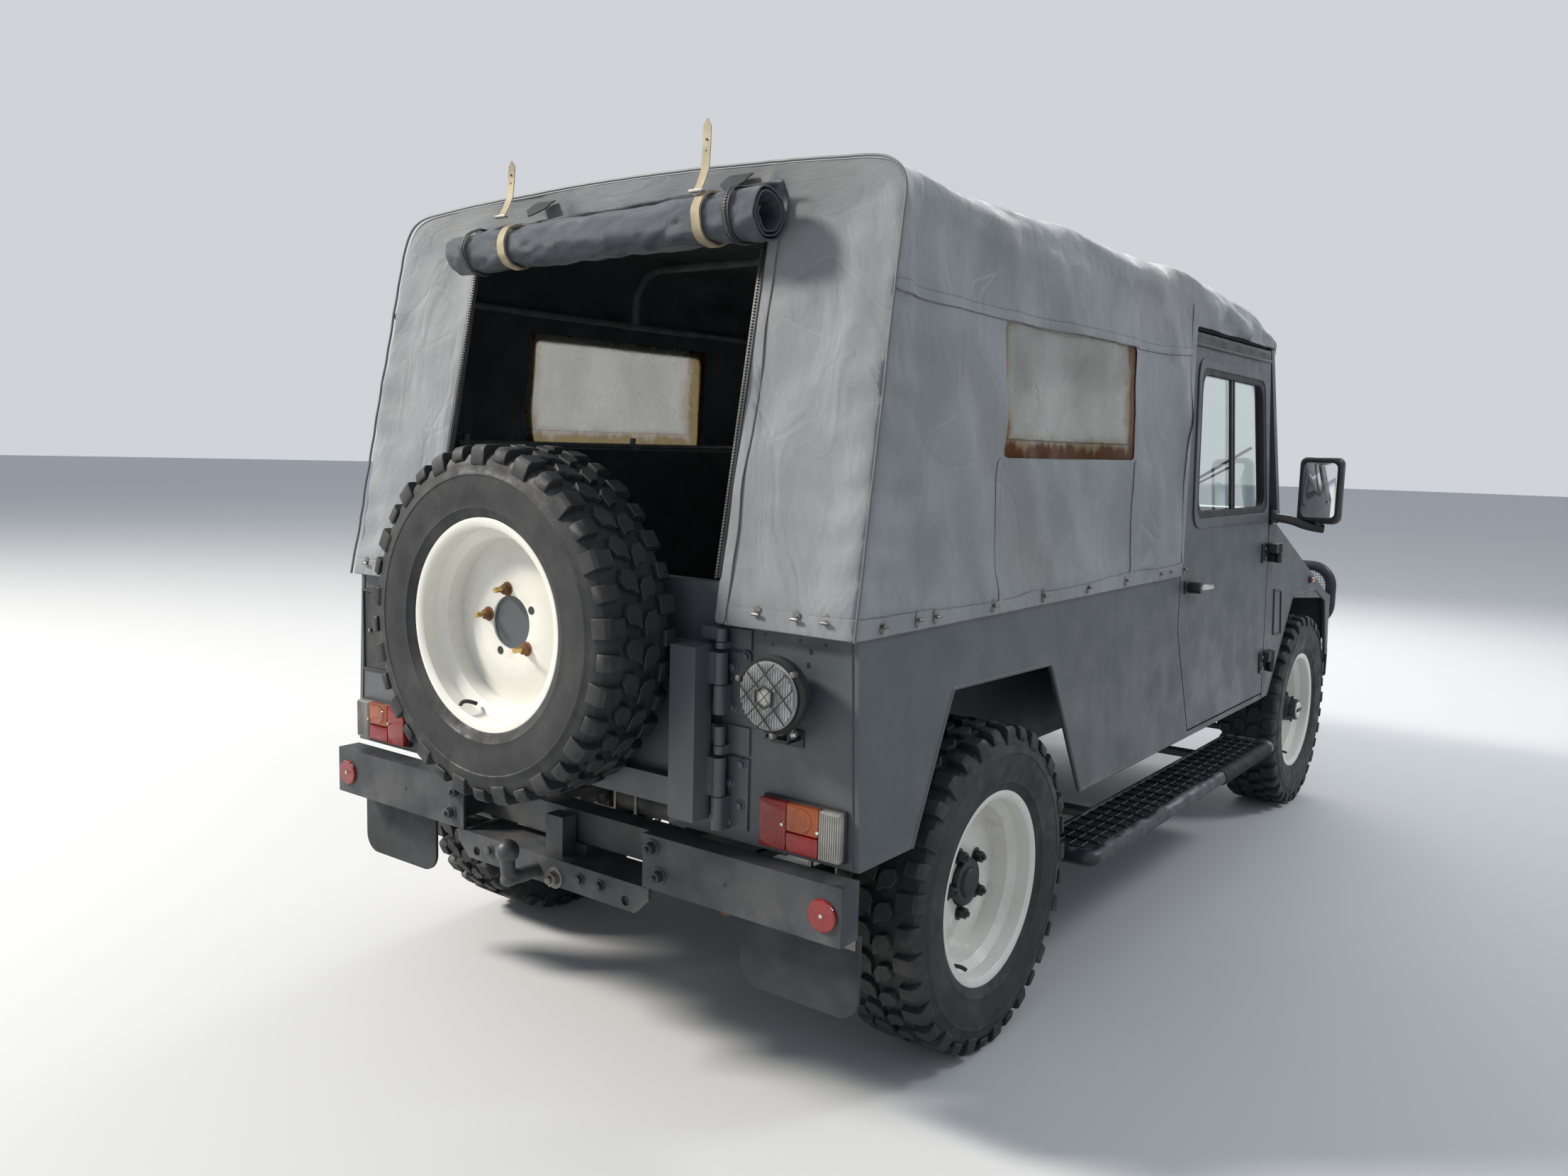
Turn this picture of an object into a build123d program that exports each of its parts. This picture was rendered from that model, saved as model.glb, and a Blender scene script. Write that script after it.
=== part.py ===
from build123d import *
import os
from math import cos, radians, sin, tan

os.makedirs("parts", exist_ok=True)

# A light four-wheel-drive army car: a steel tub on a ladder frame with leaf-sprung beam axles,
# a soft top over cab and load bed, and a spare wheel on a swinging carrier at the tail.
# Millimetres. +X forward, +Y to the car's left, +Z up. The origin is on the ground, midway
# between the back of the spare tyre and the front of the bull bar.
# Places along the car are first given as distances ahead of the rear axle.

# Running gear
WHEELBASE = 2560.0
SPARE_REACH = 812.0
BAR_REACH = 612.0
TYRE_RADIUS = 367.5
TYRE_WIDTH = 205.0
TYRE_FACE_Y = 772.0
LUG_DEPTH = 13.0
LUG_COUNT = 18
LUG_REACH = 68.0
LUG_SHARE = 0.6
RIM_RADIUS = 220.0
RIM_WIDTH = 172.0
RIM_DEPTH = 79.0
RIM_SHEET = 5.0
BORE_RADIUS = 55.0
STUD_CIRCLE = 139.7
STUD_HOLE = 15.0
STUD_COUNT = 5
DRUM_RADIUS = 130.0
SPINDLE_RADIUS = 25.0
RUNNING_FIT = 0.05
PLATE_RADIUS = 132.0
KINGPIN_Y = 540.0
KINGPIN_RADIUS = 16.0
TRACK_ARM = 140.0
TRACK_ROD_Z = 285.0
AXLE_TUBE = 45.0
RAIL_INNER = 300.0
RAIL_WIDTH = 60.0
RAIL_BOTTOM = 455.0
RAIL_HEIGHT = 80.0
SPRING_THICK = 30.0
SPRING_WIDTH = 54.0

# Body
BODY_WIDTH = 1540.0
LEAN = 2.4
SKIN = 12.0
SILL_Z = 500.0
DOOR_THICK = 35.0
GAP = 6.0
WAIST_Z = 1040.0
FLOOR_Z = 600.0
FLOOR_THICK = 20.0
BED_BOX_Y = 545.0
BED_BOX_Z = 870.0
TAIL_X = -572.0
TAIL_BOTTOM = 559.0
GATE_HALF = 427.0
GATE_BOTTOM = 646.0
GATE_TOP = 1067.0
GATE_THICK = 30.0
HINGE_X = -600.0
HINGE_Y = -GATE_HALF - 25
NOSE_X = WHEELBASE + 376
NOSE_THICK = 24.0
NOSE_TOP = 975.0
BONNET_HALF = 465.0
BONNET_REAR = WHEELBASE - 370
SCREEN_FOOT = (WHEELBASE - 388, 1113.0)
SCREEN_HEAD = (WHEELBASE - 524, 1722.0)
SCREEN_THICK = 32.0
GLASS = 5.0

# Soft top
CANVAS = 5.0
HEM_Z = 988.0
ROOF_EDGE_Z = 1865.0
ROOF_CROWN_Z = 1900.0
CAB_CROWN_Z = 1868.0
REAR_LEAN = 0.188

# Front, rear and side fittings
BAR_TUBE = 22.0
FRONT_BUMPER_X = WHEELBASE + 505
FRONT_BUMPER_DEPTH = 58.0
PLATE = 6.0
BUMPER_X = -631.0
BUMPER_Z = (434.0, 547.0)
BUMPER_INNER = 282.0
BALL_RADIUS = 25.0
STEP_TUBE = 20.0
STEP_Y = BODY_WIDTH / 2 + 35
STEP_TREAD = 165.0
STEP_Z = 330.0

# Worked out from the sizes above
REAR_AXLE_X = (SPARE_REACH - WHEELBASE - BAR_REACH) / 2
FRONT_AXLE_X = REAR_AXLE_X + WHEELBASE
HALF_WIDTH = BODY_WIDTH / 2
AXLE_Z = TYRE_RADIUS
RIM_FACE_Y = TYRE_FACE_Y - (TYRE_WIDTH - RIM_WIDTH) / 2
RAIL_OUTER = RAIL_INNER + RAIL_WIDTH
RAIL_TOP = RAIL_BOTTOM + RAIL_HEIGHT
RIGHT_SKIN = Plane(
    origin=(0, -HALF_WIDTH, SILL_Z),
    x_dir=(1, 0, 0),
    z_dir=(0, -cos(radians(LEAN)), sin(radians(LEAN))),
)


def block(ahead, across, height, mode=Mode.ADD):
    """A box between two distances ahead of the rear axle, two widths and two heights."""
    middle = (REAR_AXLE_X + sum(ahead) / 2, sum(across) / 2, sum(height) / 2)
    with Locations(middle):
        Box(ahead[1] - ahead[0], across[1] - across[0], height[1] - height[0], mode=mode)


def rod(start, end, radius, mode=Mode.ADD):
    """A round bar between two points, each (ahead of the rear axle, across, height)."""
    low = Vector(REAR_AXLE_X + start[0], start[1], start[2])
    high = Vector(REAR_AXLE_X + end[0], end[1], end[2])
    run = high - low
    with Locations(Plane(origin=low, z_dir=run).location):
        Cylinder(radius, run.length, align=(Align.CENTER, Align.CENTER, Align.MIN), mode=mode)


def on_side(points):
    """Outline points (ahead of the rear axle, height) in the plane of the right-hand skin."""
    return [(REAR_AXLE_X + ahead, height - SILL_Z) for ahead, height in points]


def along(points):
    """Outline points (ahead of the rear axle, height) in an upright lengthwise plane."""
    return [(REAR_AXLE_X + ahead, height) for ahead, height in points]


def fore(points):
    """Outline points given from the front axle, as points ahead of the rear axle."""
    return [(WHEELBASE + ahead, height) for ahead, height in points]


def half_width(height):
    """Half the body's width at a height, from the lean of its sides."""
    return HALF_WIDTH - (height - SILL_Z) * tan(radians(LEAN))


def pair(side, inner, outer):
    """Two widths on one side of the car, in rising order."""
    return sorted((side * inner, side * outer))


# Wheels. Each profile is (depth in from the outer flange, radius).
RIM_PROFILE = [
    (0, RIM_RADIUS),
    (RIM_SHEET, RIM_RADIUS),
    (RIM_SHEET, 205),
    (38, 205),
    (52, 183),
    (118, 183),
    (132, 205),
    (RIM_WIDTH - RIM_SHEET, 205),
    (RIM_WIDTH - RIM_SHEET, RIM_RADIUS),
    (RIM_WIDTH, RIM_RADIUS),
    (RIM_WIDTH, 200),
    (134, 200),
    (120, 178),
    (100, 178),
    (94, 152),
    (RIM_DEPTH, 118),
    (RIM_DEPTH, BORE_RADIUS),
    (RIM_DEPTH - 6, BORE_RADIUS),
    (RIM_DEPTH - 6, 120),
    (88, 155),
    (93, 178),
    (50, 178),
    (36, 200),
    (0, 200),
]
TYRE_BULGE = (TYRE_WIDTH - RIM_WIDTH) / 2
TYRE_PROFILE = [
    (RIM_SHEET, 205),
    (RIM_SHEET, RIM_RADIUS + 0.5),
    (-TYRE_BULGE + 3, 250),
    (-TYRE_BULGE, 290),
    (-TYRE_BULGE + 7, TYRE_RADIUS - 2.5 * LUG_DEPTH),
    (8, TYRE_RADIUS - LUG_DEPTH),
    (RIM_WIDTH - 8, TYRE_RADIUS - LUG_DEPTH),
    (RIM_WIDTH + TYRE_BULGE - 7, TYRE_RADIUS - 2.5 * LUG_DEPTH),
    (RIM_WIDTH + TYRE_BULGE, 290),
    (RIM_WIDTH + TYRE_BULGE - 3, 250),
    (RIM_WIDTH - RIM_SHEET, RIM_RADIUS + 0.5),
    (RIM_WIDTH - RIM_SHEET, 205),
    (132, 205),
    (125, 222),
    (150, 232),
    (166, 290),
    (150, TYRE_RADIUS - 2.5 * LUG_DEPTH),
    (22, TYRE_RADIUS - 2.5 * LUG_DEPTH),
    (6, 290),
    (22, 232),
    (47, 222),
    (38, 205),
]


LUG_LOW = TYRE_RADIUS - 2.2 * LUG_DEPTH
LUG_HALF_PITCH = 180.0 / LUG_COUNT
# how far in each row of shoulder lugs starts, and how far round it is turned
LUG_ROWS = [(-2.0, 0.0), (RIM_WIDTH + 2 - LUG_REACH, LUG_HALF_PITCH)]


def wheel_plane(centre, outward):
    """A plane whose x runs inboard from the rim's outer flange and whose y runs out radially."""
    return Plane(origin=centre, x_dir=-Vector(outward), z_dir=(0, 0, 1))


def shoulder_lugs(face, inward):
    """Both rows of shoulder lugs, fused to the carcass of the tyre that is being built."""
    middle = LUG_LOW + LUG_DEPTH * 2
    lug_length = radians(360.0 / LUG_COUNT) * TYRE_RADIUS * LUG_SHARE
    for start, turn in LUG_ROWS:
        with BuildSketch(Plane(origin=face + inward * start, x_dir=(0, 0, 1), z_dir=inward)) as lugs:
            with PolarLocations(middle, LUG_COUNT, start_angle=turn):
                Rectangle(LUG_DEPTH * 4, lug_length)
            Circle(TYRE_RADIUS, mode=Mode.INTERSECT)
        extrude(lugs.sketch, amount=LUG_REACH)


# name, ahead of the rear axle, side, how far the hub stands out from the disc
ROAD_WHEELS = [
    ("front_left", WHEELBASE, 1, RIM_DEPTH + 9),
    ("front_right", WHEELBASE, -1, RIM_DEPTH + 9),
    ("rear_left", 0.0, 1, 20.0),
    ("rear_right", 0.0, -1, 20.0),
]
for corner, ahead, side, hub_reach in ROAD_WHEELS:
    face = Vector(REAR_AXLE_X + ahead, side * RIM_FACE_Y, AXLE_Z)
    inward = Vector(0, -side, 0)
    turn_axis = Axis(face, inward)
    flat = wheel_plane(face, -inward)
    disc_back = face + inward * RIM_DEPTH
    with BuildPart() as wheel:
        with BuildSketch(flat):
            Polygon(*RIM_PROFILE, align=None)
        revolve(axis=turn_axis)
        with BuildSketch(Plane(origin=disc_back, z_dir=inward)):
            with PolarLocations(STUD_CIRCLE / 2, STUD_COUNT):
                Circle(STUD_HOLE / 2)
        extrude(amount=-RIM_SHEET - 3, mode=Mode.SUBTRACT)
        with Locations(Plane(origin=disc_back, z_dir=inward).location):
            Cylinder(DRUM_RADIUS, 72, align=(Align.CENTER, Align.CENTER, Align.MIN))
        with Locations(Plane(origin=disc_back, z_dir=-inward).location):
            Cylinder(BORE_RADIUS, hub_reach, align=(Align.CENTER, Align.CENTER, Align.MIN))
        with Locations(Plane(origin=disc_back + inward * 72, z_dir=-inward).location):
            Cylinder(
                SPINDLE_RADIUS + RUNNING_FIT,
                60,
                align=(Align.CENTER, Align.CENTER, Align.MIN),
                mode=Mode.SUBTRACT,
            )
    wheel.part.label = "wheel_" + corner
    export_step(wheel.part, "parts/wheel_" + corner + ".step")

    with BuildPart() as tyre:
        with BuildSketch(flat):
            Polygon(*TYRE_PROFILE, align=None)
        revolve(axis=turn_axis)
        shoulder_lugs(face, inward)
    tyre.part.label = "tyre_" + corner
    export_step(tyre.part, "parts/tyre_" + corner + ".step")

# Spare wheel, outer face to the rear
SPARE_Y = 13.0
SPARE_Z = 956.0
SPARE_FACE_X = -SPARE_REACH + TYRE_BULGE
spare_face = Vector(REAR_AXLE_X + SPARE_FACE_X, SPARE_Y, SPARE_Z)
spare_axis = Axis(spare_face, (1, 0, 0))
spare_flat = Plane(origin=spare_face, x_dir=(1, 0, 0), z_dir=(0, 0, 1))
with BuildPart() as spare_wheel:
    with BuildSketch(spare_flat):
        Polygon(*RIM_PROFILE, align=None)
    revolve(axis=spare_axis)
    with BuildSketch(Plane(origin=spare_face + Vector(RIM_DEPTH, 0, 0), z_dir=(1, 0, 0))):
        with PolarLocations(STUD_CIRCLE / 2, STUD_COUNT):
            Circle(STUD_HOLE / 2)
    extrude(amount=-RIM_SHEET - 3, mode=Mode.SUBTRACT)
spare_wheel.part.label = "spare_wheel"
export_step(spare_wheel.part, "parts/spare_wheel.step")

with BuildPart() as spare_tyre:
    with BuildSketch(spare_flat):
        Polygon(*TYRE_PROFILE, align=None)
    revolve(axis=spare_axis)
    shoulder_lugs(spare_face, Vector(1, 0, 0))
spare_tyre.part.label = "spare_tyre"
export_step(spare_tyre.part, "parts/spare_tyre.step")

# Axles
SPINDLE_START = RIM_FACE_Y - RIM_DEPTH - 72 - 12
PLATE_OUT = SPINDLE_START + 6
SPINDLE_END = RIM_FACE_Y - RIM_DEPTH - 18
DIFF_RADIUS = 115.0
DIFF_Y = 60.0
with BuildPart() as rear_axle:
    rod((0, -SPINDLE_START, AXLE_Z), (0, SPINDLE_START, AXLE_Z), AXLE_TUBE)
    with Locations((REAR_AXLE_X, DIFF_Y, AXLE_Z)):
        Sphere(DIFF_RADIUS)
    rod((0, DIFF_Y, AXLE_Z), (150, DIFF_Y, AXLE_Z), 45)
    for side in (-1, 1):
        rod((0, side * SPINDLE_START, AXLE_Z), (0, side * PLATE_OUT, AXLE_Z), PLATE_RADIUS)
        rod((0, side * PLATE_OUT, AXLE_Z), (0, side * SPINDLE_END, AXLE_Z), SPINDLE_RADIUS)
rear_axle.part.label = "rear_axle"
export_step(rear_axle.part, "parts/rear_axle.step")

YOKE_BACK = KINGPIN_Y - 40
EAR_HEIGHT = (75.0, 95.0)
with BuildPart() as front_axle:
    rod((WHEELBASE, -YOKE_BACK, AXLE_Z), (WHEELBASE, YOKE_BACK, AXLE_Z), AXLE_TUBE - 3)
    with Locations((FRONT_AXLE_X, DIFF_Y, AXLE_Z)):
        Sphere(DIFF_RADIUS)
    rod((WHEELBASE - 150, DIFF_Y, AXLE_Z), (WHEELBASE, DIFF_Y, AXLE_Z), 45)
    for side in (-1, 1):
        back = sorted((side * (YOKE_BACK - 30), side * YOKE_BACK))
        ear = sorted((side * (YOKE_BACK - 30), side * (KINGPIN_Y + 22)))
        block((WHEELBASE - 45, WHEELBASE + 45), back, (AXLE_Z - EAR_HEIGHT[1], AXLE_Z + EAR_HEIGHT[1]))
        block((WHEELBASE - 28, WHEELBASE + 28), ear, (AXLE_Z + EAR_HEIGHT[0], AXLE_Z + EAR_HEIGHT[1]))
        block((WHEELBASE - 28, WHEELBASE + 28), ear, (AXLE_Z - EAR_HEIGHT[1], AXLE_Z - EAR_HEIGHT[0]))
        rod(
            (WHEELBASE, side * KINGPIN_Y, AXLE_Z - EAR_HEIGHT[1] - 1),
            (WHEELBASE, side * KINGPIN_Y, AXLE_Z - EAR_HEIGHT[0] + 1),
            KINGPIN_RADIUS + RUNNING_FIT,
            Mode.SUBTRACT,
        )
        rod(
            (WHEELBASE, side * KINGPIN_Y, AXLE_Z + EAR_HEIGHT[0] - 1),
            (WHEELBASE, side * KINGPIN_Y, AXLE_Z + EAR_HEIGHT[1] + 1),
            KINGPIN_RADIUS + RUNNING_FIT,
            Mode.SUBTRACT,
        )
front_axle.part.label = "front_axle"
export_step(front_axle.part, "parts/front_axle.step")

# Steering knuckles: kingpin block, backing plate, spindle and an arm to the track rod
for hand, side in (("left", 1), ("right", -1)):
    with BuildPart() as knuckle:
        rod(
            (WHEELBASE, side * KINGPIN_Y, AXLE_Z - 70),
            (WHEELBASE, side * KINGPIN_Y, AXLE_Z + 70),
            33,
        )
        rod(
            (WHEELBASE, side * KINGPIN_Y, AXLE_Z - EAR_HEIGHT[1]),
            (WHEELBASE, side * KINGPIN_Y, AXLE_Z + EAR_HEIGHT[1]),
            KINGPIN_RADIUS,
        )
        rod((WHEELBASE, side * SPINDLE_START, AXLE_Z), (WHEELBASE, side * PLATE_OUT, AXLE_Z), PLATE_RADIUS)
        rod((WHEELBASE, side * KINGPIN_Y, AXLE_Z), (WHEELBASE, side * SPINDLE_END, AXLE_Z), SPINDLE_RADIUS)
        rod(
            (WHEELBASE - 15, side * KINGPIN_Y, AXLE_Z - 55),
            (WHEELBASE - TRACK_ARM, side * KINGPIN_Y, TRACK_ROD_Z + 24),
            11,
        )
        rod(
            (WHEELBASE - TRACK_ARM, side * KINGPIN_Y, TRACK_ROD_Z + 14),
            (WHEELBASE - TRACK_ARM, side * KINGPIN_Y, TRACK_ROD_Z + 34),
            18,
        )
    knuckle.part.label = "knuckle_" + hand
    export_step(knuckle.part, "parts/knuckle_" + hand + ".step")

with BuildPart() as track_rod:
    rod(
        (WHEELBASE - TRACK_ARM, -KINGPIN_Y, TRACK_ROD_Z),
        (WHEELBASE - TRACK_ARM, KINGPIN_Y, TRACK_ROD_Z),
        12,
    )
    for side in (-1, 1):
        rod(
            (WHEELBASE - TRACK_ARM, side * KINGPIN_Y, TRACK_ROD_Z - 13),
            (WHEELBASE - TRACK_ARM, side * KINGPIN_Y, TRACK_ROD_Z + 13),
            18,
        )
track_rod.part.label = "track_rod"
export_step(track_rod.part, "parts/track_rod.step")

# Leaf springs, one bowed pack on each side of each axle. ahead, half length, seat height
SPRINGS = [
    (0.0, 520.0, AXLE_Z + AXLE_TUBE),
    (WHEELBASE, 420.0, AXLE_Z + AXLE_TUBE - 3),
]
# how far a leaf reaches as a share of the half length, and its under and upper side above the seat
LEAVES = [
    (1.0, SPRING_THICK - 10, SPRING_THICK),
    (0.72, SPRING_THICK - 20, SPRING_THICK - 8),
    (0.46, 0.0, SPRING_THICK - 18),
]
with BuildPart() as leaf_springs:
    for ahead, half, seat in SPRINGS:
        for side in (-1, 1):
            with BuildSketch(Plane.XZ.offset(-side * (RAIL_INNER + RAIL_WIDTH / 2))):
                for reach, under, over in LEAVES:
                    rise = (RAIL_BOTTOM - 8 - seat - SPRING_THICK) * reach ** 2
                    Polygon(
                        *along([
                            (ahead - half * reach, seat + under + rise),
                            (ahead - 70, seat + under),
                            (ahead + 70, seat + under),
                            (ahead + half * reach, seat + under + rise),
                            (ahead + half * reach, seat + over + rise),
                            (ahead + 70, seat + over),
                            (ahead - 70, seat + over),
                            (ahead - half * reach, seat + over + rise),
                        ]),
                        align=None,
                    )
            extrude(amount=SPRING_WIDTH / 2, both=True)
            for clamp in (-45, 45):
                block(
                    (ahead + clamp - 6, ahead + clamp + 6),
                    pair(side, RAIL_INNER + 3 - 8, RAIL_OUTER - 3 + 8),
                    (seat + 0.5, seat + SPRING_THICK + 7),
                )
leaf_springs.part.label = "leaf_springs"
export_step(leaf_springs.part, "parts/leaf_springs.step")

# Ladder frame. Crossmembers: ahead, and how long each is
FRAME_REAR = BUMPER_X + PLATE
FRAME_FRONT = FRONT_BUMPER_X - PLATE
CROSSMEMBERS = [(-560, 60), (470, 60), (WHEELBASE - 1240, 60), (WHEELBASE + 330, 60)]
BODY_MOUNTS = [-430, 640, WHEELBASE - 1310, WHEELBASE - 570]
with BuildPart() as chassis_frame:
    for side in (-1, 1):
        rail = sorted((side * RAIL_INNER, side * RAIL_OUTER))
        block((FRAME_REAR, FRAME_FRONT), rail, (RAIL_BOTTOM, RAIL_TOP))
        for place in BODY_MOUNTS:
            block((place, place + 70), rail, (RAIL_TOP, FLOOR_Z))
        for ahead, half, seat in SPRINGS:
            for end in (-1, 1):
                eye = ahead + end * half
                block((eye - 20, eye + 20), rail, (RAIL_BOTTOM - 8, RAIL_BOTTOM))
    for ahead, length in CROSSMEMBERS:
        block((ahead, ahead + length), (-RAIL_INNER, RAIL_INNER), (RAIL_BOTTOM, RAIL_TOP - 10))
chassis_frame.part.label = "chassis_frame"
export_step(chassis_frame.part, "parts/chassis_frame.step")

# Engine as one plain block with the gearbox, transfer box and drive shafts behind it
ENGINE = (WHEELBASE - 320, WHEELBASE + 280)
TRANSFER = (WHEELBASE - 1180, WHEELBASE - 920)
ENGINE_MOUNT = (WHEELBASE - 60, WHEELBASE + 20)
with BuildPart() as powertrain:
    block(ENGINE, (-230, 230), (545, 960))
    block((TRANSFER[1], ENGINE[0]), (-120, 120), (400, FLOOR_Z - 10))
    block(TRANSFER, (-140, 140), (380, 560))
    rod((152, DIFF_Y, AXLE_Z), (TRANSFER[0], DIFF_Y, 420), 27)
    rod((TRANSFER[1] - 40, DIFF_Y + 50, 400), (WHEELBASE - 158, DIFF_Y, AXLE_Z), 22)
    for side in (-1, 1):
        block(ENGINE_MOUNT, pair(side, 200, RAIL_INNER), (500, 560))
powertrain.part.label = "powertrain"
export_step(powertrain.part, "parts/powertrain.step")

# Exhaust: ahead, across, height of each bend
EXHAUST_ROUTE = [
    (TRANSFER[0], -240, 432),
    (-150, -240, 432),
    (-330, -262, 392),
    (-500, -400, 380),
]
with BuildPart() as exhaust:
    with BuildLine() as exhaust_line:
        FilletPolyline(*[(REAR_AXLE_X + a, y, z) for a, y, z in EXHAUST_ROUTE], radius=60)
    with BuildSketch(Plane(origin=exhaust_line.line @ 0, z_dir=exhaust_line.line % 0)):
        Circle(18)
    sweep()
    rod((620, -240, 400), (1120, -240, 400), 54)
exhaust.part.label = "exhaust"
export_step(exhaust.part, "parts/exhaust.step")

with BuildPart() as fuel_tank:
    block((560, 1150), (RAIL_OUTER, HALF_WIDTH - 150), (395, 560))
    fillet(fuel_tank.edges().filter_by(Axis.X), 35)
fuel_tank.part.label = "fuel_tank"
export_step(fuel_tank.part, "parts/fuel_tank.step")

# Body tub: floor, load bed side boxes and fire wall
FIRE_WALL = WHEELBASE - 460
CAB_FLOOR = (WHEELBASE - 1470, FIRE_WALL)
BED_FRONT = CAB_FLOOR[0] + SKIN
RIB_COUNT = 7
CAB_HALF = half_width(FLOOR_Z) - DOOR_THICK - GAP
LID_HALF = half_width(BED_BOX_Z) - SKIN - 0.2
with BuildPart() as floor_pan:
    block((TAIL_X + SKIN, FIRE_WALL + 12), (-BED_BOX_Y, BED_BOX_Y), (FLOOR_Z, FLOOR_Z + FLOOR_THICK))
    block(CAB_FLOOR, (-CAB_HALF, CAB_HALF), (FLOOR_Z, FLOOR_Z + FLOOR_THICK))
    block((FIRE_WALL, FIRE_WALL + 12), (70 - HALF_WIDTH, HALF_WIDTH - 70), (FLOOR_Z, SCREEN_FOOT[1] - 28))
    with Locations((REAR_AXLE_X + BED_FRONT / 2 - 250, 0, FLOOR_Z + FLOOR_THICK + 1)):
        with GridLocations(0, 2 * (BED_BOX_Y - 65) / (RIB_COUNT - 1), 1, RIB_COUNT):
            Box(BED_FRONT + 480, 45, 8)
    for side in (-1, 1):
        wall = sorted((side * (BED_BOX_Y - SKIN), side * BED_BOX_Y))
        lid = sorted((side * (BED_BOX_Y - SKIN), side * LID_HALF))
        sill = sorted((side * (CAB_HALF - 30), side * CAB_HALF))
        foot = sorted((side * (CAB_HALF - 30), side * (half_width(SILL_Z) - SKIN - 0.6)))
        block((TAIL_X + SKIN, BED_FRONT), wall, (FLOOR_Z, BED_BOX_Z))
        block((TAIL_X + SKIN, BED_FRONT), lid, (BED_BOX_Z - SKIN, BED_BOX_Z))
        block((CAB_FLOOR[0], BED_FRONT), lid, (FLOOR_Z, BED_BOX_Z))
        block((BED_FRONT, FIRE_WALL - 40), sill, (SILL_Z, FLOOR_Z))
        block((WHEELBASE - 1320, WHEELBASE - 580), foot, (SILL_Z, SILL_Z + 12))
floor_pan.part.label = "floor_pan"
export_step(floor_pan.part, "parts/floor_pan.step")

# Side and rear corner panels, right and left. Outline points are (ahead, height).
DOOR_OUTLINE = fore([
    (-1335, 520),
    (-568, 520),
    (-530, 1030),
    (-562, 1700),
    (-1370, 1700),
    (-1424, 985),
    (-1438, 828),
])
SIDE_OUTLINE = [
    (TAIL_X, TAIL_BOTTOM),
    (TAIL_X, WAIST_Z),
    (WHEELBASE - 1426, WAIST_Z),
    (WHEELBASE - 1430, 985),
    (WHEELBASE - 1444, 828),
    (WHEELBASE - 1340, 514),
    (WHEELBASE - 574, 514),
    (WHEELBASE - 574, SILL_Z),
    (434, SILL_Z),
    (254, 843),
    (-218, 852),
    (-383, TAIL_BOTTOM),
]
CORNER_OUTLINE = [
    (300, TAIL_BOTTOM),
    (300, GATE_BOTTOM - GAP),
    (GATE_HALF + GAP, GATE_BOTTOM - GAP),
    (GATE_HALF + GAP, WAIST_Z),
    (half_width(WAIST_Z) - 1, WAIST_Z),
    (half_width(TAIL_BOTTOM) - 1, TAIL_BOTTOM),
]
# Hinge stations on one upright axis: what swings, body knuckle low and high, swinging knuckle high,
# knuckle radius, pin radius
HINGES = [
    ("carrier", 584.0, 650.0, 728.0, 14.0, 6.0),
    ("gate", 735.0, 752.0, 790.0, 11.0, 4.0),
    ("carrier", 815.0, 872.0, 936.0, 14.0, 6.0),
    ("gate", 944.0, 956.0, 982.0, 11.0, 4.0),
]
KNUCKLE_GAP = 2.0
with BuildPart() as side_right:
    with BuildSketch(RIGHT_SKIN):
        Polygon(*on_side(SIDE_OUTLINE), align=None)
    extrude(amount=-SKIN)
    with BuildSketch(Plane.YZ.offset(REAR_AXLE_X + TAIL_X)):
        Polygon(*[(-across, height) for across, height in CORNER_OUTLINE], align=None)
    extrude(amount=SKIN)
with BuildPart() as body_sides:
    add(side_right.part)
    mirror(about=Plane.XZ)
    for swings, low, high, top, knuckle, pin in HINGES:
        rod((HINGE_X, HINGE_Y, low), (HINGE_X, HINGE_Y, high), knuckle)
        rod((HINGE_X, HINGE_Y, high), (HINGE_X, HINGE_Y, top - 5), pin)
        block((HINGE_X, TAIL_X), (HINGE_Y - knuckle, HINGE_Y - knuckle + 8), (low, high))
        block((TAIL_X - 5, TAIL_X), (HINGE_Y - 56, HINGE_Y - knuckle + 8), (low, top))
body_sides.part.label = "body_sides"
export_step(body_sides.part, "parts/body_sides.step")

# Front wings with their inner arches
LAMP_Y = 430.0
LAMP_Z = 795.0
LAMP_RADIUS = 88.0
WING_REAR = WHEELBASE - 524
WING_PEAK = WHEELBASE - 430
BONNET_PEAK_Z = 1104.0
INNER_ARCH_Y = RAIL_OUTER
INNER_ARCH_Z = 850.0
WING_OUTLINE = fore([
    (-562, SILL_Z),
    (-500, SILL_Z),
    (-179, 835),
    (155, 831),
    (312, 772),
    (345, 545),
    (NOSE_X - WHEELBASE, 545),
    (NOSE_X - WHEELBASE, 782),
    (WING_PEAK - WHEELBASE, BONNET_PEAK_Z + 1),
    (WING_REAR + 4 - WHEELBASE, BONNET_PEAK_Z + 1),
    (WING_REAR - WHEELBASE, 1030),
])
# Door hinges on an upright pin outside the skin: foot and top of each
DOOR_PIN = (WHEELBASE - 524, HALF_WIDTH + 14)
DOOR_PIN_RADIUS = 5.0
DOOR_KNUCKLE = 10.0
DOOR_HINGES = [(594.0, 664.0), (978.0, 1042.0)]


def leaf(ahead, foot, top):
    """A hinge leaf on the right-hand skin."""
    corners = [(ahead[0], foot), (ahead[1], foot), (ahead[1], top), (ahead[0], top)]
    with BuildSketch(RIGHT_SKIN) as plate:
        Polygon(*on_side(corners), align=None)
    extrude(plate.sketch, amount=5)


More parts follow.
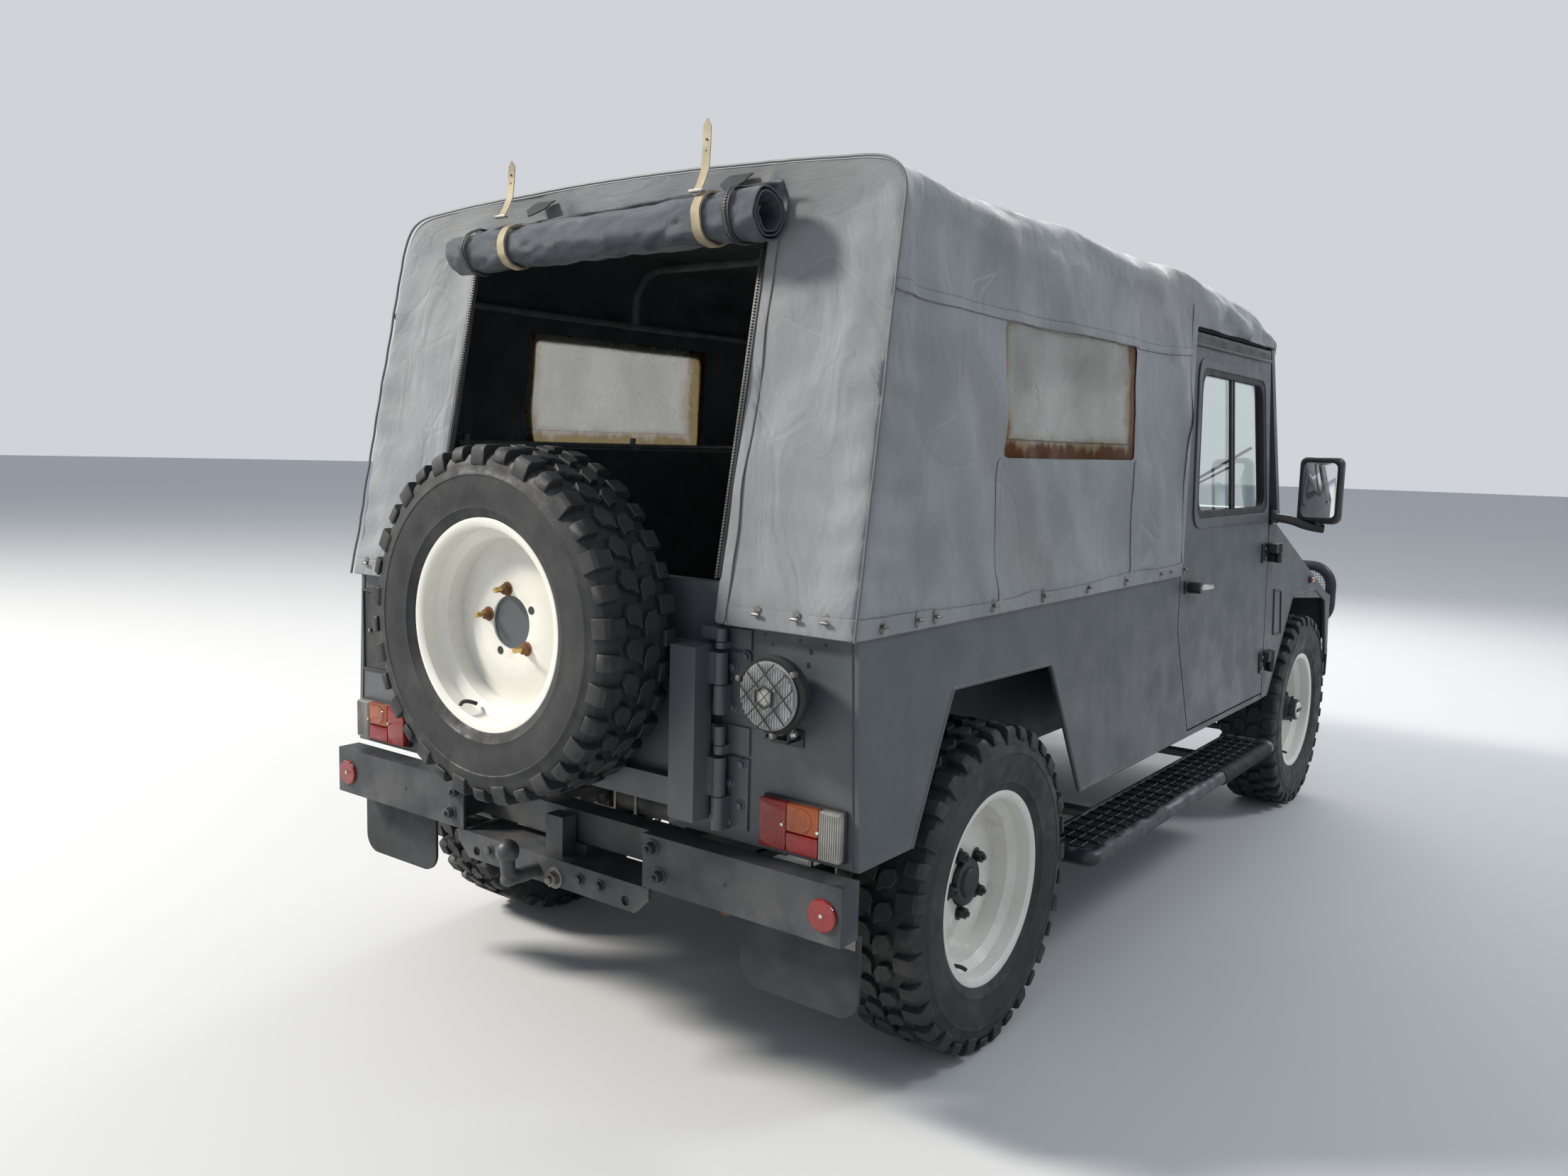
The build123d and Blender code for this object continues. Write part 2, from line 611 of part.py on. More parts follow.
with BuildPart() as wing_right:
    with BuildSketch(Plane.YZ.offset(REAR_AXLE_X + WING_PEAK)):
        Polygon(
            (-half_width(842) + 4, 842),
            (-half_width(1105) + 2, BONNET_PEAK_Z),
            (-BONNET_HALF - GAP, BONNET_PEAK_Z),
            (-BONNET_HALF - GAP, 842),
            align=None,
        )
    with BuildSketch(Plane.YZ.offset(REAR_AXLE_X + NOSE_X)):
        Polygon(
            (-half_width(775) + 4, 775),
            (-half_width(782) + 2, 782),
            (-BONNET_HALF - GAP, NOSE_TOP),
            (-BONNET_HALF - GAP, 775),
            align=None,
        )
    loft(ruled=True)
    with BuildSketch(RIGHT_SKIN):
        Polygon(*on_side(WING_OUTLINE), align=None)
    extrude(amount=-SKIN)
    block((WING_PEAK, NOSE_X), (70 - HALF_WIDTH, -INNER_ARCH_Y), (INNER_ARCH_Z - 8, INNER_ARCH_Z))
    block((WING_PEAK, NOSE_X), (-INNER_ARCH_Y - 8, -INNER_ARCH_Y), (SILL_Z, INNER_ARCH_Z))
    rod((NOSE_X - 76, -LAMP_Y, LAMP_Z), (NOSE_X + 1, -LAMP_Y, LAMP_Z), LAMP_RADIUS + 2, Mode.SUBTRACT)
    for foot, top in DOOR_HINGES:
        middle = (foot + top) / 2
        leaf((DOOR_PIN[0] + 12, DOOR_PIN[0] + 50), foot, top)
        block((DOOR_PIN[0], DOOR_PIN[0] + 20), (-DOOR_PIN[1] - 4, 4 - half_width(foot)), (foot, middle))
        rod((DOOR_PIN[0], -DOOR_PIN[1], foot), (DOOR_PIN[0], -DOOR_PIN[1], middle), DOOR_KNUCKLE)
        rod((DOOR_PIN[0], -DOOR_PIN[1], middle), (DOOR_PIN[0], -DOOR_PIN[1], top - 4), DOOR_PIN_RADIUS)
with BuildPart() as front_wings:
    add(wing_right.part)
    mirror(about=Plane.XZ)
front_wings.part.label = "front_wings"
export_step(front_wings.part, "parts/front_wings.step")

# Nose panel with the grille opening and two round lamp holes
GRILLE = (330.0, 690.0, 900.0)
NOSE_BOTTOM = 600.0
with BuildPart() as nose_panel:
    with BuildSketch(Plane.YZ.offset(REAR_AXLE_X + NOSE_X)):
        Polygon(
            (30 - HALF_WIDTH, NOSE_BOTTOM),
            (-half_width(782), 660),
            (-half_width(782) + 1, 782),
            (-BONNET_HALF - GAP, NOSE_TOP),
            (BONNET_HALF + GAP, NOSE_TOP),
            (half_width(782) - 1, 782),
            (half_width(782), 660),
            (HALF_WIDTH - 30, NOSE_BOTTOM),
            align=None,
        )
        with Locations((0, (GRILLE[1] + GRILLE[2]) / 2)):
            Rectangle(2 * GRILLE[0], GRILLE[2] - GRILLE[1], mode=Mode.SUBTRACT)
        with Locations((-LAMP_Y, LAMP_Z), (LAMP_Y, LAMP_Z)):
            Circle(LAMP_RADIUS, mode=Mode.SUBTRACT)
    extrude(amount=NOSE_THICK)
nose_panel.part.label = "nose_panel"
export_step(nose_panel.part, "parts/nose_panel.step")

# Grille: a frame with upright bars
BAR_COUNT = 15
with BuildPart() as grille:
    with BuildSketch(Plane.YZ.offset(REAR_AXLE_X + NOSE_X + 4)):
        with Locations((0, (GRILLE[1] + GRILLE[2]) / 2)):
            Rectangle(2 * GRILLE[0], GRILLE[2] - GRILLE[1])
            with GridLocations(40, 0, BAR_COUNT, 1):
                Rectangle(26, GRILLE[2] - GRILLE[1] - 36, mode=Mode.SUBTRACT)
    extrude(amount=14)
grille.part.label = "grille"
export_step(grille.part, "parts/grille.step")

# Headlamps, (ahead of the nose panel's back, radius), and a round indicator outside each
LAMP_PROFILE = [
    (-70, 0),
    (-70, 40),
    (-20, LAMP_RADIUS - 0.5),
    (NOSE_THICK, LAMP_RADIUS - 0.5),
    (NOSE_THICK, LAMP_RADIUS + 9),
    (NOSE_THICK + 12, LAMP_RADIUS + 4),
    (NOSE_THICK + 12, LAMP_RADIUS - 6),
    (NOSE_THICK + 4, LAMP_RADIUS - 8),
    (NOSE_THICK + 18, 45),
    (NOSE_THICK + 21, 15),
    (NOSE_THICK + 21, 0),
]
INDICATOR = (LAMP_Y + 165, 735.0, 36.0)
with BuildPart() as headlamps:
    for side in (-1, 1):
        centre = Vector(REAR_AXLE_X + NOSE_X, side * LAMP_Y, LAMP_Z)
        with BuildSketch(Plane(origin=centre, x_dir=(1, 0, 0), z_dir=(0, -1, 0))):
            Polygon(*LAMP_PROFILE, align=None)
        revolve(axis=Axis(centre, (1, 0, 0)))
        face = NOSE_X + NOSE_THICK
        spot = (side * INDICATOR[0], INDICATOR[1])
        rod((face, *spot), (face + 12, *spot), INDICATOR[2])
        rod((face, *spot), (face + 26, *spot), INDICATOR[2] - 5)
headlamps.part.label = "headlamps"
export_step(headlamps.part, "parts/headlamps.step")

# Bonnet, hinged at its rear edge
BONNET_SLOPE = (BONNET_PEAK_Z - NOSE_TOP) / (NOSE_X - WING_PEAK)
BONNET_RIB_Y = 250.0
with BuildPart() as bonnet:
    rear_z = BONNET_PEAK_Z - (BONNET_REAR - WING_PEAK) * BONNET_SLOPE
    front_z = BONNET_PEAK_Z - (NOSE_X + NOSE_THICK - WING_PEAK) * BONNET_SLOPE
    with BuildSketch(Plane.XZ):
        Polygon(
            *along([
                (BONNET_REAR, rear_z),
                (BONNET_REAR, rear_z - 18),
                (NOSE_X - GAP, front_z - 18),
                (NOSE_X - GAP, front_z + 2),
            ]),
            align=None,
        )
    extrude(amount=BONNET_HALF, both=True)
    with BuildSketch(Plane.XZ):
        Polygon(
            *along([
                (BONNET_REAR + 60, rear_z - 60 * BONNET_SLOPE - 4),
                (BONNET_REAR + 90, rear_z - 90 * BONNET_SLOPE + 7),
                (NOSE_X - 110, front_z + 104 * BONNET_SLOPE + 8),
                (NOSE_X - 80, front_z + 74 * BONNET_SLOPE - 2),
            ]),
            align=None,
        )
    ribs = extrude(amount=22, both=True, mode=Mode.PRIVATE)
    for side in (-1, 1):
        add(ribs.moved(Location((0, side * BONNET_RIB_Y, 0))))
bonnet.part.label = "bonnet"
export_step(bonnet.part, "parts/bonnet.step")

# Windscreen frame and glass, leaning back
SCREEN_RISE = Vector(SCREEN_HEAD[0] - SCREEN_FOOT[0], 0, SCREEN_HEAD[1] - SCREEN_FOOT[1])
SCREEN_HEIGHT = SCREEN_RISE.length
SCREEN_PLANE = Plane(
    origin=(REAR_AXLE_X + SCREEN_FOOT[0], 0, SCREEN_FOOT[1]),
    x_dir=(0, 1, 0),
    z_dir=Vector(0, 1, 0).cross(SCREEN_RISE),
)
SCREEN_FOOT_HALF = half_width(SCREEN_FOOT[1])
SCREEN_HEAD_HALF = half_width(SCREEN_HEAD[1])
SCREEN_MEMBER = 48.0
screen_opening = [
    (-SCREEN_FOOT_HALF + SCREEN_MEMBER, SCREEN_MEMBER),
    (SCREEN_FOOT_HALF - SCREEN_MEMBER, SCREEN_MEMBER),
    (SCREEN_HEAD_HALF - SCREEN_MEMBER, SCREEN_HEIGHT - SCREEN_MEMBER),
    (-SCREEN_HEAD_HALF + SCREEN_MEMBER, SCREEN_HEIGHT - SCREEN_MEMBER),
]
with BuildPart() as windscreen_frame:
    with BuildSketch(SCREEN_PLANE):
        Polygon(
            (-SCREEN_FOOT_HALF, 0),
            (SCREEN_FOOT_HALF, 0),
            (SCREEN_HEAD_HALF, SCREEN_HEIGHT),
            (-SCREEN_HEAD_HALF, SCREEN_HEIGHT),
            align=None,
        )
        Polygon(*screen_opening, align=None, mode=Mode.SUBTRACT)
    extrude(amount=-SCREEN_THICK)
    scuttle = (SCREEN_FOOT[1] - 28, SCREEN_FOOT[1] - 3)
    block((FIRE_WALL, BONNET_REAR - GAP), (-BONNET_HALF, BONNET_HALF), scuttle)
    block((FIRE_WALL, WING_PEAK - 1), (40 - HALF_WIDTH, HALF_WIDTH - 40), scuttle)
windscreen_frame.part.label = "windscreen_frame"
export_step(windscreen_frame.part, "parts/windscreen_frame.step")

with BuildPart() as windscreen:
    with BuildSketch(SCREEN_PLANE.offset(-SCREEN_THICK / 2)):
        Polygon(*screen_opening, align=None)
    extrude(amount=GLASS)
windscreen.part.label = "windscreen"
export_step(windscreen.part, "parts/windscreen.step")

# Doors, each the whole thickness of the real door, with the window cut
WINDOW_OUTLINE = fore([(-1310, 1150), (-570, 1150), (-635, 1595), (-1282, 1600)])
SURROUND_OUTLINE = fore([(-1334, 1124), (-546, 1124), (-614, 1620), (-1306, 1624)])
WINDOW_CORNER = 45.0
SURROUND_CORNER = 66.0
POCKET_OUTLINE = fore([(-1298, 590), (-623, 590), (-592, 1060), (-1358, 1060), (-1364, 985), (-1378, 828)])
POCKET_DEPTH = 20.0
HANDLE = (WHEELBASE - 1365, 952.0)
with BuildPart() as door_shape:
    with BuildSketch(RIGHT_SKIN):
        Polygon(*on_side(DOOR_OUTLINE), align=None)
    extrude(amount=-DOOR_THICK)
    with BuildSketch(RIGHT_SKIN):
        surround = Polygon(*on_side(SURROUND_OUTLINE), align=None)
        fillet(surround.vertices(), SURROUND_CORNER)
    extrude(amount=4)
    with BuildSketch(RIGHT_SKIN.offset(5)):
        window = Polygon(*on_side(WINDOW_OUTLINE), align=None)
        fillet(window.vertices(), WINDOW_CORNER)
    extrude(amount=-DOOR_THICK - 10, mode=Mode.SUBTRACT)
    with BuildSketch(RIGHT_SKIN.offset(-DOOR_THICK)):
        Polygon(*on_side(POCKET_OUTLINE), align=None)
    extrude(amount=POCKET_DEPTH, mode=Mode.SUBTRACT)
    handle_y = -half_width(HANDLE[1])
    rod((HANDLE[0], handle_y + 4, HANDLE[1]), (HANDLE[0], handle_y - 40, HANDLE[1]), 15)
    rod((HANDLE[0], handle_y - 34, HANDLE[1]), (HANDLE[0] + 115, handle_y - 34, HANDLE[1] - 4), 8)
    for foot, top in DOOR_HINGES:
        middle = (foot + top) / 2 + KNUCKLE_GAP
        leaf((DOOR_PIN[0] - 84, DOOR_PIN[0] - 42), foot, top)
        block((DOOR_PIN[0] - 51, DOOR_PIN[0]), (-DOOR_PIN[1] - 4, -1.5 - half_width(foot)), (middle, top))
        rod((DOOR_PIN[0], -DOOR_PIN[1], middle), (DOOR_PIN[0], -DOOR_PIN[1], top), DOOR_KNUCKLE)
        rod(
            (DOOR_PIN[0], -DOOR_PIN[1], middle - 5),
            (DOOR_PIN[0], -DOOR_PIN[1], top + 1),
            DOOR_PIN_RADIUS + RUNNING_FIT,
            Mode.SUBTRACT,
        )
with BuildPart() as glass_shape:
    with BuildSketch(RIGHT_SKIN.offset(-DOOR_THICK / 2)):
        pane = Polygon(*on_side(WINDOW_OUTLINE), align=None)
        fillet(pane.vertices(), WINDOW_CORNER)
    extrude(amount=GLASS)
for hand in ("right", "left"):
    with BuildPart() as door:
        add(door_shape.part if hand == "right" else door_shape.part.mirror(Plane.XZ))
    door.part.label = "door_" + hand
    export_step(door.part, "parts/door_" + hand + ".step")
    with BuildPart() as door_glass:
        add(glass_shape.part if hand == "right" else glass_shape.part.mirror(Plane.XZ))
    door_glass.part.label = "door_glass_" + hand
    export_step(door_glass.part, "parts/door_glass_" + hand + ".step")

# Door mirrors on arms from the screen pillars
MIRROR_BACK = WHEELBASE - 430
MIRROR_Y = HALF_WIDTH + 105
MIRROR_ARM = (MIRROR_BACK + 30, -MIRROR_Y + 5, 1095)
with BuildPart() as mirror_right:
    block((MIRROR_BACK, MIRROR_BACK + 65), (-MIRROR_Y - 75, -MIRROR_Y + 75), (1112, 1346))
    fillet(mirror_right.edges().filter_by(Axis.X), 28)
    rod((MIRROR_BACK - 55, 22 - HALF_WIDTH, 1125), MIRROR_ARM, 13)
    rod(MIRROR_ARM, (MIRROR_ARM[0], MIRROR_ARM[1], 1130), 13.5)
with BuildPart() as mirrors:
    add(mirror_right.part)
    mirror(about=Plane.XZ)
mirrors.part.label = "mirrors"
export_step(mirrors.part, "parts/mirrors.step")

# Dashboard with the steering column and wheel on the left
DASH = (FIRE_WALL - 150, FIRE_WALL - 2)
DRIVER_Y = 360.0
WHEEL_CENTRE = (FIRE_WALL - 320, DRIVER_Y, 1080.0)
COLUMN_FOOT = (FIRE_WALL - 140, DRIVER_Y, 1000.0)
with BuildPart() as dashboard:
    block(DASH, (80 - HALF_WIDTH, HALF_WIDTH - 80), (940, 1080))
    rod(COLUMN_FOOT, WHEEL_CENTRE, 20)
    column = Vector(WHEEL_CENTRE[0] - COLUMN_FOOT[0], 0, WHEEL_CENTRE[2] - COLUMN_FOOT[2])
    rim_centre = (REAR_AXLE_X + WHEEL_CENTRE[0], WHEEL_CENTRE[1], WHEEL_CENTRE[2])
    with Locations(Plane(origin=rim_centre, z_dir=column).location):
        Torus(190, 13)
        Box(380, 24, 12)
dashboard.part.label = "dashboard"
export_step(dashboard.part, "parts/dashboard.step")

SEAT_Y = (130.0, 620.0)
SEAT_TOP = 860.0
SEAT_CUSHION = 120.0
BACK_OUTLINE = fore([(-1200, 800), (-1110, 800), (-1190, 1400), (-1270, 1400)])
with BuildPart() as front_seats:
    for side in (-1, 1):
        frame_y = pair(side, SEAT_Y[0] + 20, SEAT_Y[1] - 20)
        frame_top = SEAT_TOP - SEAT_CUSHION
        block((WHEELBASE - 1180, WHEELBASE - 790), frame_y, (FLOOR_Z + FLOOR_THICK, frame_top))
        block((WHEELBASE - 1200, WHEELBASE - 760), pair(side, *SEAT_Y), (frame_top, SEAT_TOP))
        with BuildSketch(Plane.XZ.offset(-side * (SEAT_Y[0] + SEAT_Y[1]) / 2)):
            Polygon(*along(BACK_OUTLINE), align=None)
        extrude(amount=(SEAT_Y[1] - SEAT_Y[0]) / 2, both=True)
front_seats.part.label = "front_seats"
export_step(front_seats.part, "parts/front_seats.step")

# Side benches folded up against the sides of the load space
BENCH_OUT = HALF_WIDTH - 98
BENCH_THICK = 47.0
with BuildPart() as side_benches:
    for side in (-1, 1):
        pad = pair(side, BENCH_OUT - BENCH_THICK, BENCH_OUT)
        block((-330, BED_FRONT - 102), pad, (BED_BOX_Z, 1340))
side_benches.part.label = "side_benches"
export_step(side_benches.part, "parts/side_benches.step")

# Soft top. Each section runs over the car from one lower edge to the other.
CANVAS_LEAN = 0.026
CANVAS_HALF = half_width(HEM_Z) + CANVAS + 1
CAB_CANVAS_Z = 1708.0
CANVAS_FRONT = WHEELBASE - 514
CAB_BROW = WHEELBASE - 770
CANVAS_DOOR_EDGE = ((WHEELBASE - 1430, 985.0), (WHEELBASE - 1376, CAB_CANVAS_Z))
REAR_OPENING = (-GATE_HALF - 1, GATE_HALF + 22)
REAR_OPENING_TOP = 1760.0
PATCH_AHEAD = (-12.0, 704.0)
PATCH_Z = (1335.0, 1622.0)


def canvas_half(height):
    """Half the soft top's width at a height."""
    return CANVAS_HALF - (height - HEM_Z) * CANVAS_LEAN


def rear_skin(height):
    """How far ahead of the rear axle the leaning rear face is at a height."""
    return -596 + (height - 990) * REAR_LEAN


def top_section(low, shoulder, corner, edge, crown, wall=0.0):
    """A section of the soft top, from heights and (across, height) points, less a wall."""
    right = [
        (-canvas_half(low) + wall, low),
        (-canvas_half(shoulder) + wall, shoulder),
        (-corner[0] + wall * 0.7, corner[1] - wall * 0.7),
        (-edge[0], edge[1] - wall),
    ]
    left = [(-across, height) for across, height in reversed(right)]
    return right + [(0, crown - wall)] + left


CORNER_Y = HALF_WIDTH - 89
EDGE_Y = HALF_WIDTH - 150
BED_TOP = (1778.0, (CORNER_Y, 1838.0), (EDGE_Y, ROOF_EDGE_Z), ROOF_CROWN_Z)
BROW_TOP = (1762.0, (CORNER_Y + 8, 1812.0), (EDGE_Y, 1834.0), CAB_CROWN_Z)
HEADER_TOP = (1724.0, (CORNER_Y + 31, 1738.0), (EDGE_Y, 1750.0), 1764.0)
with BuildPart() as canvas_shell:
    for wall, front, mode in ((0.0, 0, Mode.ADD), (CANVAS, 10, Mode.SUBTRACT)):
        with BuildSketch(Plane.YZ.offset(REAR_AXLE_X - 620)):
            Polygon(*top_section(HEM_Z, *BED_TOP, wall), align=None)
        extrude(amount=CANVAS_DOOR_EDGE[1][0] + 620 + front, mode=mode)
    with BuildSketch(Plane.XZ):
        Polygon(
            *along([
                (-700, HEM_Z - 20),
                (rear_skin(HEM_Z - 20), HEM_Z - 20),
                (rear_skin(1950), 1950),
                (-700, 1950),
            ]),
            align=None,
        )
        Polygon(
            *along([
                CANVAS_DOOR_EDGE[0],
                CANVAS_DOOR_EDGE[1],
                (CANVAS_DOOR_EDGE[1][0] + 66, CAB_CANVAS_Z),
                (CANVAS_DOOR_EDGE[1][0] + 66, 900),
                (CANVAS_DOOR_EDGE[0][0], 900),
            ]),
            align=None,
        )
    extrude(amount=900, both=True, mode=Mode.SUBTRACT)
with BuildPart() as rear_face:
    with BuildSketch(Plane.YZ.offset(REAR_AXLE_X - 620)):
        Polygon(*top_section(HEM_Z, *BED_TOP), align=None)
    extrude(amount=400)
    with BuildSketch(Plane.XZ):
        Polygon(
            *along([
                (rear_skin(900), 900),
                (rear_skin(1950), 1950),
                (rear_skin(1950) + CANVAS, 1950),
                (rear_skin(900) + CANVAS, 900),
            ]),
            align=None,
        )
    extrude(amount=900, both=True, mode=Mode.INTERSECT)
    block((-640, -380), REAR_OPENING, (900, REAR_OPENING_TOP), Mode.SUBTRACT)
with BuildPart() as cab_roof:
    for wall, past, mode in ((0.0, 0, Mode.ADD), (CANVAS, 5, Mode.SUBTRACT)):
        with BuildSketch(Plane.YZ.offset(REAR_AXLE_X + CANVAS_DOOR_EDGE[1][0] - past)):
            Polygon(*top_section(CAB_CANVAS_Z, *BED_TOP, wall), align=None)
        with BuildSketch(Plane.YZ.offset(REAR_AXLE_X + CAB_BROW)):
            Polygon(*top_section(CAB_CANVAS_Z, *BROW_TOP, wall), align=None)
        with BuildSketch(Plane.YZ.offset(REAR_AXLE_X + CANVAS_FRONT + past)):
            Polygon(*top_section(CAB_CANVAS_Z, *HEADER_TOP, wall), align=None)
        loft(ruled=True, mode=mode)
with BuildPart() as canvas_whole:
    add(canvas_shell.part)
    add(rear_face.part)
    add(cab_roof.part)
with BuildPart() as canvas_hood:
    add(canvas_whole.part)
    for side in (-1, 1):
        block(PATCH_AHEAD, pair(side, HALF_WIDTH - 70, HALF_WIDTH + 10), PATCH_Z, Mode.SUBTRACT)
canvas_hood.part.label = "canvas_hood"
export_step(canvas_hood.part, "parts/canvas_hood.step")

with BuildPart() as hood_windows:
    for side in (-1, 1):
        block(PATCH_AHEAD, pair(side, HALF_WIDTH - 70, HALF_WIDTH + 10), PATCH_Z)
    add(canvas_whole.part, mode=Mode.INTERSECT)
hood_windows.part.label = "hood_windows"
export_step(hood_windows.part, "parts/hood_windows.step")

# Tubes under the soft top: roll hoop, two bows, side rails, rear posts and braces
HOOP_X = CAB_FLOOR[0] - 12
BOW_X = 350.0
REAR_BOW_X = -395.0
RAIL_Y = HALF_WIDTH - 74
TOP_RAIL_Z = 1680.0
# ahead, foot height, tube radius, top height
BOWS = [
    (HOOP_X, BED_BOX_Z + 0.3, 19.0, 1836.0),
    (BOW_X, TOP_RAIL_Z - 5, 12.0, 1843.0),
    (REAR_BOW_X, BED_BOX_Z + 0.3, 12.0, 1843.0),
]
with BuildPart() as hood_frame:
    for ahead, foot, radius, top in BOWS:
        with BuildLine() as bow_line:
            FilletPolyline(
                (REAR_AXLE_X + ahead, -RAIL_Y, foot),
                (REAR_AXLE_X + ahead, -RAIL_Y + 8, top),
                (REAR_AXLE_X + ahead, RAIL_Y - 8, top),
                (REAR_AXLE_X + ahead, RAIL_Y, foot),
                radius=110,
            )
        with BuildSketch(Plane(origin=bow_line.line @ 0, z_dir=bow_line.line % 0)):
            Circle(radius)
        sweep(path=bow_line.line)
    for side in (-1, 1):
        rail_y = side * (RAIL_Y - 5)
        rod((REAR_BOW_X - 3, rail_y, TOP_RAIL_Z), (HOOP_X - 3, rail_y, TOP_RAIL_Z), 10)
        rod((HOOP_X - 5, side * RAIL_Y, 1500), (HOOP_X - 318, side * RAIL_Y, BED_BOX_Z + 12), 10)
    for across in (REAR_OPENING[0] - 19, REAR_OPENING[1] + 19):
        rod((-566, across, WAIST_Z + 2), (-428, across, 1790), 9)
        rod((-428, across, 1786), (REAR_BOW_X, across, 1843), 9)
hood_frame.part.label = "hood_frame"
export_step(hood_frame.part, "parts/hood_frame.step")

# Rolled rear curtain with its two straps
ROLL_RIGHT = (-514.0, REAR_OPENING[0] - 47, 1782.0)
ROLL_LEFT = (-514.0, REAR_OPENING[1] + 3, 1758.0)
ROLL_RADIUS = 60.0
STRAPS = [-335.0, 235.0]
with BuildPart() as rear_curtain:
    rod(ROLL_RIGHT, ROLL_LEFT, ROLL_RADIUS)
    for across in STRAPS:
        share = (across - ROLL_RIGHT[1]) / (ROLL_LEFT[1] - ROLL_RIGHT[1])
        height = ROLL_RIGHT[2] + share * (ROLL_LEFT[2] - ROLL_RIGHT[2])
        rod((ROLL_RIGHT[0], across - 14, height), (ROLL_RIGHT[0], across + 14, height), ROLL_RADIUS + 2)
rear_curtain.part.label = "rear_curtain"
export_step(rear_curtain.part, "parts/rear_curtain.step")

# Tailgate, hinged on the right
with BuildPart() as tailgate:
    block((TAIL_X, TAIL_X + GATE_THICK), (-GATE_HALF, GATE_HALF), (GATE_BOTTOM, GATE_TOP))
    block(
        (TAIL_X + 6, TAIL_X + GATE_THICK + 1),
        (-GATE_HALF + 45, GATE_HALF - 45),
        (GATE_BOTTOM + 40, GATE_TOP - 40),
        Mode.SUBTRACT,
    )
    for swings, low, high, top, knuckle, pin in HINGES:
        if swings == "gate":
            block((HINGE_X + 6, TAIL_X), (HINGE_Y + 4, -GATE_HALF + 30), (high + KNUCKLE_GAP, top))
            rod((HINGE_X, HINGE_Y, high + KNUCKLE_GAP), (HINGE_X, HINGE_Y, top), knuckle)
            rod((HINGE_X, HINGE_Y, high), (HINGE_X, HINGE_Y, top + 1), pin + RUNNING_FIT, Mode.SUBTRACT)
tailgate.part.label = "tailgate"
export_step(tailgate.part, "parts/tailgate.step")

# Spare wheel carrier on the same hinge axis
ARM_X = (-600.0, TAIL_X - 5)
CARRIER_BOX_X = (-650.0, -600.0)
CARRIER_BOX_Y = (HINGE_Y + 22, HINGE_Y + 87)
HUB_BACK = SPARE_FACE_X + RIM_DEPTH
with BuildPart() as spare_carrier:
    block(CARRIER_BOX_X, CARRIER_BOX_Y, (602, 948))
    block(ARM_X, (CARRIER_BOX_Y[0] + 4, 60), (886, 948))
    block(ARM_X, (CARRIER_BOX_Y[0] + 4, 160), (606, 664))
    block(ARM_X, (SPARE_Y - 45, SPARE_Y + 45), (660, 948))
    rod((ARM_X[1], SPARE_Y, SPARE_Z), (ARM_X[0] - 10, SPARE_Y, SPARE_Z), 105)
    rod((ARM_X[0] - 10, SPARE_Y, SPARE_Z), (HUB_BACK, SPARE_Y, SPARE_Z), 88)
    for swings, low, high, top, knuckle, pin in HINGES:
        if swings == "carrier":
            block((HINGE_X - 12, HINGE_X + 8), (HINGE_Y, CARRIER_BOX_Y[0] + 4), (high + KNUCKLE_GAP, top))
            rod((HINGE_X, HINGE_Y, high + KNUCKLE_GAP), (HINGE_X, HINGE_Y, top), knuckle)
            rod((HINGE_X, HINGE_Y, high), (HINGE_X, HINGE_Y, top + 1), pin + RUNNING_FIT, Mode.SUBTRACT)
spare_carrier.part.label = "spare_carrier"
export_step(spare_carrier.part, "parts/spare_carrier.step")

# Rear bumper halves: channels open to the front, bolted to the rail ends
BUMPER_DEPTH = 58.0
with BuildPart() as rear_bumper:
    for side in (-1, 1):
        reach = sorted((side * BUMPER_INNER, side * HALF_WIDTH))
        hollow = sorted((side * (BUMPER_INNER - 1), side * (HALF_WIDTH - PLATE)))
        block((BUMPER_X, BUMPER_X + BUMPER_DEPTH), reach, BUMPER_Z)
        block(
            (BUMPER_X + PLATE, BUMPER_X + BUMPER_DEPTH + 1),
            hollow,
            (BUMPER_Z[0] + PLATE, BUMPER_Z[1] - PLATE),
            Mode.SUBTRACT,
        )
rear_bumper.part.label = "rear_bumper"
export_step(rear_bumper.part, "parts/rear_bumper.step")

# Tow bar: an angle under the frame with a swan-neck ball and two safety chain eyes
BALL = (-712.0, 35.0, 458.0)
PLATE_Z = (372.0, 433.0)
EYE = (235.0, 392.0, 11.0)
with BuildPart() as tow_bar:
    with BuildSketch(Plane.YZ.offset(REAR_AXLE_X + BUMPER_X)):
        Polygon(
            (-300, PLATE_Z[1]),
            (-300, PLATE_Z[0] + 36),
            (-262, PLATE_Z[0]),
            (262, PLATE_Z[0]),
            (300, PLATE_Z[0] + 36),
            (300, PLATE_Z[1]),
            align=None,
        )
        with Locations((-EYE[0], EYE[1]), (EYE[0], EYE[1])):
            Circle(EYE[2], mode=Mode.SUBTRACT)
    extrude(amount=10)
    block((BUMPER_X + 10, BUMPER_X + 110), (-280, 280), (PLATE_Z[1] - 10, PLATE_Z[1]))
    block((BUMPER_X + 60, BUMPER_X + 110), (-60, 60), (PLATE_Z[1], 455))
    block((BUMPER_X + 20, BUMPER_X + 60), (-26, 26), (PLATE_Z[1], 520))
    with Locations((REAR_AXLE_X + BALL[0], BALL[1], BALL[2])):
        Sphere(BALL_RADIUS)
    rod((BALL[0], BALL[1], BALL[2]), (BALL[0], BALL[1], 396), 14)
    with Locations((REAR_AXLE_X + BALL[0], BALL[1], 396)):
        Sphere(16)
    rod((BALL[0], BALL[1], 396), (BUMPER_X, BALL[1], 396), 16)
tow_bar.part.label = "tow_bar"
export_step(tow_bar.part, "parts/tow_bar.step")

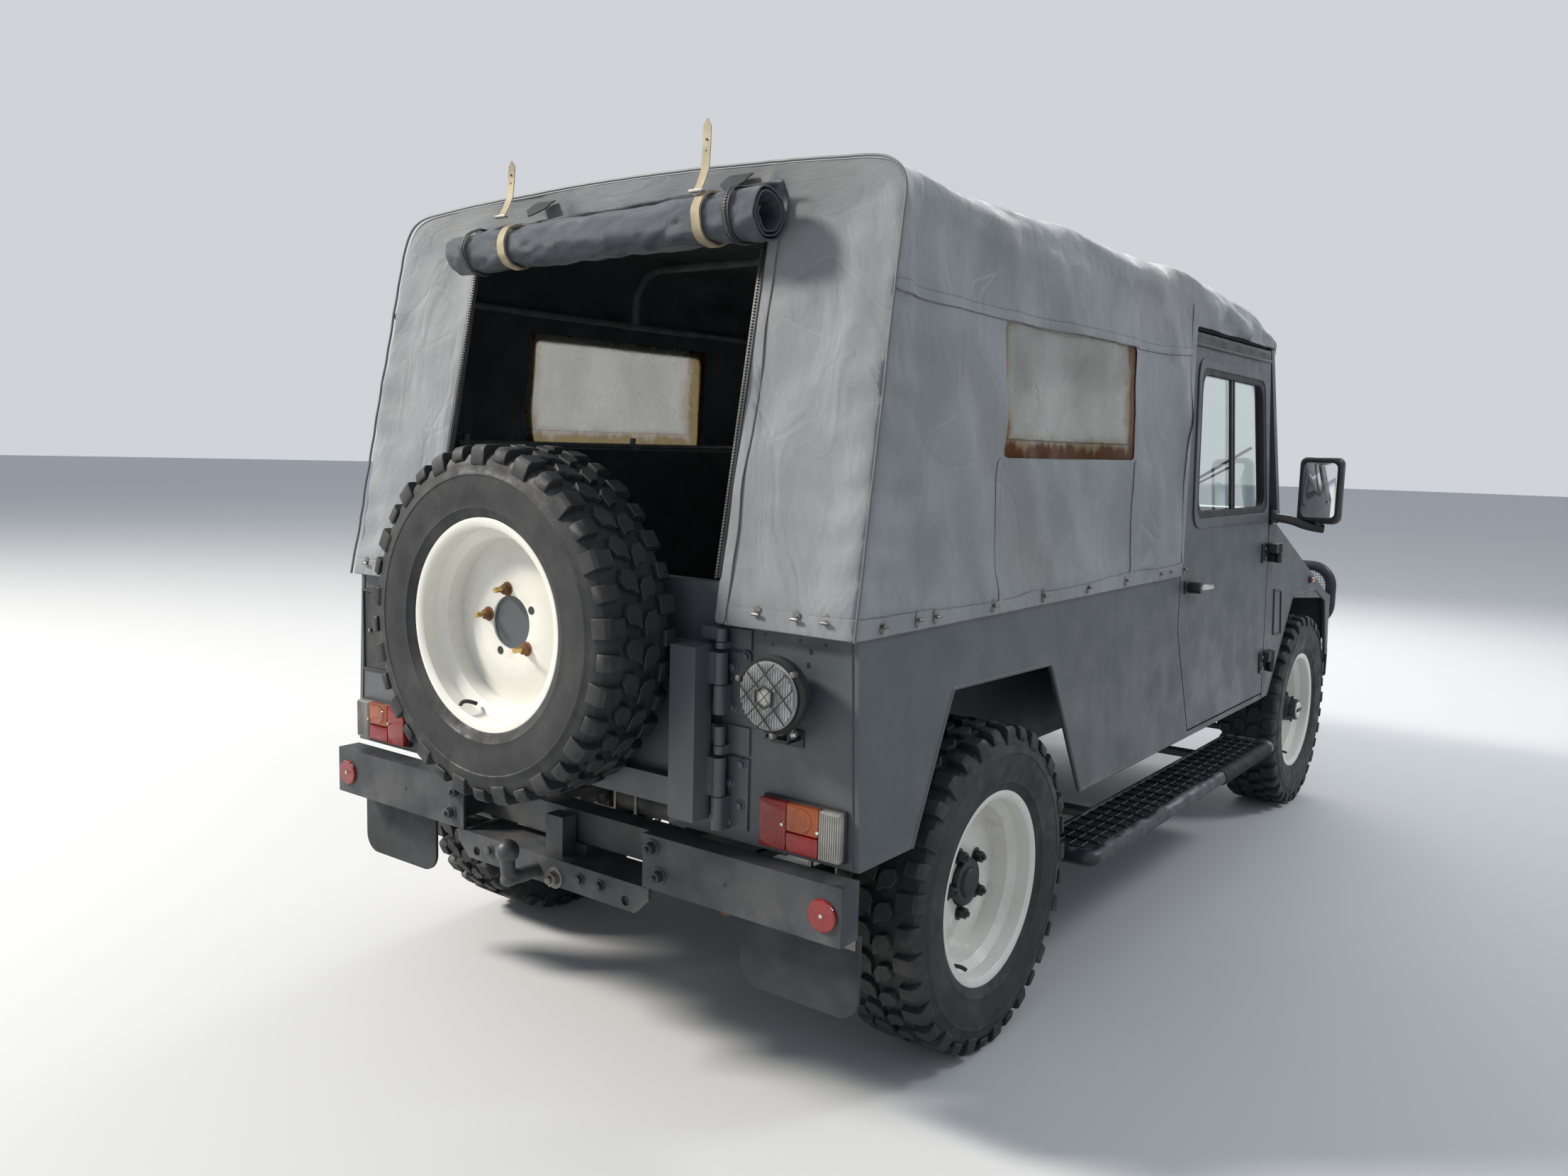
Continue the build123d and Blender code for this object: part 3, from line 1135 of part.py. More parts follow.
FLAP_WIDTH = 282.0
FLAP_OUTER = HALF_WIDTH - 6
with BuildPart() as mud_flaps:
    for side in (-1, 1):
        block((-556, -548), pair(side, FLAP_OUTER - FLAP_WIDTH, FLAP_OUTER), (262, BUMPER_Z[0]))
    fillet(mud_flaps.edges().filter_by(Axis.X).group_by(Axis.Z)[0], 45)
mud_flaps.part.label = "mud_flaps"
export_step(mud_flaps.part, "parts/mud_flaps.step")

# Tail lamps, round reflectors and the work lamp
TAIL_LAMP = ((100 - HINGE_Y, HALF_WIDTH - 32), (574.0, 669.0), 28.0)
LENS_EDGES = (TAIL_LAMP[0][0] + 64, TAIL_LAMP[0][1] - 47)
REFLECTOR = (HALF_WIDTH - 40, 488.0, 31.0)
WORK_LAMP = (158 - HALF_WIDTH, 881.0, 72.0)
with BuildPart() as rear_lamps:
    for side in (-1, 1):
        reach = pair(side, *TAIL_LAMP[0])
        block((TAIL_X - TAIL_LAMP[2] + 3, TAIL_X), reach, TAIL_LAMP[1])
        for inner, outer in (
            (TAIL_LAMP[0][0], LENS_EDGES[0]),
            (LENS_EDGES[0] + 2, LENS_EDGES[1] - 2),
            (LENS_EDGES[1], TAIL_LAMP[0][1]),
        ):
            block((TAIL_X - TAIL_LAMP[2], TAIL_X - 10), pair(side, inner, outer), TAIL_LAMP[1])
        rod(
            (BUMPER_X, side * REFLECTOR[0], REFLECTOR[1]),
            (BUMPER_X - 7, side * REFLECTOR[0], REFLECTOR[1]),
            REFLECTOR[2],
        )
    rod((-628, WORK_LAMP[0], WORK_LAMP[1]), (-656, WORK_LAMP[0], WORK_LAMP[1]), WORK_LAMP[2])
    with Locations(
        Plane(origin=(REAR_AXLE_X - 628, WORK_LAMP[0], WORK_LAMP[1]), z_dir=(1, 0, 0)).location
    ):
        Cone(WORK_LAMP[2], 44, 40, align=(Align.CENTER, Align.CENTER, Align.MIN))
    block((-622, TAIL_X), (WORK_LAMP[0] - 18, WORK_LAMP[0] + 18), (792, 830))
rear_lamps.part.label = "rear_lamps"
export_step(rear_lamps.part, "parts/rear_lamps.step")

# Side steps: a bent tube round a tread plate, on two brackets from the frame each
STEP_ENDS = (440.0, WHEELBASE - 550)
STEP_BRACKETS = [800.0, WHEELBASE - 860]
STEP_INNER = STEP_Y - STEP_TREAD
with BuildPart() as side_steps:
    for side in (-1, 1):
        with BuildLine() as step_line:
            FilletPolyline(
                (REAR_AXLE_X + STEP_ENDS[0], side * STEP_INNER, STEP_Z),
                (REAR_AXLE_X + STEP_ENDS[0], side * STEP_Y, STEP_Z),
                (REAR_AXLE_X + STEP_ENDS[1], side * STEP_Y, STEP_Z),
                (REAR_AXLE_X + STEP_ENDS[1], side * STEP_INNER, STEP_Z),
                radius=60,
            )
        with BuildSketch(Plane(origin=step_line.line @ 0, z_dir=step_line.line % 0)):
            Circle(STEP_TUBE)
        sweep(path=step_line.line)
        block((STEP_ENDS[0], STEP_ENDS[1]), pair(side, STEP_INNER, STEP_Y), (STEP_Z - 4, STEP_Z + 10))
        for place in STEP_BRACKETS:
            block((place, place + 50), pair(side, RAIL_INNER, STEP_INNER + 20), (STEP_Z - 14, STEP_Z + 6))
            block((place, place + 50), pair(side, RAIL_INNER + 4, RAIL_OUTER - 4), (STEP_Z, RAIL_BOTTOM))
side_steps.part.label = "side_steps"
export_step(side_steps.part, "parts/side_steps.step")

# Front bumper channel and bull bar
HOOP_BAR_X = WHEELBASE + BAR_REACH - BAR_TUBE
BAR_HALF = HALF_WIDTH - 55
BUMPER_HALF = HALF_WIDTH - 30
BAR_Z = (640.0, 885.0)
with BuildPart() as bull_bar:
    block((FRONT_BUMPER_X - FRONT_BUMPER_DEPTH, FRONT_BUMPER_X), (-BUMPER_HALF, BUMPER_HALF), BUMPER_Z)
    block(
        (FRONT_BUMPER_X - FRONT_BUMPER_DEPTH - 1, FRONT_BUMPER_X - PLATE),
        (-BUMPER_HALF - 1, BUMPER_HALF + 1),
        (BUMPER_Z[0] + PLATE, BUMPER_Z[1] - PLATE),
        Mode.SUBTRACT,
    )
    with BuildLine() as bar_line:
        FilletPolyline(
            (REAR_AXLE_X + HOOP_BAR_X, 0, BAR_Z[0]),
            (REAR_AXLE_X + HOOP_BAR_X, BAR_HALF, BAR_Z[0]),
            (REAR_AXLE_X + HOOP_BAR_X, BAR_HALF, BAR_Z[1]),
            (REAR_AXLE_X + HOOP_BAR_X, 0, BAR_Z[1]),
            radius=85,
        )
    with BuildSketch(Plane(origin=bar_line.line @ 0, z_dir=bar_line.line % 0)):
        Circle(BAR_TUBE)
    sweep(path=bar_line.line)
    mirror(about=Plane.XZ)
    for side in (-1, 1):
        rod((HOOP_BAR_X, side * 330, BAR_Z[0]), (HOOP_BAR_X, side * 330, BAR_Z[1]), BAR_TUBE - 4)
        web = sorted((side * 322, side * 338))
        block((FRONT_BUMPER_X, HOOP_BAR_X), web, (BUMPER_Z[0] + 10, BAR_Z[0] + 40))
bull_bar.part.label = "bull_bar"
export_step(bull_bar.part, "parts/bull_bar.step")
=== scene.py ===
import math
import random

import bmesh
import bpy
from mathutils import Matrix, Vector, noise


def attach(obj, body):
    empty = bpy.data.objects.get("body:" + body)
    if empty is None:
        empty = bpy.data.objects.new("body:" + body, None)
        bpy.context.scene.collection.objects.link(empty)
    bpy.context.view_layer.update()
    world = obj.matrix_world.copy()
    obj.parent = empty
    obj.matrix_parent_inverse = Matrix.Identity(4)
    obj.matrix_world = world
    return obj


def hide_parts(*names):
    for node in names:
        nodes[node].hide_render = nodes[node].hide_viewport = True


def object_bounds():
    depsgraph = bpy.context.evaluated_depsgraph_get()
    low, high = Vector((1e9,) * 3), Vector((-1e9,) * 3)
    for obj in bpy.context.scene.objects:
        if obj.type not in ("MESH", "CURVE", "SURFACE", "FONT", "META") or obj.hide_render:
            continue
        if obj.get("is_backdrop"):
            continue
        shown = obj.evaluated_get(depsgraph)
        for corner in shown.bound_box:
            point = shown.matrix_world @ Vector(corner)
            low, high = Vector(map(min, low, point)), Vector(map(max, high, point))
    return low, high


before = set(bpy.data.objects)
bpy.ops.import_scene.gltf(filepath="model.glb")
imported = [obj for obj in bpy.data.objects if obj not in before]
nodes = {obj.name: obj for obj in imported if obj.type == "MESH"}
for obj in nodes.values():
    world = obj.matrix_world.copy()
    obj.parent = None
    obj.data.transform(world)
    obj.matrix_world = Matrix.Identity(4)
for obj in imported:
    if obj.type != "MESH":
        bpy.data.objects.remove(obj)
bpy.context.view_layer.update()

# Places are given as distances ahead of the rear axle, across to the left, and above the ground.
REAR_AXLE = -1.180
WHEELBASE = 2.560
AXLE_Z = 0.3675
BODY_HALF = 0.770
SILL_Z = 0.500
SIDE_LEAN = math.tan(math.radians(2.4))
BODY = "body"
FORWARD, BACK = (1, 0, 0), (-1, 0, 0)


def at(ahead, across, height):
    """A point in the car's frame."""
    return vec(REAR_AXLE + ahead, across, height)


def vec(x, y, z):
    return Vector((x, y, z))


def sided(side):
    """Turns (ahead, across, height) into a point on one side of the car, +1 for left and -1 for right."""
    return lambda ahead, across, height: at(ahead, side * across, height)


SIDES = [(side, sided(side)) for side in (-1, 1)]


def added(name, data):
    """A new object, linked into the scene."""
    made = bpy.data.objects.new(name, data)
    bpy.context.collection.objects.link(made)
    return made


def half_width(height):
    """Half the body's width at a height."""
    return BODY_HALF - (height - SILL_Z) * SIDE_LEAN


# Camera, at the photograph's place and angle
CAMERA_AT = (-3.591, -1.942, 1.337)
CAMERA_YAW, CAMERA_PITCH, CAMERA_ROLL = 0.638, -0.116, 0.027


def place_camera():
    data = bpy.data.cameras.new("camera")
    data.lens = 28.18
    data.sensor_width = 36
    data.clip_end = 200
    camera = added("camera", data)
    level = math.cos(CAMERA_PITCH)
    ahead = vec(math.cos(CAMERA_YAW) * level, math.sin(CAMERA_YAW) * level, math.sin(CAMERA_PITCH))
    right = vec(math.sin(CAMERA_YAW), -math.cos(CAMERA_YAW), 0)
    up = right.cross(ahead)
    turned = right * math.cos(CAMERA_ROLL) + up * math.sin(CAMERA_ROLL)
    risen = up * math.cos(CAMERA_ROLL) - right * math.sin(CAMERA_ROLL)
    camera.matrix_world = Matrix.Translation(CAMERA_AT) @ Matrix((turned, risen, -ahead)).transposed().to_4x4()
    bpy.context.scene.camera = camera


place_camera()


class Finish:
    """A material in the making: its shader, and short names for the nodes that shade it."""

    def __init__(self, name, colour, roughness, uv=None, **sockets):
        self.material = bpy.data.materials.new(name)
        self.material.use_nodes = True
        self.tree = self.material.node_tree
        self.shader = self.tree.nodes["Principled BSDF"]
        self.shade(Base_Color=colour, Roughness=roughness, **sockets)
        if uv:
            self.place = self.node("ShaderNodeUVMap", uv_map=uv).outputs[0]
        else:
            self.place = self.node("ShaderNodeTexCoord").outputs["Object"]
        self.height = None

    def feed(self, socket, value):
        """Links a node's output to a socket, or sets a plain number or colour on it."""
        if isinstance(value, bpy.types.NodeSocket):
            self.tree.links.new(value, socket)
        elif isinstance(value, tuple) and len(value) == 3 and socket.type == "RGBA":
            socket.default_value = (*value, 1)
        else:
            socket.default_value = value

    def shade(self, **sockets):
        """Feeds the shader's own sockets."""
        for socket, value in sockets.items():
            self.feed(self.shader.inputs[socket.replace("_", " ")], value)

    def node(self, kind, inputs=None, **settings):
        """A new node, with its settings made and its inputs fed."""
        made = self.tree.nodes.new(kind)
        for name, value in settings.items():
            setattr(made, name, value)
        for socket, value in (inputs or {}).items():
            self.feed(made.inputs[socket], value)
        return made

    def stretched(self, scale, turn=(0, 0, 0)):
        """The piece's own coordinates, scaled by axis and turned."""
        return self.node("ShaderNodeMapping", {"Vector": self.place, "Rotation": turn, "Scale": scale}).outputs[0]

    def noise(self, scale, detail=4.0, roughness=0.55, stretch=None, warp=0.0):
        place = self.stretched(stretch) if stretch else self.place
        return self.node("ShaderNodeTexNoise", {"Vector": place, "Scale": scale, "Detail": detail,
                                                "Roughness": roughness, "Distortion": warp}).outputs["Fac"]

    def creases(self, scale, stretch, turn):
        """Thin ridge lines where folds have cracked, from the edges of stretched cells."""
        wobble = self.node("ShaderNodeTexNoise", {"Vector": self.place, "Scale": 2.2}).outputs["Color"]
        shifted = self.node("ShaderNodeVectorMath", {0: self.stretched(stretch, turn), 1: wobble}, operation="ADD")
        return self.node("ShaderNodeTexVoronoi", {"Vector": shifted.outputs[0], "Scale": scale},
                         feature="DISTANCE_TO_EDGE").outputs["Distance"]

    def wave(self, scale, direction):
        return self.node("ShaderNodeTexWave", {"Vector": self.place, "Scale": scale},
                         bands_direction=direction).outputs["Fac"]

    def coordinate(self, axis):
        return self.node("ShaderNodeSeparateXYZ", {0: self.place}).outputs["XYZ".index(axis)]

    def spread(self, value, low, high, to_low=0.0, to_high=1.0):
        """Stretches the part of a value between low and high over a new range, and clips the rest."""
        limits = {"Value": value, "From Min": low, "From Max": high, "To Min": to_low, "To Max": to_high}
        return self.node("ShaderNodeMapRange", limits, interpolation_type="SMOOTHSTEP").outputs["Result"]

    def spots(self, scale, detail, low, high, to_low=0.0, to_high=1.0, **more):
        """Noise whose part between low and high is stretched over a new range."""
        return self.spread(self.noise(scale, detail, **more), low, high, to_low, to_high)

    def math(self, operation, first, second):
        return self.node("ShaderNodeMath", {0: first, 1: second}, operation=operation).outputs[0]

    def mix(self, share, first, second):
        return self.node("ShaderNodeMix", {"Factor": share, 6: first, 7: second}, data_type="RGBA").outputs[2]

    def colour(self, value):
        self.shade(Base_Color=value)

    def rough(self, value):
        self.shade(Roughness=value)

    def bump(self, value, depth):
        """Raises the surface by a pattern, on top of any bump before it."""
        below = {"Normal": self.height} if self.height else {}
        self.height = self.node("ShaderNodeBump", {"Distance": depth, "Height": value, **below}).outputs["Normal"]
        self.shade(Normal=self.height)


# Finishes
DUST = (0.30, 0.285, 0.26)


def dusted(finish, paint, low, high, most, scale=6.0):
    """Paint with road dust that thickens towards the ground."""
    reach = finish.spread(finish.coordinate("Z"), low, high, most, 0.0)
    share = finish.math("MULTIPLY", reach, finish.spots(scale, 6, 0.3, 0.75))
    return finish.mix(share, paint, DUST), share


def grey_paint():
    """Satin army grey, rolled on, with streaks, faint scratches and dust low down."""
    paint = Finish("grey_paint", (0.070, 0.083, 0.095), 0.42)
    base = paint.mix(paint.spots(1.6, 5, 0.35, 0.7), (0.064, 0.075, 0.083), (0.079, 0.090, 0.098))
    streaks = paint.spots(9.0, 5, 0.56, 0.78, 0.0, 0.08, stretch=(1, 1, 0.12))
    base = paint.mix(streaks, base, (0.110, 0.118, 0.122))
    base, share = dusted(paint, base, 0.45, 0.95, 0.22)
    paint.colour(base)
    worn = paint.spots(11.0, 6, 0.3, 0.7, 0.34, 0.52)
    paint.rough(paint.math("ADD", worn, paint.math("MULTIPLY", share, 0.3)))
    paint.bump(paint.noise(260.0, 2), 0.00025)
    paint.bump(paint.noise(7.0, 2), 0.002)
    return paint.material


def black_paint(name, colour, roughness, chips=0.0):
    """Chassis black, with dust and rust freckles."""
    paint = Finish(name, colour, roughness)
    base = paint.mix(paint.spots(5.0, 6, 0.4, 0.75), colour, tuple(c * 1.6 + 0.005 for c in colour))
    freckles = paint.spots(48.0, 4, 0.66, 0.74, 0.0, chips)
    base = paint.mix(freckles, base, (0.16, 0.065, 0.03))
    base, share = dusted(paint, base, 0.15, 0.75, 0.4, 9.0)
    paint.colour(base)
    paint.rough(paint.spots(14.0, 5, 0.3, 0.7, roughness - 0.1, roughness + 0.15))
    paint.bump(paint.noise(180.0, 3), 0.0004)
    return paint.material


def scuffed_black():
    """Black tube paint, rubbed to bright metal in long patches on top."""
    paint = Finish("scuffed_black", (0.020, 0.023, 0.028), 0.4)
    upward = paint.node("ShaderNodeNewGeometry").outputs["Normal"]
    top = paint.spread(paint.node("ShaderNodeSeparateXYZ", {0: upward}).outputs[2], 0.55, 0.95)
    patches = paint.spots(16.0, 6, 0.42, 0.62, roughness=0.65, stretch=(0.35, 1, 1))
    bare = paint.math("MULTIPLY", top, patches)
    paint.colour(paint.mix(bare, (0.020, 0.023, 0.028), (0.36, 0.37, 0.38)))
    paint.shade(Metallic=paint.math("MULTIPLY", bare, 0.7))
    paint.rough(paint.spots(30.0, 4, 0.3, 0.7, 0.30, 0.50))
    paint.bump(paint.noise(120.0, 3), 0.0004)
    return paint.material


def wheel_cream():
    """Cream white enamel, thick and glossy, with grime where water stands."""
    enamel = Finish("wheel_cream", (0.74, 0.72, 0.65), 0.3, Coat_Weight=0.35, Coat_Roughness=0.15)
    grime = enamel.spots(14.0, 7, 0.58, 0.78, 0.0, 0.4, warp=0.6)
    base = enamel.mix(enamel.spots(4.0, 3, 0.3, 0.7), (0.76, 0.745, 0.685), (0.69, 0.67, 0.60))
    enamel.colour(enamel.mix(grime, base, (0.40, 0.33, 0.24)))
    enamel.rough(enamel.spots(20.0, 4, 0.3, 0.7, 0.24, 0.42))
    enamel.bump(enamel.noise(30.0, 3), 0.0006)
    return enamel.material


def tyre_rubber():
    rubber = Finish("tyre_rubber", (0.016, 0.017, 0.019), 0.62)
    dust = rubber.spots(9.0, 7, 0.42, 0.8, 0.0, 0.5)
    fine = rubber.spots(120.0, 4, 0.3, 0.8, 0.6, 1.0)
    rubber.colour(rubber.mix(rubber.math("MULTIPLY", dust, fine), (0.014, 0.015, 0.017), (0.085, 0.083, 0.080)))
    rubber.rough(rubber.spots(25.0, 5, 0.3, 0.7, 0.5, 0.78))
    rubber.bump(rubber.noise(220.0, 3), 0.0004)
    return rubber.material


def plain(name, colour, roughness, grain=150.0, depth=0.0003, vary=0.25, **sockets):
    """A moulded or painted finish with a little grain and some lighter and darker spots."""
    made = Finish(name, colour, roughness, **sockets)
    lighter = tuple(min(1.0, c * (1 + vary) + 0.004) for c in colour)
    darker = tuple(c * (1 - vary) for c in colour)
    made.colour(made.mix(made.spots(12.0, 5, 0.3, 0.7), darker, lighter))
    made.rough(made.spots(20.0, 4, 0.3, 0.7, max(0.02, roughness - 0.07), roughness + 0.09))
    made.bump(made.noise(grain, 3), depth)
    return made.material


def hood_cloth(name, colour, roughness):
    """Coated canvas, read along the cloth: u runs forward and v runs up, in metres."""
    cloth = Finish(name, colour, roughness, uv="cloth", Sheen_Weight=0.12, Sheen_Roughness=0.5)
    lighter = tuple(c * 1.3 + 0.01 for c in colour)
    sun = (colour[0] * 1.28, colour[1] * 1.16, colour[2] * 1.0)
    base = cloth.mix(cloth.spots(3.0, 6, 0.35, 0.7, warp=0.5), colour, lighter)
    base = cloth.mix(cloth.spots(1.3, 4, 0.45, 0.75, 0.0, 0.75), base, sun)
    dirt = cloth.spots(6.0, 7, 0.58, 0.82, 0.0, 0.45, stretch=(1.0, 0.25, 1.0))
    base = cloth.mix(dirt, base, tuple(c * 0.55 for c in colour))
    cracks = cloth.creases(2.6, (1.0, 0.55, 1.0), (0, 0, 0.35))
    scuffs = cloth.math("MULTIPLY", cloth.spread(cracks, 0.0, 0.012, 1.0, 0.0),
                        cloth.spots(4.0, 3, 0.5, 0.7, 0.0, 0.45))
    base = cloth.mix(scuffs, base, tuple(min(1.0, c * 1.7 + 0.03) for c in colour))
    cloth.colour(base)
    cloth.rough(cloth.spots(9.0, 5, 0.3, 0.7, roughness - 0.08, roughness + 0.12))
    cloth.bump(cloth.spread(cracks, 0.0, 0.06), 0.0012)
    cloth.bump(cloth.noise(7.0, 3, stretch=(1.0, 0.45, 1.0), warp=1.2), 0.014)
    cloth.bump(cloth.noise(26.0, 3, warp=0.8), 0.003)
    threads = cloth.math("ADD", cloth.wave(320.0, "X"), cloth.wave(320.0, "Y"))
    cloth.bump(threads, 0.0002)
    return cloth.material


def window_vinyl():
    """Clear sheet gone milky, with tan stains and rust along its seams and a sewn strip at its foot."""
    vinyl = Finish("window_vinyl", (0.50, 0.51, 0.47), 0.3, uv="cloth", Transmission_Weight=0.5, IOR=1.12,
                   Subsurface_Weight=0.4, Subsurface_Scale=0.02, Subsurface_Radius=(1.0, 1.0, 1.0))
    along, up = vinyl.coordinate("X"), vinyl.coordinate("Y")
    foot = vinyl.spread(up, 1.335, 1.425, 1.0, 0.0)
    head = vinyl.spread(up, 1.585, 1.622, 0.0, 0.45)
    front = vinyl.spread(along, 0.560, 0.704, 0.0, 1.0)
    rear = vinyl.spread(along, -0.012, 0.045, 0.70, 0.0)
    edge = vinyl.math("MAXIMUM", vinyl.math("MAXIMUM", foot, head), vinyl.math("MAXIMUM", front, rear))
    blotch = vinyl.noise(11.0, 8, 0.68, warp=0.9)
    runs = vinyl.noise(16.0, 6, 0.6, stretch=(1.6, 0.35, 1))
    ground = vinyl.math("MULTIPLY", edge, 0.54)
    tan = vinyl.spread(vinyl.math("ADD", ground, vinyl.math("MULTIPLY", blotch, 0.62)), 0.46, 0.82)
    rust = vinyl.spread(vinyl.math("ADD", ground, vinyl.math("MULTIPLY", runs, 0.62)), 0.66, 0.80)
    milk = vinyl.mix(vinyl.spots(5.0, 6, 0.35, 0.7, stretch=(1, 0.3, 1)), (0.46, 0.46, 0.42), (0.66, 0.66, 0.62))
    sewn = vinyl.math("MULTIPLY", vinyl.spread(up, 1.3705, 1.3720), vinyl.spread(up, 1.3740, 1.3755, 1.0, 0.0))
    shade = vinyl.mix(rust, vinyl.mix(tan, milk, (0.36, 0.27, 0.15)), (0.15, 0.055, 0.022))
    vinyl.colour(vinyl.mix(vinyl.math("MULTIPLY", sewn, 0.8), shade, (0.12, 0.07, 0.04)))
    vinyl.rough(vinyl.spots(12.0, 5, 0.3, 0.7, 0.18, 0.4))
    vinyl.bump(vinyl.noise(5.0, 2, warp=0.4), 0.004)
    return vinyl.material


def clear_glass():
    glass = Finish("clear_glass", (0.90, 0.95, 0.94), 0.02, Transmission_Weight=1.0, IOR=1.45)
    glass.rough(glass.spots(3.0, 5, 0.4, 0.8, 0.01, 0.06))
    return glass.material


def lens(name, colour, ribs):
    """Lamp plastic, ribbed inside."""
    made = Finish(name, colour, 0.12, Transmission_Weight=0.35, IOR=1.49, Coat_Weight=0.6)
    made.colour(made.mix(made.spots(20.0, 4, 0.3, 0.7), colour, tuple(c * 0.7 for c in colour)))
    made.bump(made.wave(ribs, "Y"), 0.0012)
    return made.material


PAINT = grey_paint()
BLACK = black_paint("chassis_black", (0.018, 0.020, 0.024), 0.5, 0.5)
BUMPER_BLACK = black_paint("bumper_black", (0.016, 0.020, 0.026), 0.45, 0.10)
CREAM = wheel_cream()
RUBBER = tyre_rubber()
CANVAS = hood_cloth("hood_canvas", (0.205, 0.219, 0.230), 0.40)
LINING = hood_cloth("hood_lining", (0.046, 0.052, 0.060), 0.45)
PIPING = hood_cloth("hood_piping", (0.105, 0.113, 0.120), 0.5)
ROLL = hood_cloth("curtain_cloth", (0.046, 0.056, 0.070), 0.12)
VINYL = window_vinyl()
GLASS = clear_glass()
TRIM = plain("black_trim", (0.014, 0.015, 0.016), 0.45, 90.0, 0.0003)
SOFT_BLACK = plain("black_rubber", (0.022, 0.024, 0.027), 0.68, 120.0, 0.0004)
STEEL = plain("bright_steel", (0.55, 0.55, 0.54), 0.28, 60.0, 0.0002, 0.15, Metallic=1.0)
DULL_STEEL = plain("dull_steel", (0.22, 0.21, 0.20), 0.48, 60.0, 0.0004, 0.3, Metallic=0.9)
RUST = plain("rusty_steel", (0.20, 0.095, 0.045), 0.8, 70.0, 0.0008, 0.4, Metallic=0.3)
CAST = plain("cast_metal", (0.10, 0.10, 0.10), 0.6, 80.0, 0.0008, 0.3, Metallic=0.6)
WORN = scuffed_black()
TREAD = plain("tread_black", (0.020, 0.022, 0.026), 0.42, 90.0, 0.0006, 0.5)
TUBE_GREY = plain("tube_grey", (0.17, 0.18, 0.185), 0.5, 120.0, 0.0003, 0.25)
STRAP = plain("beige_strap", (0.34, 0.285, 0.19), 0.75, 320.0, 0.0006, 0.3)
BRASS = plain("brass", (0.55, 0.38, 0.16), 0.4, 60.0, 0.0002, 0.2, Metallic=1.0)
WHITE = plain("blank_white", (0.74, 0.74, 0.72), 0.35, 60.0, 0.0001, 0.06)
SEAT = plain("seat_cloth", (0.022, 0.023, 0.025), 0.72, 300.0, 0.0008, 0.3, Sheen_Weight=0.2)
MIRROR = plain("mirror_glass", (0.85, 0.87, 0.88), 0.03, 40.0, 0.0, 0.02, Metallic=1.0)
LAMP_GLASS = lens("lamp_glass", (0.80, 0.82, 0.82), 260.0)
RED = lens("red_lens", (0.46, 0.010, 0.010), 110.0)
ORANGE = lens("orange_lens", (0.62, 0.12, 0.015), 110.0)
CLEAR = lens("clear_lens", (0.62, 0.60, 0.55), 130.0)

NODE_FINISH = {
    PAINT: ["floor_pan", "body_sides", "front_wings", "nose_panel", "bonnet", "windscreen_frame",
            "door_left", "door_right", "tailgate", "spare_carrier"],
    BLACK: ["chassis_frame", "front_axle", "rear_axle", "leaf_springs", "knuckle_left", "knuckle_right",
            "track_rod", "fuel_tank", "side_steps"],
    BUMPER_BLACK: ["rear_bumper", "tow_bar", "bull_bar"],
    CAST: ["powertrain"],
    RUST: ["exhaust"],
    TUBE_GREY: ["hood_frame"],
    GLASS: ["windscreen", "door_glass_left", "door_glass_right"],
    TRIM: ["dashboard", "mirrors", "grille"],
    SOFT_BLACK: ["mud_flaps"],
}
for finish, names in NODE_FINISH.items():
    for name in names:
        nodes[name].data.materials.clear()
        nodes[name].data.materials.append(finish)


# Shapes. Each returns a new mesh in the making.
def soften(shape, width, segments=2, angle=30):
    """Rounds the edges that are sharper than an angle in degrees."""
    sharp = [edge for edge in shape.edges if edge.is_manifold and edge.calc_face_angle(0) > math.radians(angle)]
    if width and sharp:
        bmesh.ops.bevel(shape, geom=sharp, offset=width, offset_type="OFFSET", segments=segments,
                        profile=0.5, affect="EDGES", material=-1, clamp_overlap=True)
    return shape


def block(low, high, bevel=0.003, segments=2):
    shape = bmesh.new()
    low, high = Vector(low), Vector(high)
    size = Vector([abs(step) for step in high - low])
    bmesh.ops.create_cube(shape, size=1)
    bmesh.ops.scale(shape, vec=size, verts=shape.verts)
    bmesh.ops.translate(shape, vec=(low + high) / 2, verts=shape.verts)
    return soften(shape, bevel, segments)


def turned(shape, centre, axis):
    """Turns a shape made along Z to point along an axis, and moves it to its centre."""
    turn = Vector(axis).to_track_quat("Z", "Y").to_matrix().to_4x4()
    bmesh.ops.transform(shape, matrix=Matrix.Translation(centre) @ turn, verts=shape.verts)
    return shape


def rod(start, end, radius, tip=None, segments=24, bevel=0.0015):
    start, end = Vector(start), Vector(end)
    shape = bmesh.new()
    bmesh.ops.create_cone(shape, cap_ends=True, segments=segments, radius1=radius,
                          radius2=radius if tip is None else tip, depth=(end - start).length)
    soften(shape, bevel, 2, 50)
    return turned(shape, (start + end) / 2, end - start)


def pour(shape, whole):
    """Moves a shape into another one."""
    part = bpy.data.meshes.new("part")
    shape.to_mesh(part)
    shape.free()
    whole.from_mesh(part)
    bpy.data.meshes.remove(part)


def wire(start, end, radius, segments=8):
    """A thin rod with sharp ends."""
    return rod(start, end, radius, segments=segments, bevel=0)


def joined(*shapes):
    """Several shapes as one."""
    whole = bmesh.new()
    for shape in shapes:
        pour(shape, whole)
    return whole


def bolt(centre, axis, across=0.019, head=0.008, washer=True):
    """A hexagon head standing on a surface along an axis."""
    centre, axis = Vector(centre), Vector(axis).normalized()
    parts = [rod(centre + axis * 0.001, centre + axis * (head + 0.002), across / 1.732, segments=6, bevel=0.001)]
    if washer:
        parts.append(rod(centre - axis * 0.001, centre + axis * 0.002, across * 0.8, segments=20, bevel=0.0005))
    return joined(*parts)


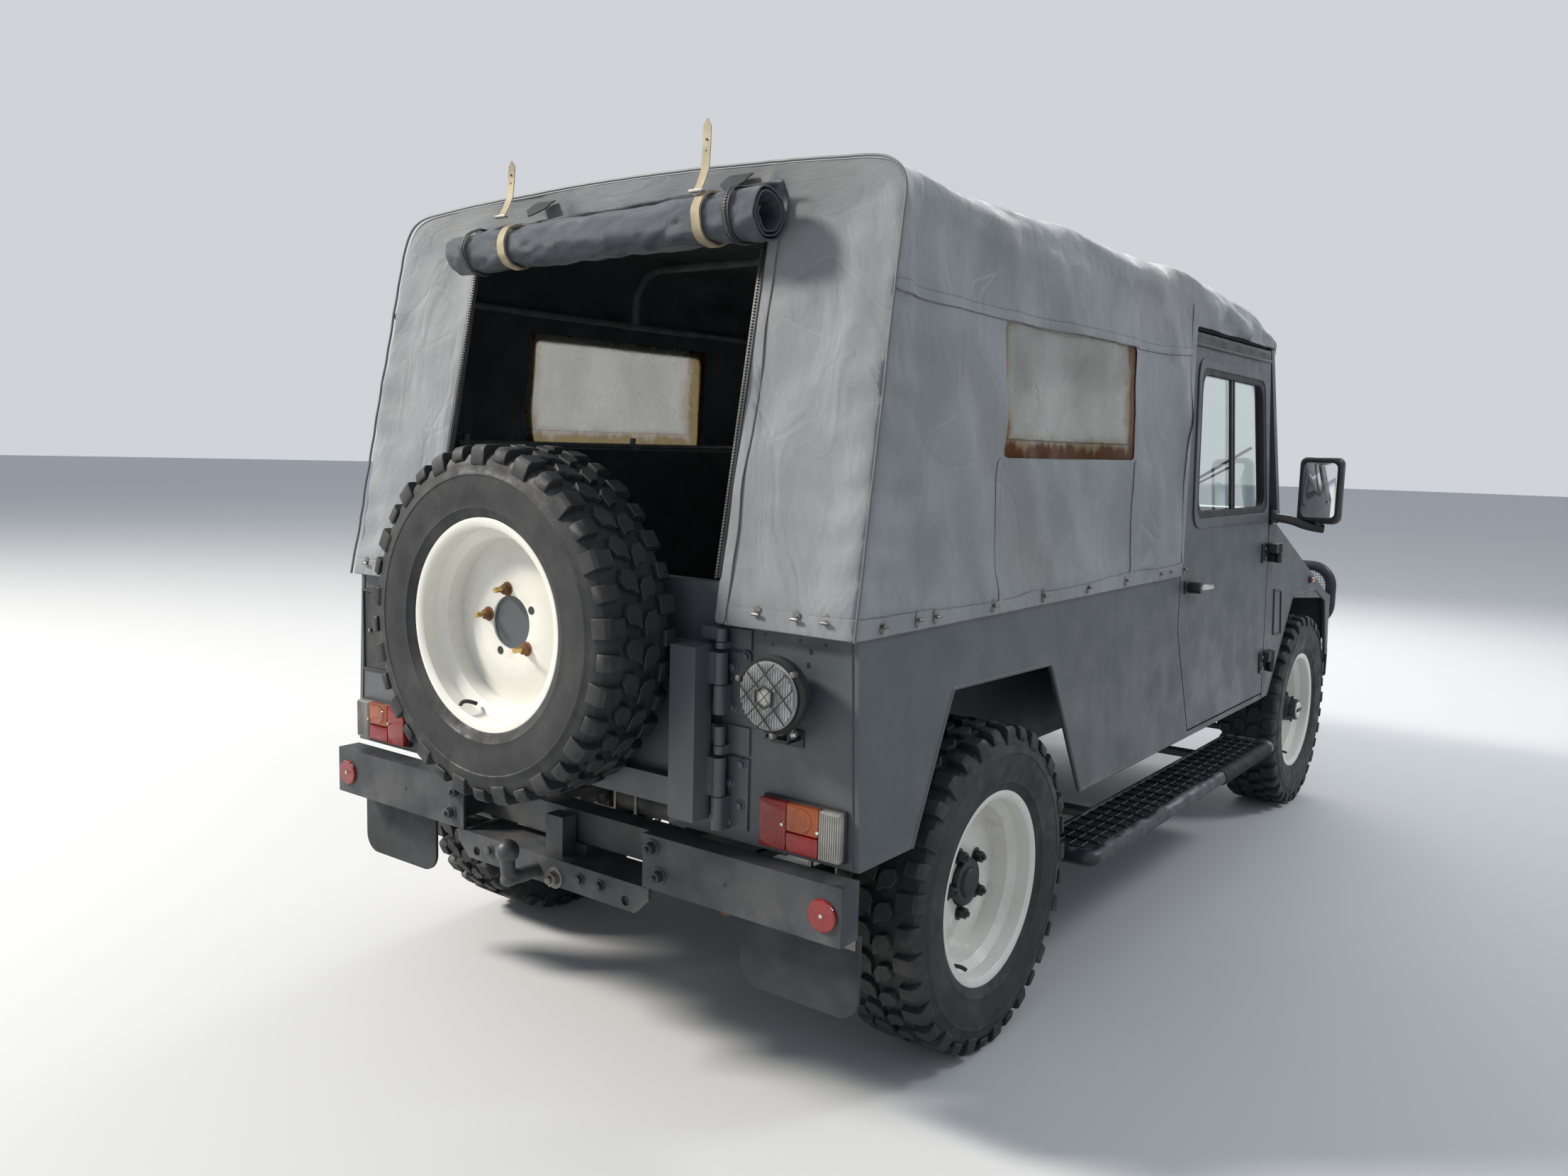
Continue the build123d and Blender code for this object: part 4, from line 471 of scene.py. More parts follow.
def spun(profile, centre, axis, steps=72, closed=True, bevel=0.0):
    """A profile of (along the axis, radius) turned round the axis."""
    shape = bmesh.new()
    rim = [shape.verts.new((radius, 0, along)) for along, radius in profile]
    for first, second in zip(rim, rim[1:] + rim[:1] if closed else rim[1:]):
        shape.edges.new((first, second))
    bmesh.ops.spin(shape, geom=shape.verts[:] + shape.edges[:], axis=(0, 0, 1), cent=(0, 0, 0),
                   angle=2 * math.pi, steps=steps, use_merge=True)
    bmesh.ops.remove_doubles(shape, verts=shape.verts, dist=0.00002)
    bmesh.ops.recalc_face_normals(shape, faces=shape.faces)
    soften(shape, bevel, 2, 25)
    return turned(shape, centre, axis)


def tube(points, radius, sides=4):
    """A round tube along a smooth line that the points control."""
    curve = bpy.data.curves.new("line", "CURVE")
    curve.dimensions = "3D"
    curve.bevel_depth = radius
    curve.bevel_resolution = sides
    curve.use_fill_caps = True
    spline = curve.splines.new("NURBS")
    spline.points.add(len(points) - 1)
    for point, place in zip(spline.points, points):
        point.co = (*place, 1)
    spline.order_u = 3
    spline.use_endpoint_u = True
    spline.resolution_u = 8
    carrier = bpy.data.objects.new("line", curve)
    mesh = bpy.data.meshes.new_from_object(carrier)
    shape = bmesh.new()
    shape.from_mesh(mesh)
    bpy.data.objects.remove(carrier)
    bpy.data.curves.remove(curve)
    bpy.data.meshes.remove(mesh)
    bmesh.ops.remove_doubles(shape, verts=shape.verts, dist=0.00002)
    return shape


def bent(points, bend):
    """Corner points for a tube bent round each corner within a distance of it."""
    eased = [Vector(points[0])]
    for before, corner, after in zip(points, points[1:], points[2:]):
        before, corner, after = Vector(before), Vector(corner), Vector(after)
        eased += [corner.lerp(before, bend / (before - corner).length), corner,
                  corner.lerp(after, bend / (after - corner).length)]
    return eased + [Vector(points[-1])]


def thicken(shape, thickness):
    """Extrudes a flat shape by a vector."""
    made = bmesh.ops.extrude_face_region(shape, geom=shape.faces[:])
    moved = [part for part in made["geom"] if isinstance(part, bmesh.types.BMVert)]
    bmesh.ops.translate(shape, vec=Vector(thickness), verts=moved)
    bmesh.ops.recalc_face_normals(shape, faces=shape.faces)


def slab(outline, thickness, bevel=0.002):
    """A flat plate with an outline of points and a thickness vector."""
    shape = bmesh.new()
    shape.faces.new([shape.verts.new(point) for point in outline])
    thicken(shape, thickness)
    return soften(shape, bevel, 2)


def keep(name, parts, body=BODY, replaces=(), smooth=35):
    """Makes one piece of (shape, finish) pairs, riding on a body."""
    whole = bmesh.new()
    finishes = []
    for shape, finish in parts:
        if finish not in finishes:
            finishes.append(finish)
        for face in shape.faces:
            face.material_index = finishes.index(finish)
        pour(shape, whole)
    mesh = bpy.data.meshes.new(name)
    whole.to_mesh(mesh)
    whole.free()
    for finish in finishes:
        mesh.materials.append(finish)
    mesh.shade_smooth()
    mesh.set_sharp_from_angle(angle=math.radians(smooth))
    piece = added(name, mesh)
    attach(piece, body)
    if replaces:
        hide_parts(*replaces)
    return piece


def simulated(thing, last, gravity, **settings):
    """Where an object's points are after some frames as cloth. The object itself goes."""
    scene = bpy.context.scene
    cloth = thing.modifiers.new("cloth", "CLOTH")
    for name, value in settings.items():
        setattr(cloth.settings, name, value)
    cloth.settings.effector_weights.gravity = gravity
    cloth.collision_settings.use_collision = False
    cloth.point_cache.frame_start, cloth.point_cache.frame_end = 1, last
    for number in range(1, last + 1):
        scene.frame_set(number)
    shown = thing.evaluated_get(bpy.context.evaluated_depsgraph_get())
    places = [vert.co.copy() for vert in shown.data.vertices]
    scene.frame_set(1)
    bpy.data.objects.remove(thing)
    return places


class Parts(list):
    """The (shape, finish) pairs that one piece is made of."""

    def add(self, finish, *shapes):
        self += [(shape, finish) for shape in shapes]


def round_x(centre, ahead, radius, degrees):
    """A point at a radius and an angle round the line along X through a centre."""
    angle = math.radians(degrees)
    return centre + vec(ahead, radius * math.cos(angle), radius * math.sin(angle))


def wires(points, radius):
    """Thin rods round a closed line of points."""
    return [wire(first, second, radius) for first, second in zip(points, points[1:] + points[:1])]


def framed(ahead, across, height):
    """The corners of an upright rectangle across the car, from (low, high) across and (low, high) height."""
    return [at(ahead, across[0], height[0]), at(ahead, across[1], height[0]),
            at(ahead, across[1], height[1]), at(ahead, across[0], height[1])]


# Tyres: a carcass with shoulder lugs that wrap down the wall and two rows of centre blocks.
# Profiles are (across the tyre from its middle, radius).
TYRE_RADIUS = 0.3675
TREAD_BASE = 0.3535
WALL_HALF = [
    (0.0, TREAD_BASE), (0.040, TREAD_BASE), (0.072, 0.3525), (0.088, 0.347), (0.0955, 0.336), (0.0985, 0.326),
    (0.1005, 0.312), (0.1020, 0.310), (0.1022, 0.306), (0.1008, 0.304), (0.1010, 0.286), (0.0990, 0.262),
    (0.0955, 0.246), (0.0958, 0.240), (0.0925, 0.236), (0.0885, 0.226), (0.0860, 0.2215), (0.0815, 0.2150),
    (0.0800, 0.206), (0.0680, 0.206), (0.0800, 0.235), (0.0920, 0.290), (0.0850, 0.338), (0.0, 0.344),
]
LUG_COUNT = 34
# across and radius of a shoulder lug's outline, and how far round it reaches: long and short lugs take turns
LONG_LUG = ([(0.050, 0.350), (0.050, TYRE_RADIUS), (0.090, 0.3660), (0.0985, 0.3590), (0.1024, 0.3300),
             (0.0985, 0.3240), (0.0900, 0.3460)], 0.040)
SHORT_LUG = ([(0.058, 0.350), (0.058, TYRE_RADIUS), (0.0875, 0.3665), (0.0965, 0.3580), (0.1010, 0.3400),
              (0.0970, 0.3360), (0.0880, 0.3470)], 0.034)
# round and across of a centre block's outline
CENTRE_BLOCK = [(-0.025, 0.004), (0.006, 0.003), (0.022, 0.014), (0.027, 0.036), (0.004, 0.046), (-0.014, 0.034),
                (-0.016, 0.018)]


def lug(outline, reach, side):
    """A shoulder lug across the tread, with a groove down its outer face."""
    shape = slab([(-reach / 2, side * across, radius) for across, radius in outline], (reach, 0, 0), 0.0)
    top = [vert for vert in shape.verts if vert.co.z > 0.36]
    for vert in top:
        vert.co.x *= 0.9
    return soften(shape, 0.0016, 1, 40)


def round_tyre(shape, count, shift):
    """Copies of a tread shape round the tyre's own axis, Y."""
    ring = []
    for index in range(count):
        copied = shape.copy()
        turn = Matrix.Rotation(2 * math.pi * (index + shift) / count, 4, "Y")
        bmesh.ops.transform(copied, matrix=turn, verts=copied.verts)
        ring.append(copied)
    shape.free()
    return joined(*ring)


def tyre_shape():
    """A whole tyre about the origin, its axle along Y."""
    mirrored_half = [(-across, radius) for across, radius in WALL_HALF[-2:0:-1]]
    carcass = spun([(across, radius) for across, radius in WALL_HALF + mirrored_half], (0, 0, 0), (0, 1, 0), 96)
    parts = [carcass]
    for side, shift in ((1, 0.0), (-1, 0.5)):
        parts.append(round_tyre(lug(*LONG_LUG, side), LUG_COUNT // 2, shift / 2))
        parts.append(round_tyre(lug(*SHORT_LUG, side), LUG_COUNT // 2, shift / 2 + 0.5))
        outline = [(along, side * across, 0.350) for along, across in CENTRE_BLOCK]
        centre = slab(outline, (0, 0, TYRE_RADIUS - 0.350), 0.0)
        parts.append(round_tyre(soften(centre, 0.0014, 1, 40), LUG_COUNT, 0.25 - shift / 2))
    return joined(*parts)


# Rims: (depth in from the outer flange, radius)
RIM = [
    (0.000, 0.2190), (0.0035, 0.2225), (0.0080, 0.2205), (0.0095, 0.2060), (0.036, 0.2040), (0.050, 0.1830),
    (0.118, 0.1830), (0.132, 0.2040), (0.162, 0.2060), (0.164, 0.2205), (0.1685, 0.2225), (0.172, 0.2190),
    (0.172, 0.2000), (0.134, 0.1990), (0.120, 0.1780), (0.1010, 0.1780), (0.0960, 0.1540), (0.0800, 0.1200),
    (0.0790, 0.0560), (0.0730, 0.0560), (0.0725, 0.1200), (0.0880, 0.1560), (0.0925, 0.1770), (0.052, 0.1775),
    (0.037, 0.1975), (0.006, 0.2000), (0.0015, 0.2090),
]
STUD_CIRCLE = 0.0699


def stud_places(turn=0.0):
    return [(STUD_CIRCLE * math.cos(turn + 2 * math.pi * k / 5),
             STUD_CIRCLE * math.sin(turn + 2 * math.pi * k / 5)) for k in range(5)]


def about(centre, outward):
    """Turns a point of (depth in, one way, other way) on a wheel into the car's frame."""
    outward = Vector(outward)
    one = vec(0, 0, 1)
    other = outward.cross(one)
    return lambda depth, first, second: Vector(centre) - outward * depth + one * first + other * second


TYRE = tyre_shape()
RIM_FACE = 0.7555
HALF_RIM = 0.086
for corner, ahead, side in (("front_left", WHEELBASE, 1), ("front_right", WHEELBASE, -1),
                            ("rear_left", 0, 1), ("rear_right", 0, -1)):
    on = sided(side)
    outward = vec(0, side, 0)
    face = on(ahead, RIM_FACE, AXLE_Z)
    body = "wheel_" + corner
    spot = about(face, outward)
    copied = TYRE.copy()
    bmesh.ops.translate(copied, vec=face - outward * HALF_RIM, verts=copied.verts)
    keep("tyre_tread_" + corner, [(copied, RUBBER)], body, ["tyre_" + corner])
    parts = Parts()
    parts.add(CREAM, spun(RIM, face, -outward, 96, bevel=0.0012))
    parts.add(BLACK, rod(spot(0.151, 0, 0), spot(0.078, 0, 0), 0.130, segments=48, bevel=0.006))
    for first, second in stud_places(0.4):
        parts.add(
            TRIM,
            bolt(spot(0.073, first, second), outward, 0.024, 0.017),
            rod(spot(0.07, first, second), spot(0.047, first, second), 0.0065, segments=12),
        )
    if ahead:
        parts.add(
            TRIM,
            rod(spot(0.08, 0, 0), spot(0.02, 0, 0), 0.052, 0.046, 36, 0.003),
            rod(spot(0.02, 0, 0), spot(-0.004, 0, 0), 0.041, 0.040, 36, 0.002),
        )
        parts.add(STEEL, rod(spot(-0.003, 0, 0), spot(-0.0085, 0, 0), 0.033, 0.031, 36, 0.001))
        parts.add(TRIM, block(spot(-0.008, -0.006, -0.026), spot(-0.0125, 0.006, 0.026), 0.001))
        for turn in range(6):
            angle = math.radians(60 * turn)
            parts.add(TRIM,
                      bolt(spot(0.021, 0.046 * math.cos(angle), 0.046 * math.sin(angle)), outward, 0.010, 0.005,
                           False))
    else:
        parts.add(
            TRIM,
            rod(spot(0.08, 0, 0), spot(0.060, 0, 0), 0.054, segments=40, bevel=0.003),
            rod(spot(0.062, 0, 0), spot(0.052, 0, 0), 0.036, 0.032, 32, 0.002),
        )
    parts.add(SOFT_BLACK,
              tube([spot(0.034, -0.150, 0.118), spot(0.010, -0.145, 0.113), spot(-0.004, -0.150, 0.117)], 0.0045))
    keep("rim_" + corner, parts, body, ["wheel_" + corner])

SPARE_FACE = at(-0.7955, 0.013, 0.956)
spare_spot = about(SPARE_FACE, BACK)
bmesh.ops.rotate(TYRE, cent=(0, 0, 0), matrix=Matrix.Rotation(math.radians(90), 3, "Z"), verts=TYRE.verts)
bmesh.ops.translate(TYRE, vec=SPARE_FACE + vec(HALF_RIM, 0, 0), verts=TYRE.verts)
keep("tyre_tread_spare", [(TYRE, RUBBER)], "spare_carrier", ["spare_tyre"])
parts = Parts()
parts.add(CREAM, spun(RIM, SPARE_FACE, FORWARD, 96, bevel=0.0012))
for index, (first, second) in enumerate(stud_places(0.15)):
    parts.add(TRIM, wire(spare_spot(0.0735, first, second), spare_spot(0.0718, first, second), 0.0085, 16))
    if index in (0, 1, 3):
        parts.add(RUST, bolt(spare_spot(0.073, first, second), BACK, 0.019, 0.012))
        parts.add(BRASS,
                  rod(spare_spot(0.07, first, second), spare_spot(0.038, first, second), 0.0058, segments=12))
parts.add(SOFT_BLACK,
          tube([spare_spot(0.034, -0.175, 0.062), spare_spot(0.004, -0.160, 0.070),
                spare_spot(-0.006, -0.172, 0.064)], 0.0042))
keep("rim_spare", parts, "spare_carrier", ["spare_wheel"])


# Soft top. One cloth grid: rows run from the right hem over the roof to the left hem, and columns run
# from the edge of the rear opening, round the rear corner and forward to the screen header.
HEM_Z, SHOULDER_Z, CAB_EDGE_Z = 0.988, 1.778, 1.708
HEADER_AHEAD = 2.046
OPENING_RIGHT, OPENING_LEFT, OPENING_TOP = -0.428, 0.449, 1.760
WINDOW_AHEAD, WINDOW_Z = (-0.012, 0.704), (1.335, 1.622)
SEAM_Z = (1.620, 1.646)
BOW_AHEAD = (-0.395, 0.350, 1.078)
CLOTH_THICKNESS = 0.0025
CAB_START = 1.184  # where the hood starts to drop over the cab
ROOF_GIRTH, REAR_GIRTH = 0.80, 0.32  # cloth from the shoulder to the middle, and from the corner to the opening
ROOF_EDGE = 0.22  # the share of the roof's girth that its rounded edge takes
CAB_LOWER, CAB_NARROW = 0.052, 0.014  # how much lower and narrower the shoulder is over the screen
SLACK_SHARE, SLIDE_MOST = 0.55, 0.012  # how much of the simulated slack stays, and how far cloth may slide
PITCH = 0.0252


def steps(marks, pitch=PITCH):
    """The marks, with even steps of about a pitch put between them."""
    values = [marks[0]]
    for low, high in zip(marks, marks[1:]):
        count = max(1, round(abs(high - low) / pitch))
        values += [low + (high - low) * k / count for k in range(1, count + 1)]
    return values


def canvas_half(height):
    """Half the hood's width at a height."""
    return half_width(HEM_Z) + 0.006 - (height - HEM_Z) * 0.026


def rear_skin(height):
    """How far ahead of the rear axle the leaning rear face is at a height."""
    return -0.596 + (height - 0.990) * 0.188


def door_edge(height):
    """The front edge of the bed part of the hood, along the door."""
    return 1.130 + (min(height, CAB_EDGE_Z) - 0.985) * 0.0747


def between(table, value):
    """Reads a table of (place, value) pairs at a place, in straight runs."""
    for (start, first), (end, second) in zip(table, table[1:]):
        if value <= end:
            return first + (second - first) * max(0.0, (value - start) / (end - start))
    return table[-1][1]


CAB_DROP = [(CAB_START, 0.0), (1.45, 0.07), (1.70, 0.20), (1.86, 0.40), (1.97, 0.72), (HEADER_AHEAD, 1.0)]


def roof_point(share, ahead):
    """(across, height) on the roof, from the shoulder at share 0 to the middle at share 1."""
    drop = between(CAB_DROP, ahead)
    shoulder, half = SHOULDER_Z - CAB_LOWER * drop, canvas_half(SHOULDER_Z) - CAB_NARROW * drop
    edge_z, edge_half, crown = 1.876 - 0.122 * drop, 0.645 - 0.01 * drop, 1.900 - 0.136 * drop
    if share < ROOF_EDGE:
        t = share / ROOF_EDGE
        corners = [(half, shoulder), (half, shoulder + (edge_z - shoulder) * 0.62),
                   (half - 0.022, edge_z - 0.006), (edge_half, edge_z)]
        weights = [(1 - t) ** 3, 3 * t * (1 - t) ** 2, 3 * t * t * (1 - t), t ** 3]
        return tuple(sum(weight * corner[k] for weight, corner in zip(weights, corners)) for k in (0, 1))
    t = (share - ROOF_EDGE) / (1 - ROOF_EDGE)
    return edge_half * (1 - t), crown - (crown - edge_z) * (1 - t) ** 2


SIDE_ROWS = steps([HEM_Z, 1.030, WINDOW_Z[0], WINDOW_Z[1], SEAM_Z[1], CAB_EDGE_Z, SHOULDER_Z])
ROOF_ROWS = steps([0.0, ROOF_EDGE, 1.0], PITCH / ROOF_GIRTH)[1:]
ROWS = [("side", -1, z) for z in SIDE_ROWS] + [("roof", -1, share) for share in ROOF_ROWS]
ROWS += [("roof", 1, share) for share in ROOF_ROWS[-2::-1]] + [("side", 1, z) for z in SIDE_ROWS[::-1]]
REAR_STEPS = 13
BED_COLUMNS = [("tail", share) for share in steps([0.0, 0.06, 1.0], PITCH / 0.5)]
BED_COLUMNS += [("bed", ahead) for ahead in steps([*WINDOW_AHEAD])[1:]]
BED_COLUMNS += [("fore", share) for share in steps([0.0, 0.94, 1.0], PITCH / 0.45)[1:]]
CAB_COLUMNS = [("cab", ahead) for ahead in steps([CAB_START, HEADER_AHEAD])[1:]] + [("lip", HEADER_AHEAD)]
COLUMNS = [("rear", k / REAR_STEPS) for k in range(REAR_STEPS)] + BED_COLUMNS + CAB_COLUMNS
CORNER = REAR_STEPS
DOOR_COLUMN = REAR_STEPS + len(BED_COLUMNS) - 1


def on_row(row, ahead):
    """(across, height) of a grid row at a place ahead of the rear axle."""
    kind, side, value = row
    if kind == "roof":
        across, height = roof_point(value, ahead)
        return side * across, height
    height = value
    if ahead > CAB_START:
        low = (value - CAB_EDGE_Z) / (SHOULDER_Z - CAB_EDGE_Z)
        height = CAB_EDGE_Z + low * (SHOULDER_Z - CAB_LOWER * between(CAB_DROP, ahead) - CAB_EDGE_Z)
    return side * (canvas_half(height) - CAB_NARROW * between(CAB_DROP, ahead)), height


def hood_point(row, column):
    """Where a grid point of the hood rests before it creases."""
    kind, value = column
    across, height = on_row(row, 0.0)
    if kind in ("cab", "lip"):
        across, height = on_row(row, value)
        if kind == "lip":
            return at(value + 0.006, across * 0.997, height - 0.024)
        return at(value, across, height)
    if kind == "bed":
        return at(value, across, height)
    if kind == "tail":
        start = rear_skin(height)
        return at(start + (WINDOW_AHEAD[0] - start) * value, across, height)
    if kind == "fore":
        return at(WINDOW_AHEAD[1] + (door_edge(height) - WINDOW_AHEAD[1]) * value, across, height)
    edge = OPENING_RIGHT if row[1] < 0 else OPENING_LEFT
    if row[0] == "roof":
        edge *= 1 - row[2]
    eased = value ** 0.9
    across = edge + (across - edge) * eased
    height = min(height, OPENING_TOP) + (height - min(height, OPENING_TOP)) * eased
    return at(rear_skin(height), across, height)


def along_cloth(row, column, point):
    """Cloth coordinates in metres: forward, and up round the section."""
    value = row[2]
    up = value if row[0] == "side" else SHOULDER_Z + ROOF_GIRTH * value
    forward = point.x - REAR_AXLE
    if column[0] == "rear":
        forward -= REAR_GIRTH * (1 - column[1])
    return forward, up


def cloth_grid():
    """The hood's cells as a mesh, with its grid places kept in layers and its cloth coordinates in a map."""
    grid = bmesh.new()
    rows, columns = len(ROWS), len(COLUMNS)
    bmesh.ops.create_grid(grid, x_segments=columns - 1, y_segments=rows - 1, size=1)
    row_layer, column_layer = grid.verts.layers.int.new("row"), grid.verts.layers.int.new("column")
    cloth_map = grid.loops.layers.uv.new("cloth")
    for vert in grid.verts:
        vert[column_layer] = round((vert.co.x + 1) / 2 * (columns - 1))
        vert[row_layer] = round((vert.co.y + 1) / 2 * (rows - 1))
        vert.co = hood_point(ROWS[vert[row_layer]], COLUMNS[vert[column_layer]])
    open_cells = [face for face in grid.faces
                  if min(vert[column_layer] for vert in face.verts) >= DOOR_COLUMN
                  and not is_cab_row(max(vert[row_layer] for vert in face.verts),
                                     min(vert[row_layer] for vert in face.verts))]
    bmesh.ops.delete(grid, geom=open_cells, context="FACES")
    for face in grid.faces:
        for loop in face.loops:
            row, column = ROWS[loop.vert[row_layer]], COLUMNS[loop.vert[column_layer]]
            loop[cloth_map].uv = along_cloth(row, column, loop.vert.co)
    bmesh.ops.recalc_face_normals(grid, faces=grid.faces)
    middle = max(grid.faces, key=lambda face: face.calc_center_median().z)
    if middle.normal.z < 0:
        bmesh.ops.reverse_faces(grid, faces=grid.faces)
    return grid


def is_cab_row(highest, lowest):
    """Whether rows lie over the cab, above the doors."""
    return all(ROWS[k][0] == "roof" or ROWS[k][2] > CAB_EDGE_Z - 0.001 for k in (highest, lowest))


def held(row, column, row_number, column_number):
    """How firmly the hood is held at a grid point: at its hems, corners, bows and door edges."""
    if row_number in (0, len(ROWS) - 1) or column_number in (0, len(COLUMNS) - 1, len(COLUMNS) - 2):
        return 1.0
    if column[0] in ("cab", "lip") and row[0] == "side" and row[2] < CAB_EDGE_Z + 0.002:
        return 1.0
    if column_number == DOOR_COLUMN and row[0] == "side":
        return 1.0
    if column_number == CORNER:
        return 0.9
    return 0.0


def near_bow(row, point):
    """Whether a roof point rests on one of the hood frame's bows."""
    return row[0] == "roof" and row[2] > 0.12 and min(abs(point.x - REAR_AXLE - bow)
                                                      for bow in BOW_AHEAD) < PITCH * 0.55


# How deep the cloth's folds are, in metres
ROOF_FOLD, TAIL_UPRIGHT, TAIL_SLANT, TAIL_CRUMPLE = 0.006, 0.020, 0.013, 0.008
CORNER_PUCKER, ZIP_CRUMPLE, SIDE_SLANT, SIDE_FINE, FRONT_FINE = 0.0095, 0.007, 0.031, 0.012, 0.010


def ridge(*place):
    """Noise with sharp ridges at a place."""
    return 0.5 - abs(noise.noise(Vector(place))) * 2


def fold_depth(row, point):
    """How far the cloth's soft folds stand off its flat shape: upright on the tail, slanting on the sides."""
    if row[0] == "roof":
        return ROOF_FOLD * ridge(point.x * 2.2, point.y * 4.0, 3.0)
    ease = min(1.0, max(0.0, (point.z - HEM_Z - 0.02) / 0.09))
    if point.x < at(-0.40, 0, 0).x:
        upright = ridge(point.y * 7.0, point.z * 1.5, 2.0)
        slant = ridge(point.y * 4.0 + point.z * 5.0, point.z * 2.0, 8.0)
        near_corner = math.exp(-max(0.0, 0.70 - abs(point.y)) / 0.050)
        near_zip = math.exp(-max(0.0, abs(point.y) - 0.47) / 0.045)
        puckers = math.sin(point.z * 74.0 + 4.0 * noise.noise(vec(0, 0, point.z * 7.0)))
        crumple = noise.noise(vec(point.y * 9.0, point.z * 13.0, 5.0))
        folds = ease * (TAIL_UPRIGHT * upright + TAIL_SLANT * slant + TAIL_CRUMPLE * crumple)
        return folds + CORNER_PUCKER * near_corner * puckers + ZIP_CRUMPLE * near_zip * crumple
    ahead = point.x - REAR_AXLE
    slant = ridge((ahead + point.z * 0.6) * 3.0, (point.z - ahead * 0.2) * 1.3, 7.0)
    fine = ridge((ahead - point.z * 0.35) * 7.5, point.z * 2.2, 1.0)
    front = max(0.0, min(1.0, (ahead - 0.65) / 0.2))
    return ease * (SIDE_SLANT * slant + (SIDE_FINE + FRONT_FINE * front) * fine)


def settled(grid):
    """Lets the hood go slack between what holds it, as cloth cut a little large, and caps how far it moves."""
    mesh = bpy.data.meshes.new("slack")
    row_layer, column_layer = grid.verts.layers.int["row"], grid.verts.layers.int["column"]
    rest = [vert.co.copy() for vert in grid.verts]
    random.seed(5)
    grid.verts.ensure_lookup_table()
    grid.normal_update()
    out = [vert.normal.copy() for vert in grid.verts]
    holds = []
    for vert in grid.verts:
        row, column = ROWS[vert[row_layer]], COLUMNS[vert[column_layer]]
        hold = 1.0 if near_bow(row, vert.co) else held(row, column, vert[row_layer], vert[column_layer])
        holds.append(hold)
        if hold < 0.5:
            vert.co += vert.normal * (0.004 * noise.noise(vert.co * 5.0) + random.uniform(-0.0008, 0.0008))
    grid.to_mesh(mesh)
    slack = added("slack", mesh)
    pins = slack.vertex_groups.new(name="pins")
    for number, hold in enumerate(holds):
        if hold:
            pins.add([number], hold, "REPLACE")
    last = 26
    places = simulated(slack, last, 0.35, vertex_group_mass="pins", mass=0.35, quality=5,
                       tension_stiffness=18, compression_stiffness=18, shear_stiffness=8, bending_stiffness=1.2,
                       shrink_min=-0.018)
    for vert, start, place, normal in zip(grid.verts, rest, places, out):
        move = place - start
        inward, outward = (0.001, 0.012) if start.z < 1.065 else (0.014, 0.020)
        if ROWS[vert[row_layer]][0] == "roof":
            inward, outward = 0.022, 0.010
        row, column = ROWS[vert[row_layer]], COLUMNS[vert[column_layer]]
        relief = 0.0 if near_bow(row, start) else fold_depth(row, start)
        relief *= 1.0 - held(row, column, vert[row_layer], vert[column_layer])
        slack_depth = SLACK_SHARE * max(-inward, min(outward, move.dot(normal)))
        depth = max(-inward, min(outward + 0.004, slack_depth + relief))
        slide = move - normal * move.dot(normal)
        if slide.length > SLIDE_MOST:
            slide *= SLIDE_MOST / slide.length
        vert.co = start + slide + normal * depth
    bmesh.ops.smooth_vert(grid, verts=[vert for vert, hold in zip(grid.verts, holds) if hold < 0.5], factor=0.3,
                          use_axis_x=True, use_axis_y=True, use_axis_z=True)
    return grid


def cells(grid, wanted, lift=0.0):
    """A copy of the hood's cells for which a test of (row, column) ranges holds, lifted off the cloth."""
    part = grid.copy()
    part.normal_update()
    row_layer, column_layer = part.verts.layers.int["row"], part.verts.layers.int["column"]
    moves = [(vert, vert.normal * lift) for vert in part.verts]
    for vert, move in moves:
        vert.co += move
    unwanted = []
    for face in part.faces:
        numbers = [vert[row_layer] for vert in face.verts], [vert[column_layer] for vert in face.verts]
        if not wanted(min(numbers[0]), max(numbers[0]), min(numbers[1]), max(numbers[1])):
            unwanted.append(face)
    bmesh.ops.delete(part, geom=unwanted, context="FACES")
    return part


def cloth_piece(name, shape, finishes, thickness=CLOTH_THICKNESS, levels=1, replaces=()):
    """A cloth piece with its own thickness, smoothed by a number of levels."""
    piece = keep(name, [(shape, finishes[0])], BODY, replaces, 80)
    for finish in finishes[1:]:
        piece.data.materials.append(finish)
    wall = piece.modifiers.new("thickness", "SOLIDIFY")
    wall.thickness = thickness
    wall.offset = -1
    if len(finishes) > 1:
        wall.material_offset = 1
        wall.material_offset_rim = 0
    if levels:
        smooth = piece.modifiers.new("smooth", "SUBSURF")
        smooth.levels = smooth.render_levels = levels
    return piece


def row_near(z):
    """The side row nearest to a height."""
    return min(range(len(SIDE_ROWS)), key=lambda k: abs(SIDE_ROWS[k] - z))


def both_sides(low, high, more=0):
    """A test for rows between two side heights, on either side, and a number of rows more."""
    first, last, top = row_near(low) - more, row_near(high) + more, len(ROWS) - 1
    return lambda start, end: (start >= first and end <= last) or (top - end >= first and top - start <= last)


def column_near(ahead):
    """The column of the bed part nearest to a place ahead of the rear axle."""
    return min(range(CORNER, DOOR_COLUMN + 1),
               key=lambda k: abs(hood_point(ROWS[row_near(1.3)], COLUMNS[k]).x - REAR_AXLE - ahead))


hood = settled(cloth_grid())
window_rows = both_sides(*WINDOW_Z)
first_window, last_window = column_near(WINDOW_AHEAD[0]), column_near(WINDOW_AHEAD[1])


def in_window(row, last_row, column, last_column):
    return window_rows(row, last_row) and column >= first_window and last_column <= last_window


hood_area = sum(face.calc_area() for face in hood.faces)
canvas = cloth_piece("hood_canvas", cells(hood, lambda *cell: not in_window(*cell)), [CANVAS, LINING],
                     replaces=["canvas_hood"])
wide_rows = both_sides(WINDOW_Z[0], WINDOW_Z[1], 1)


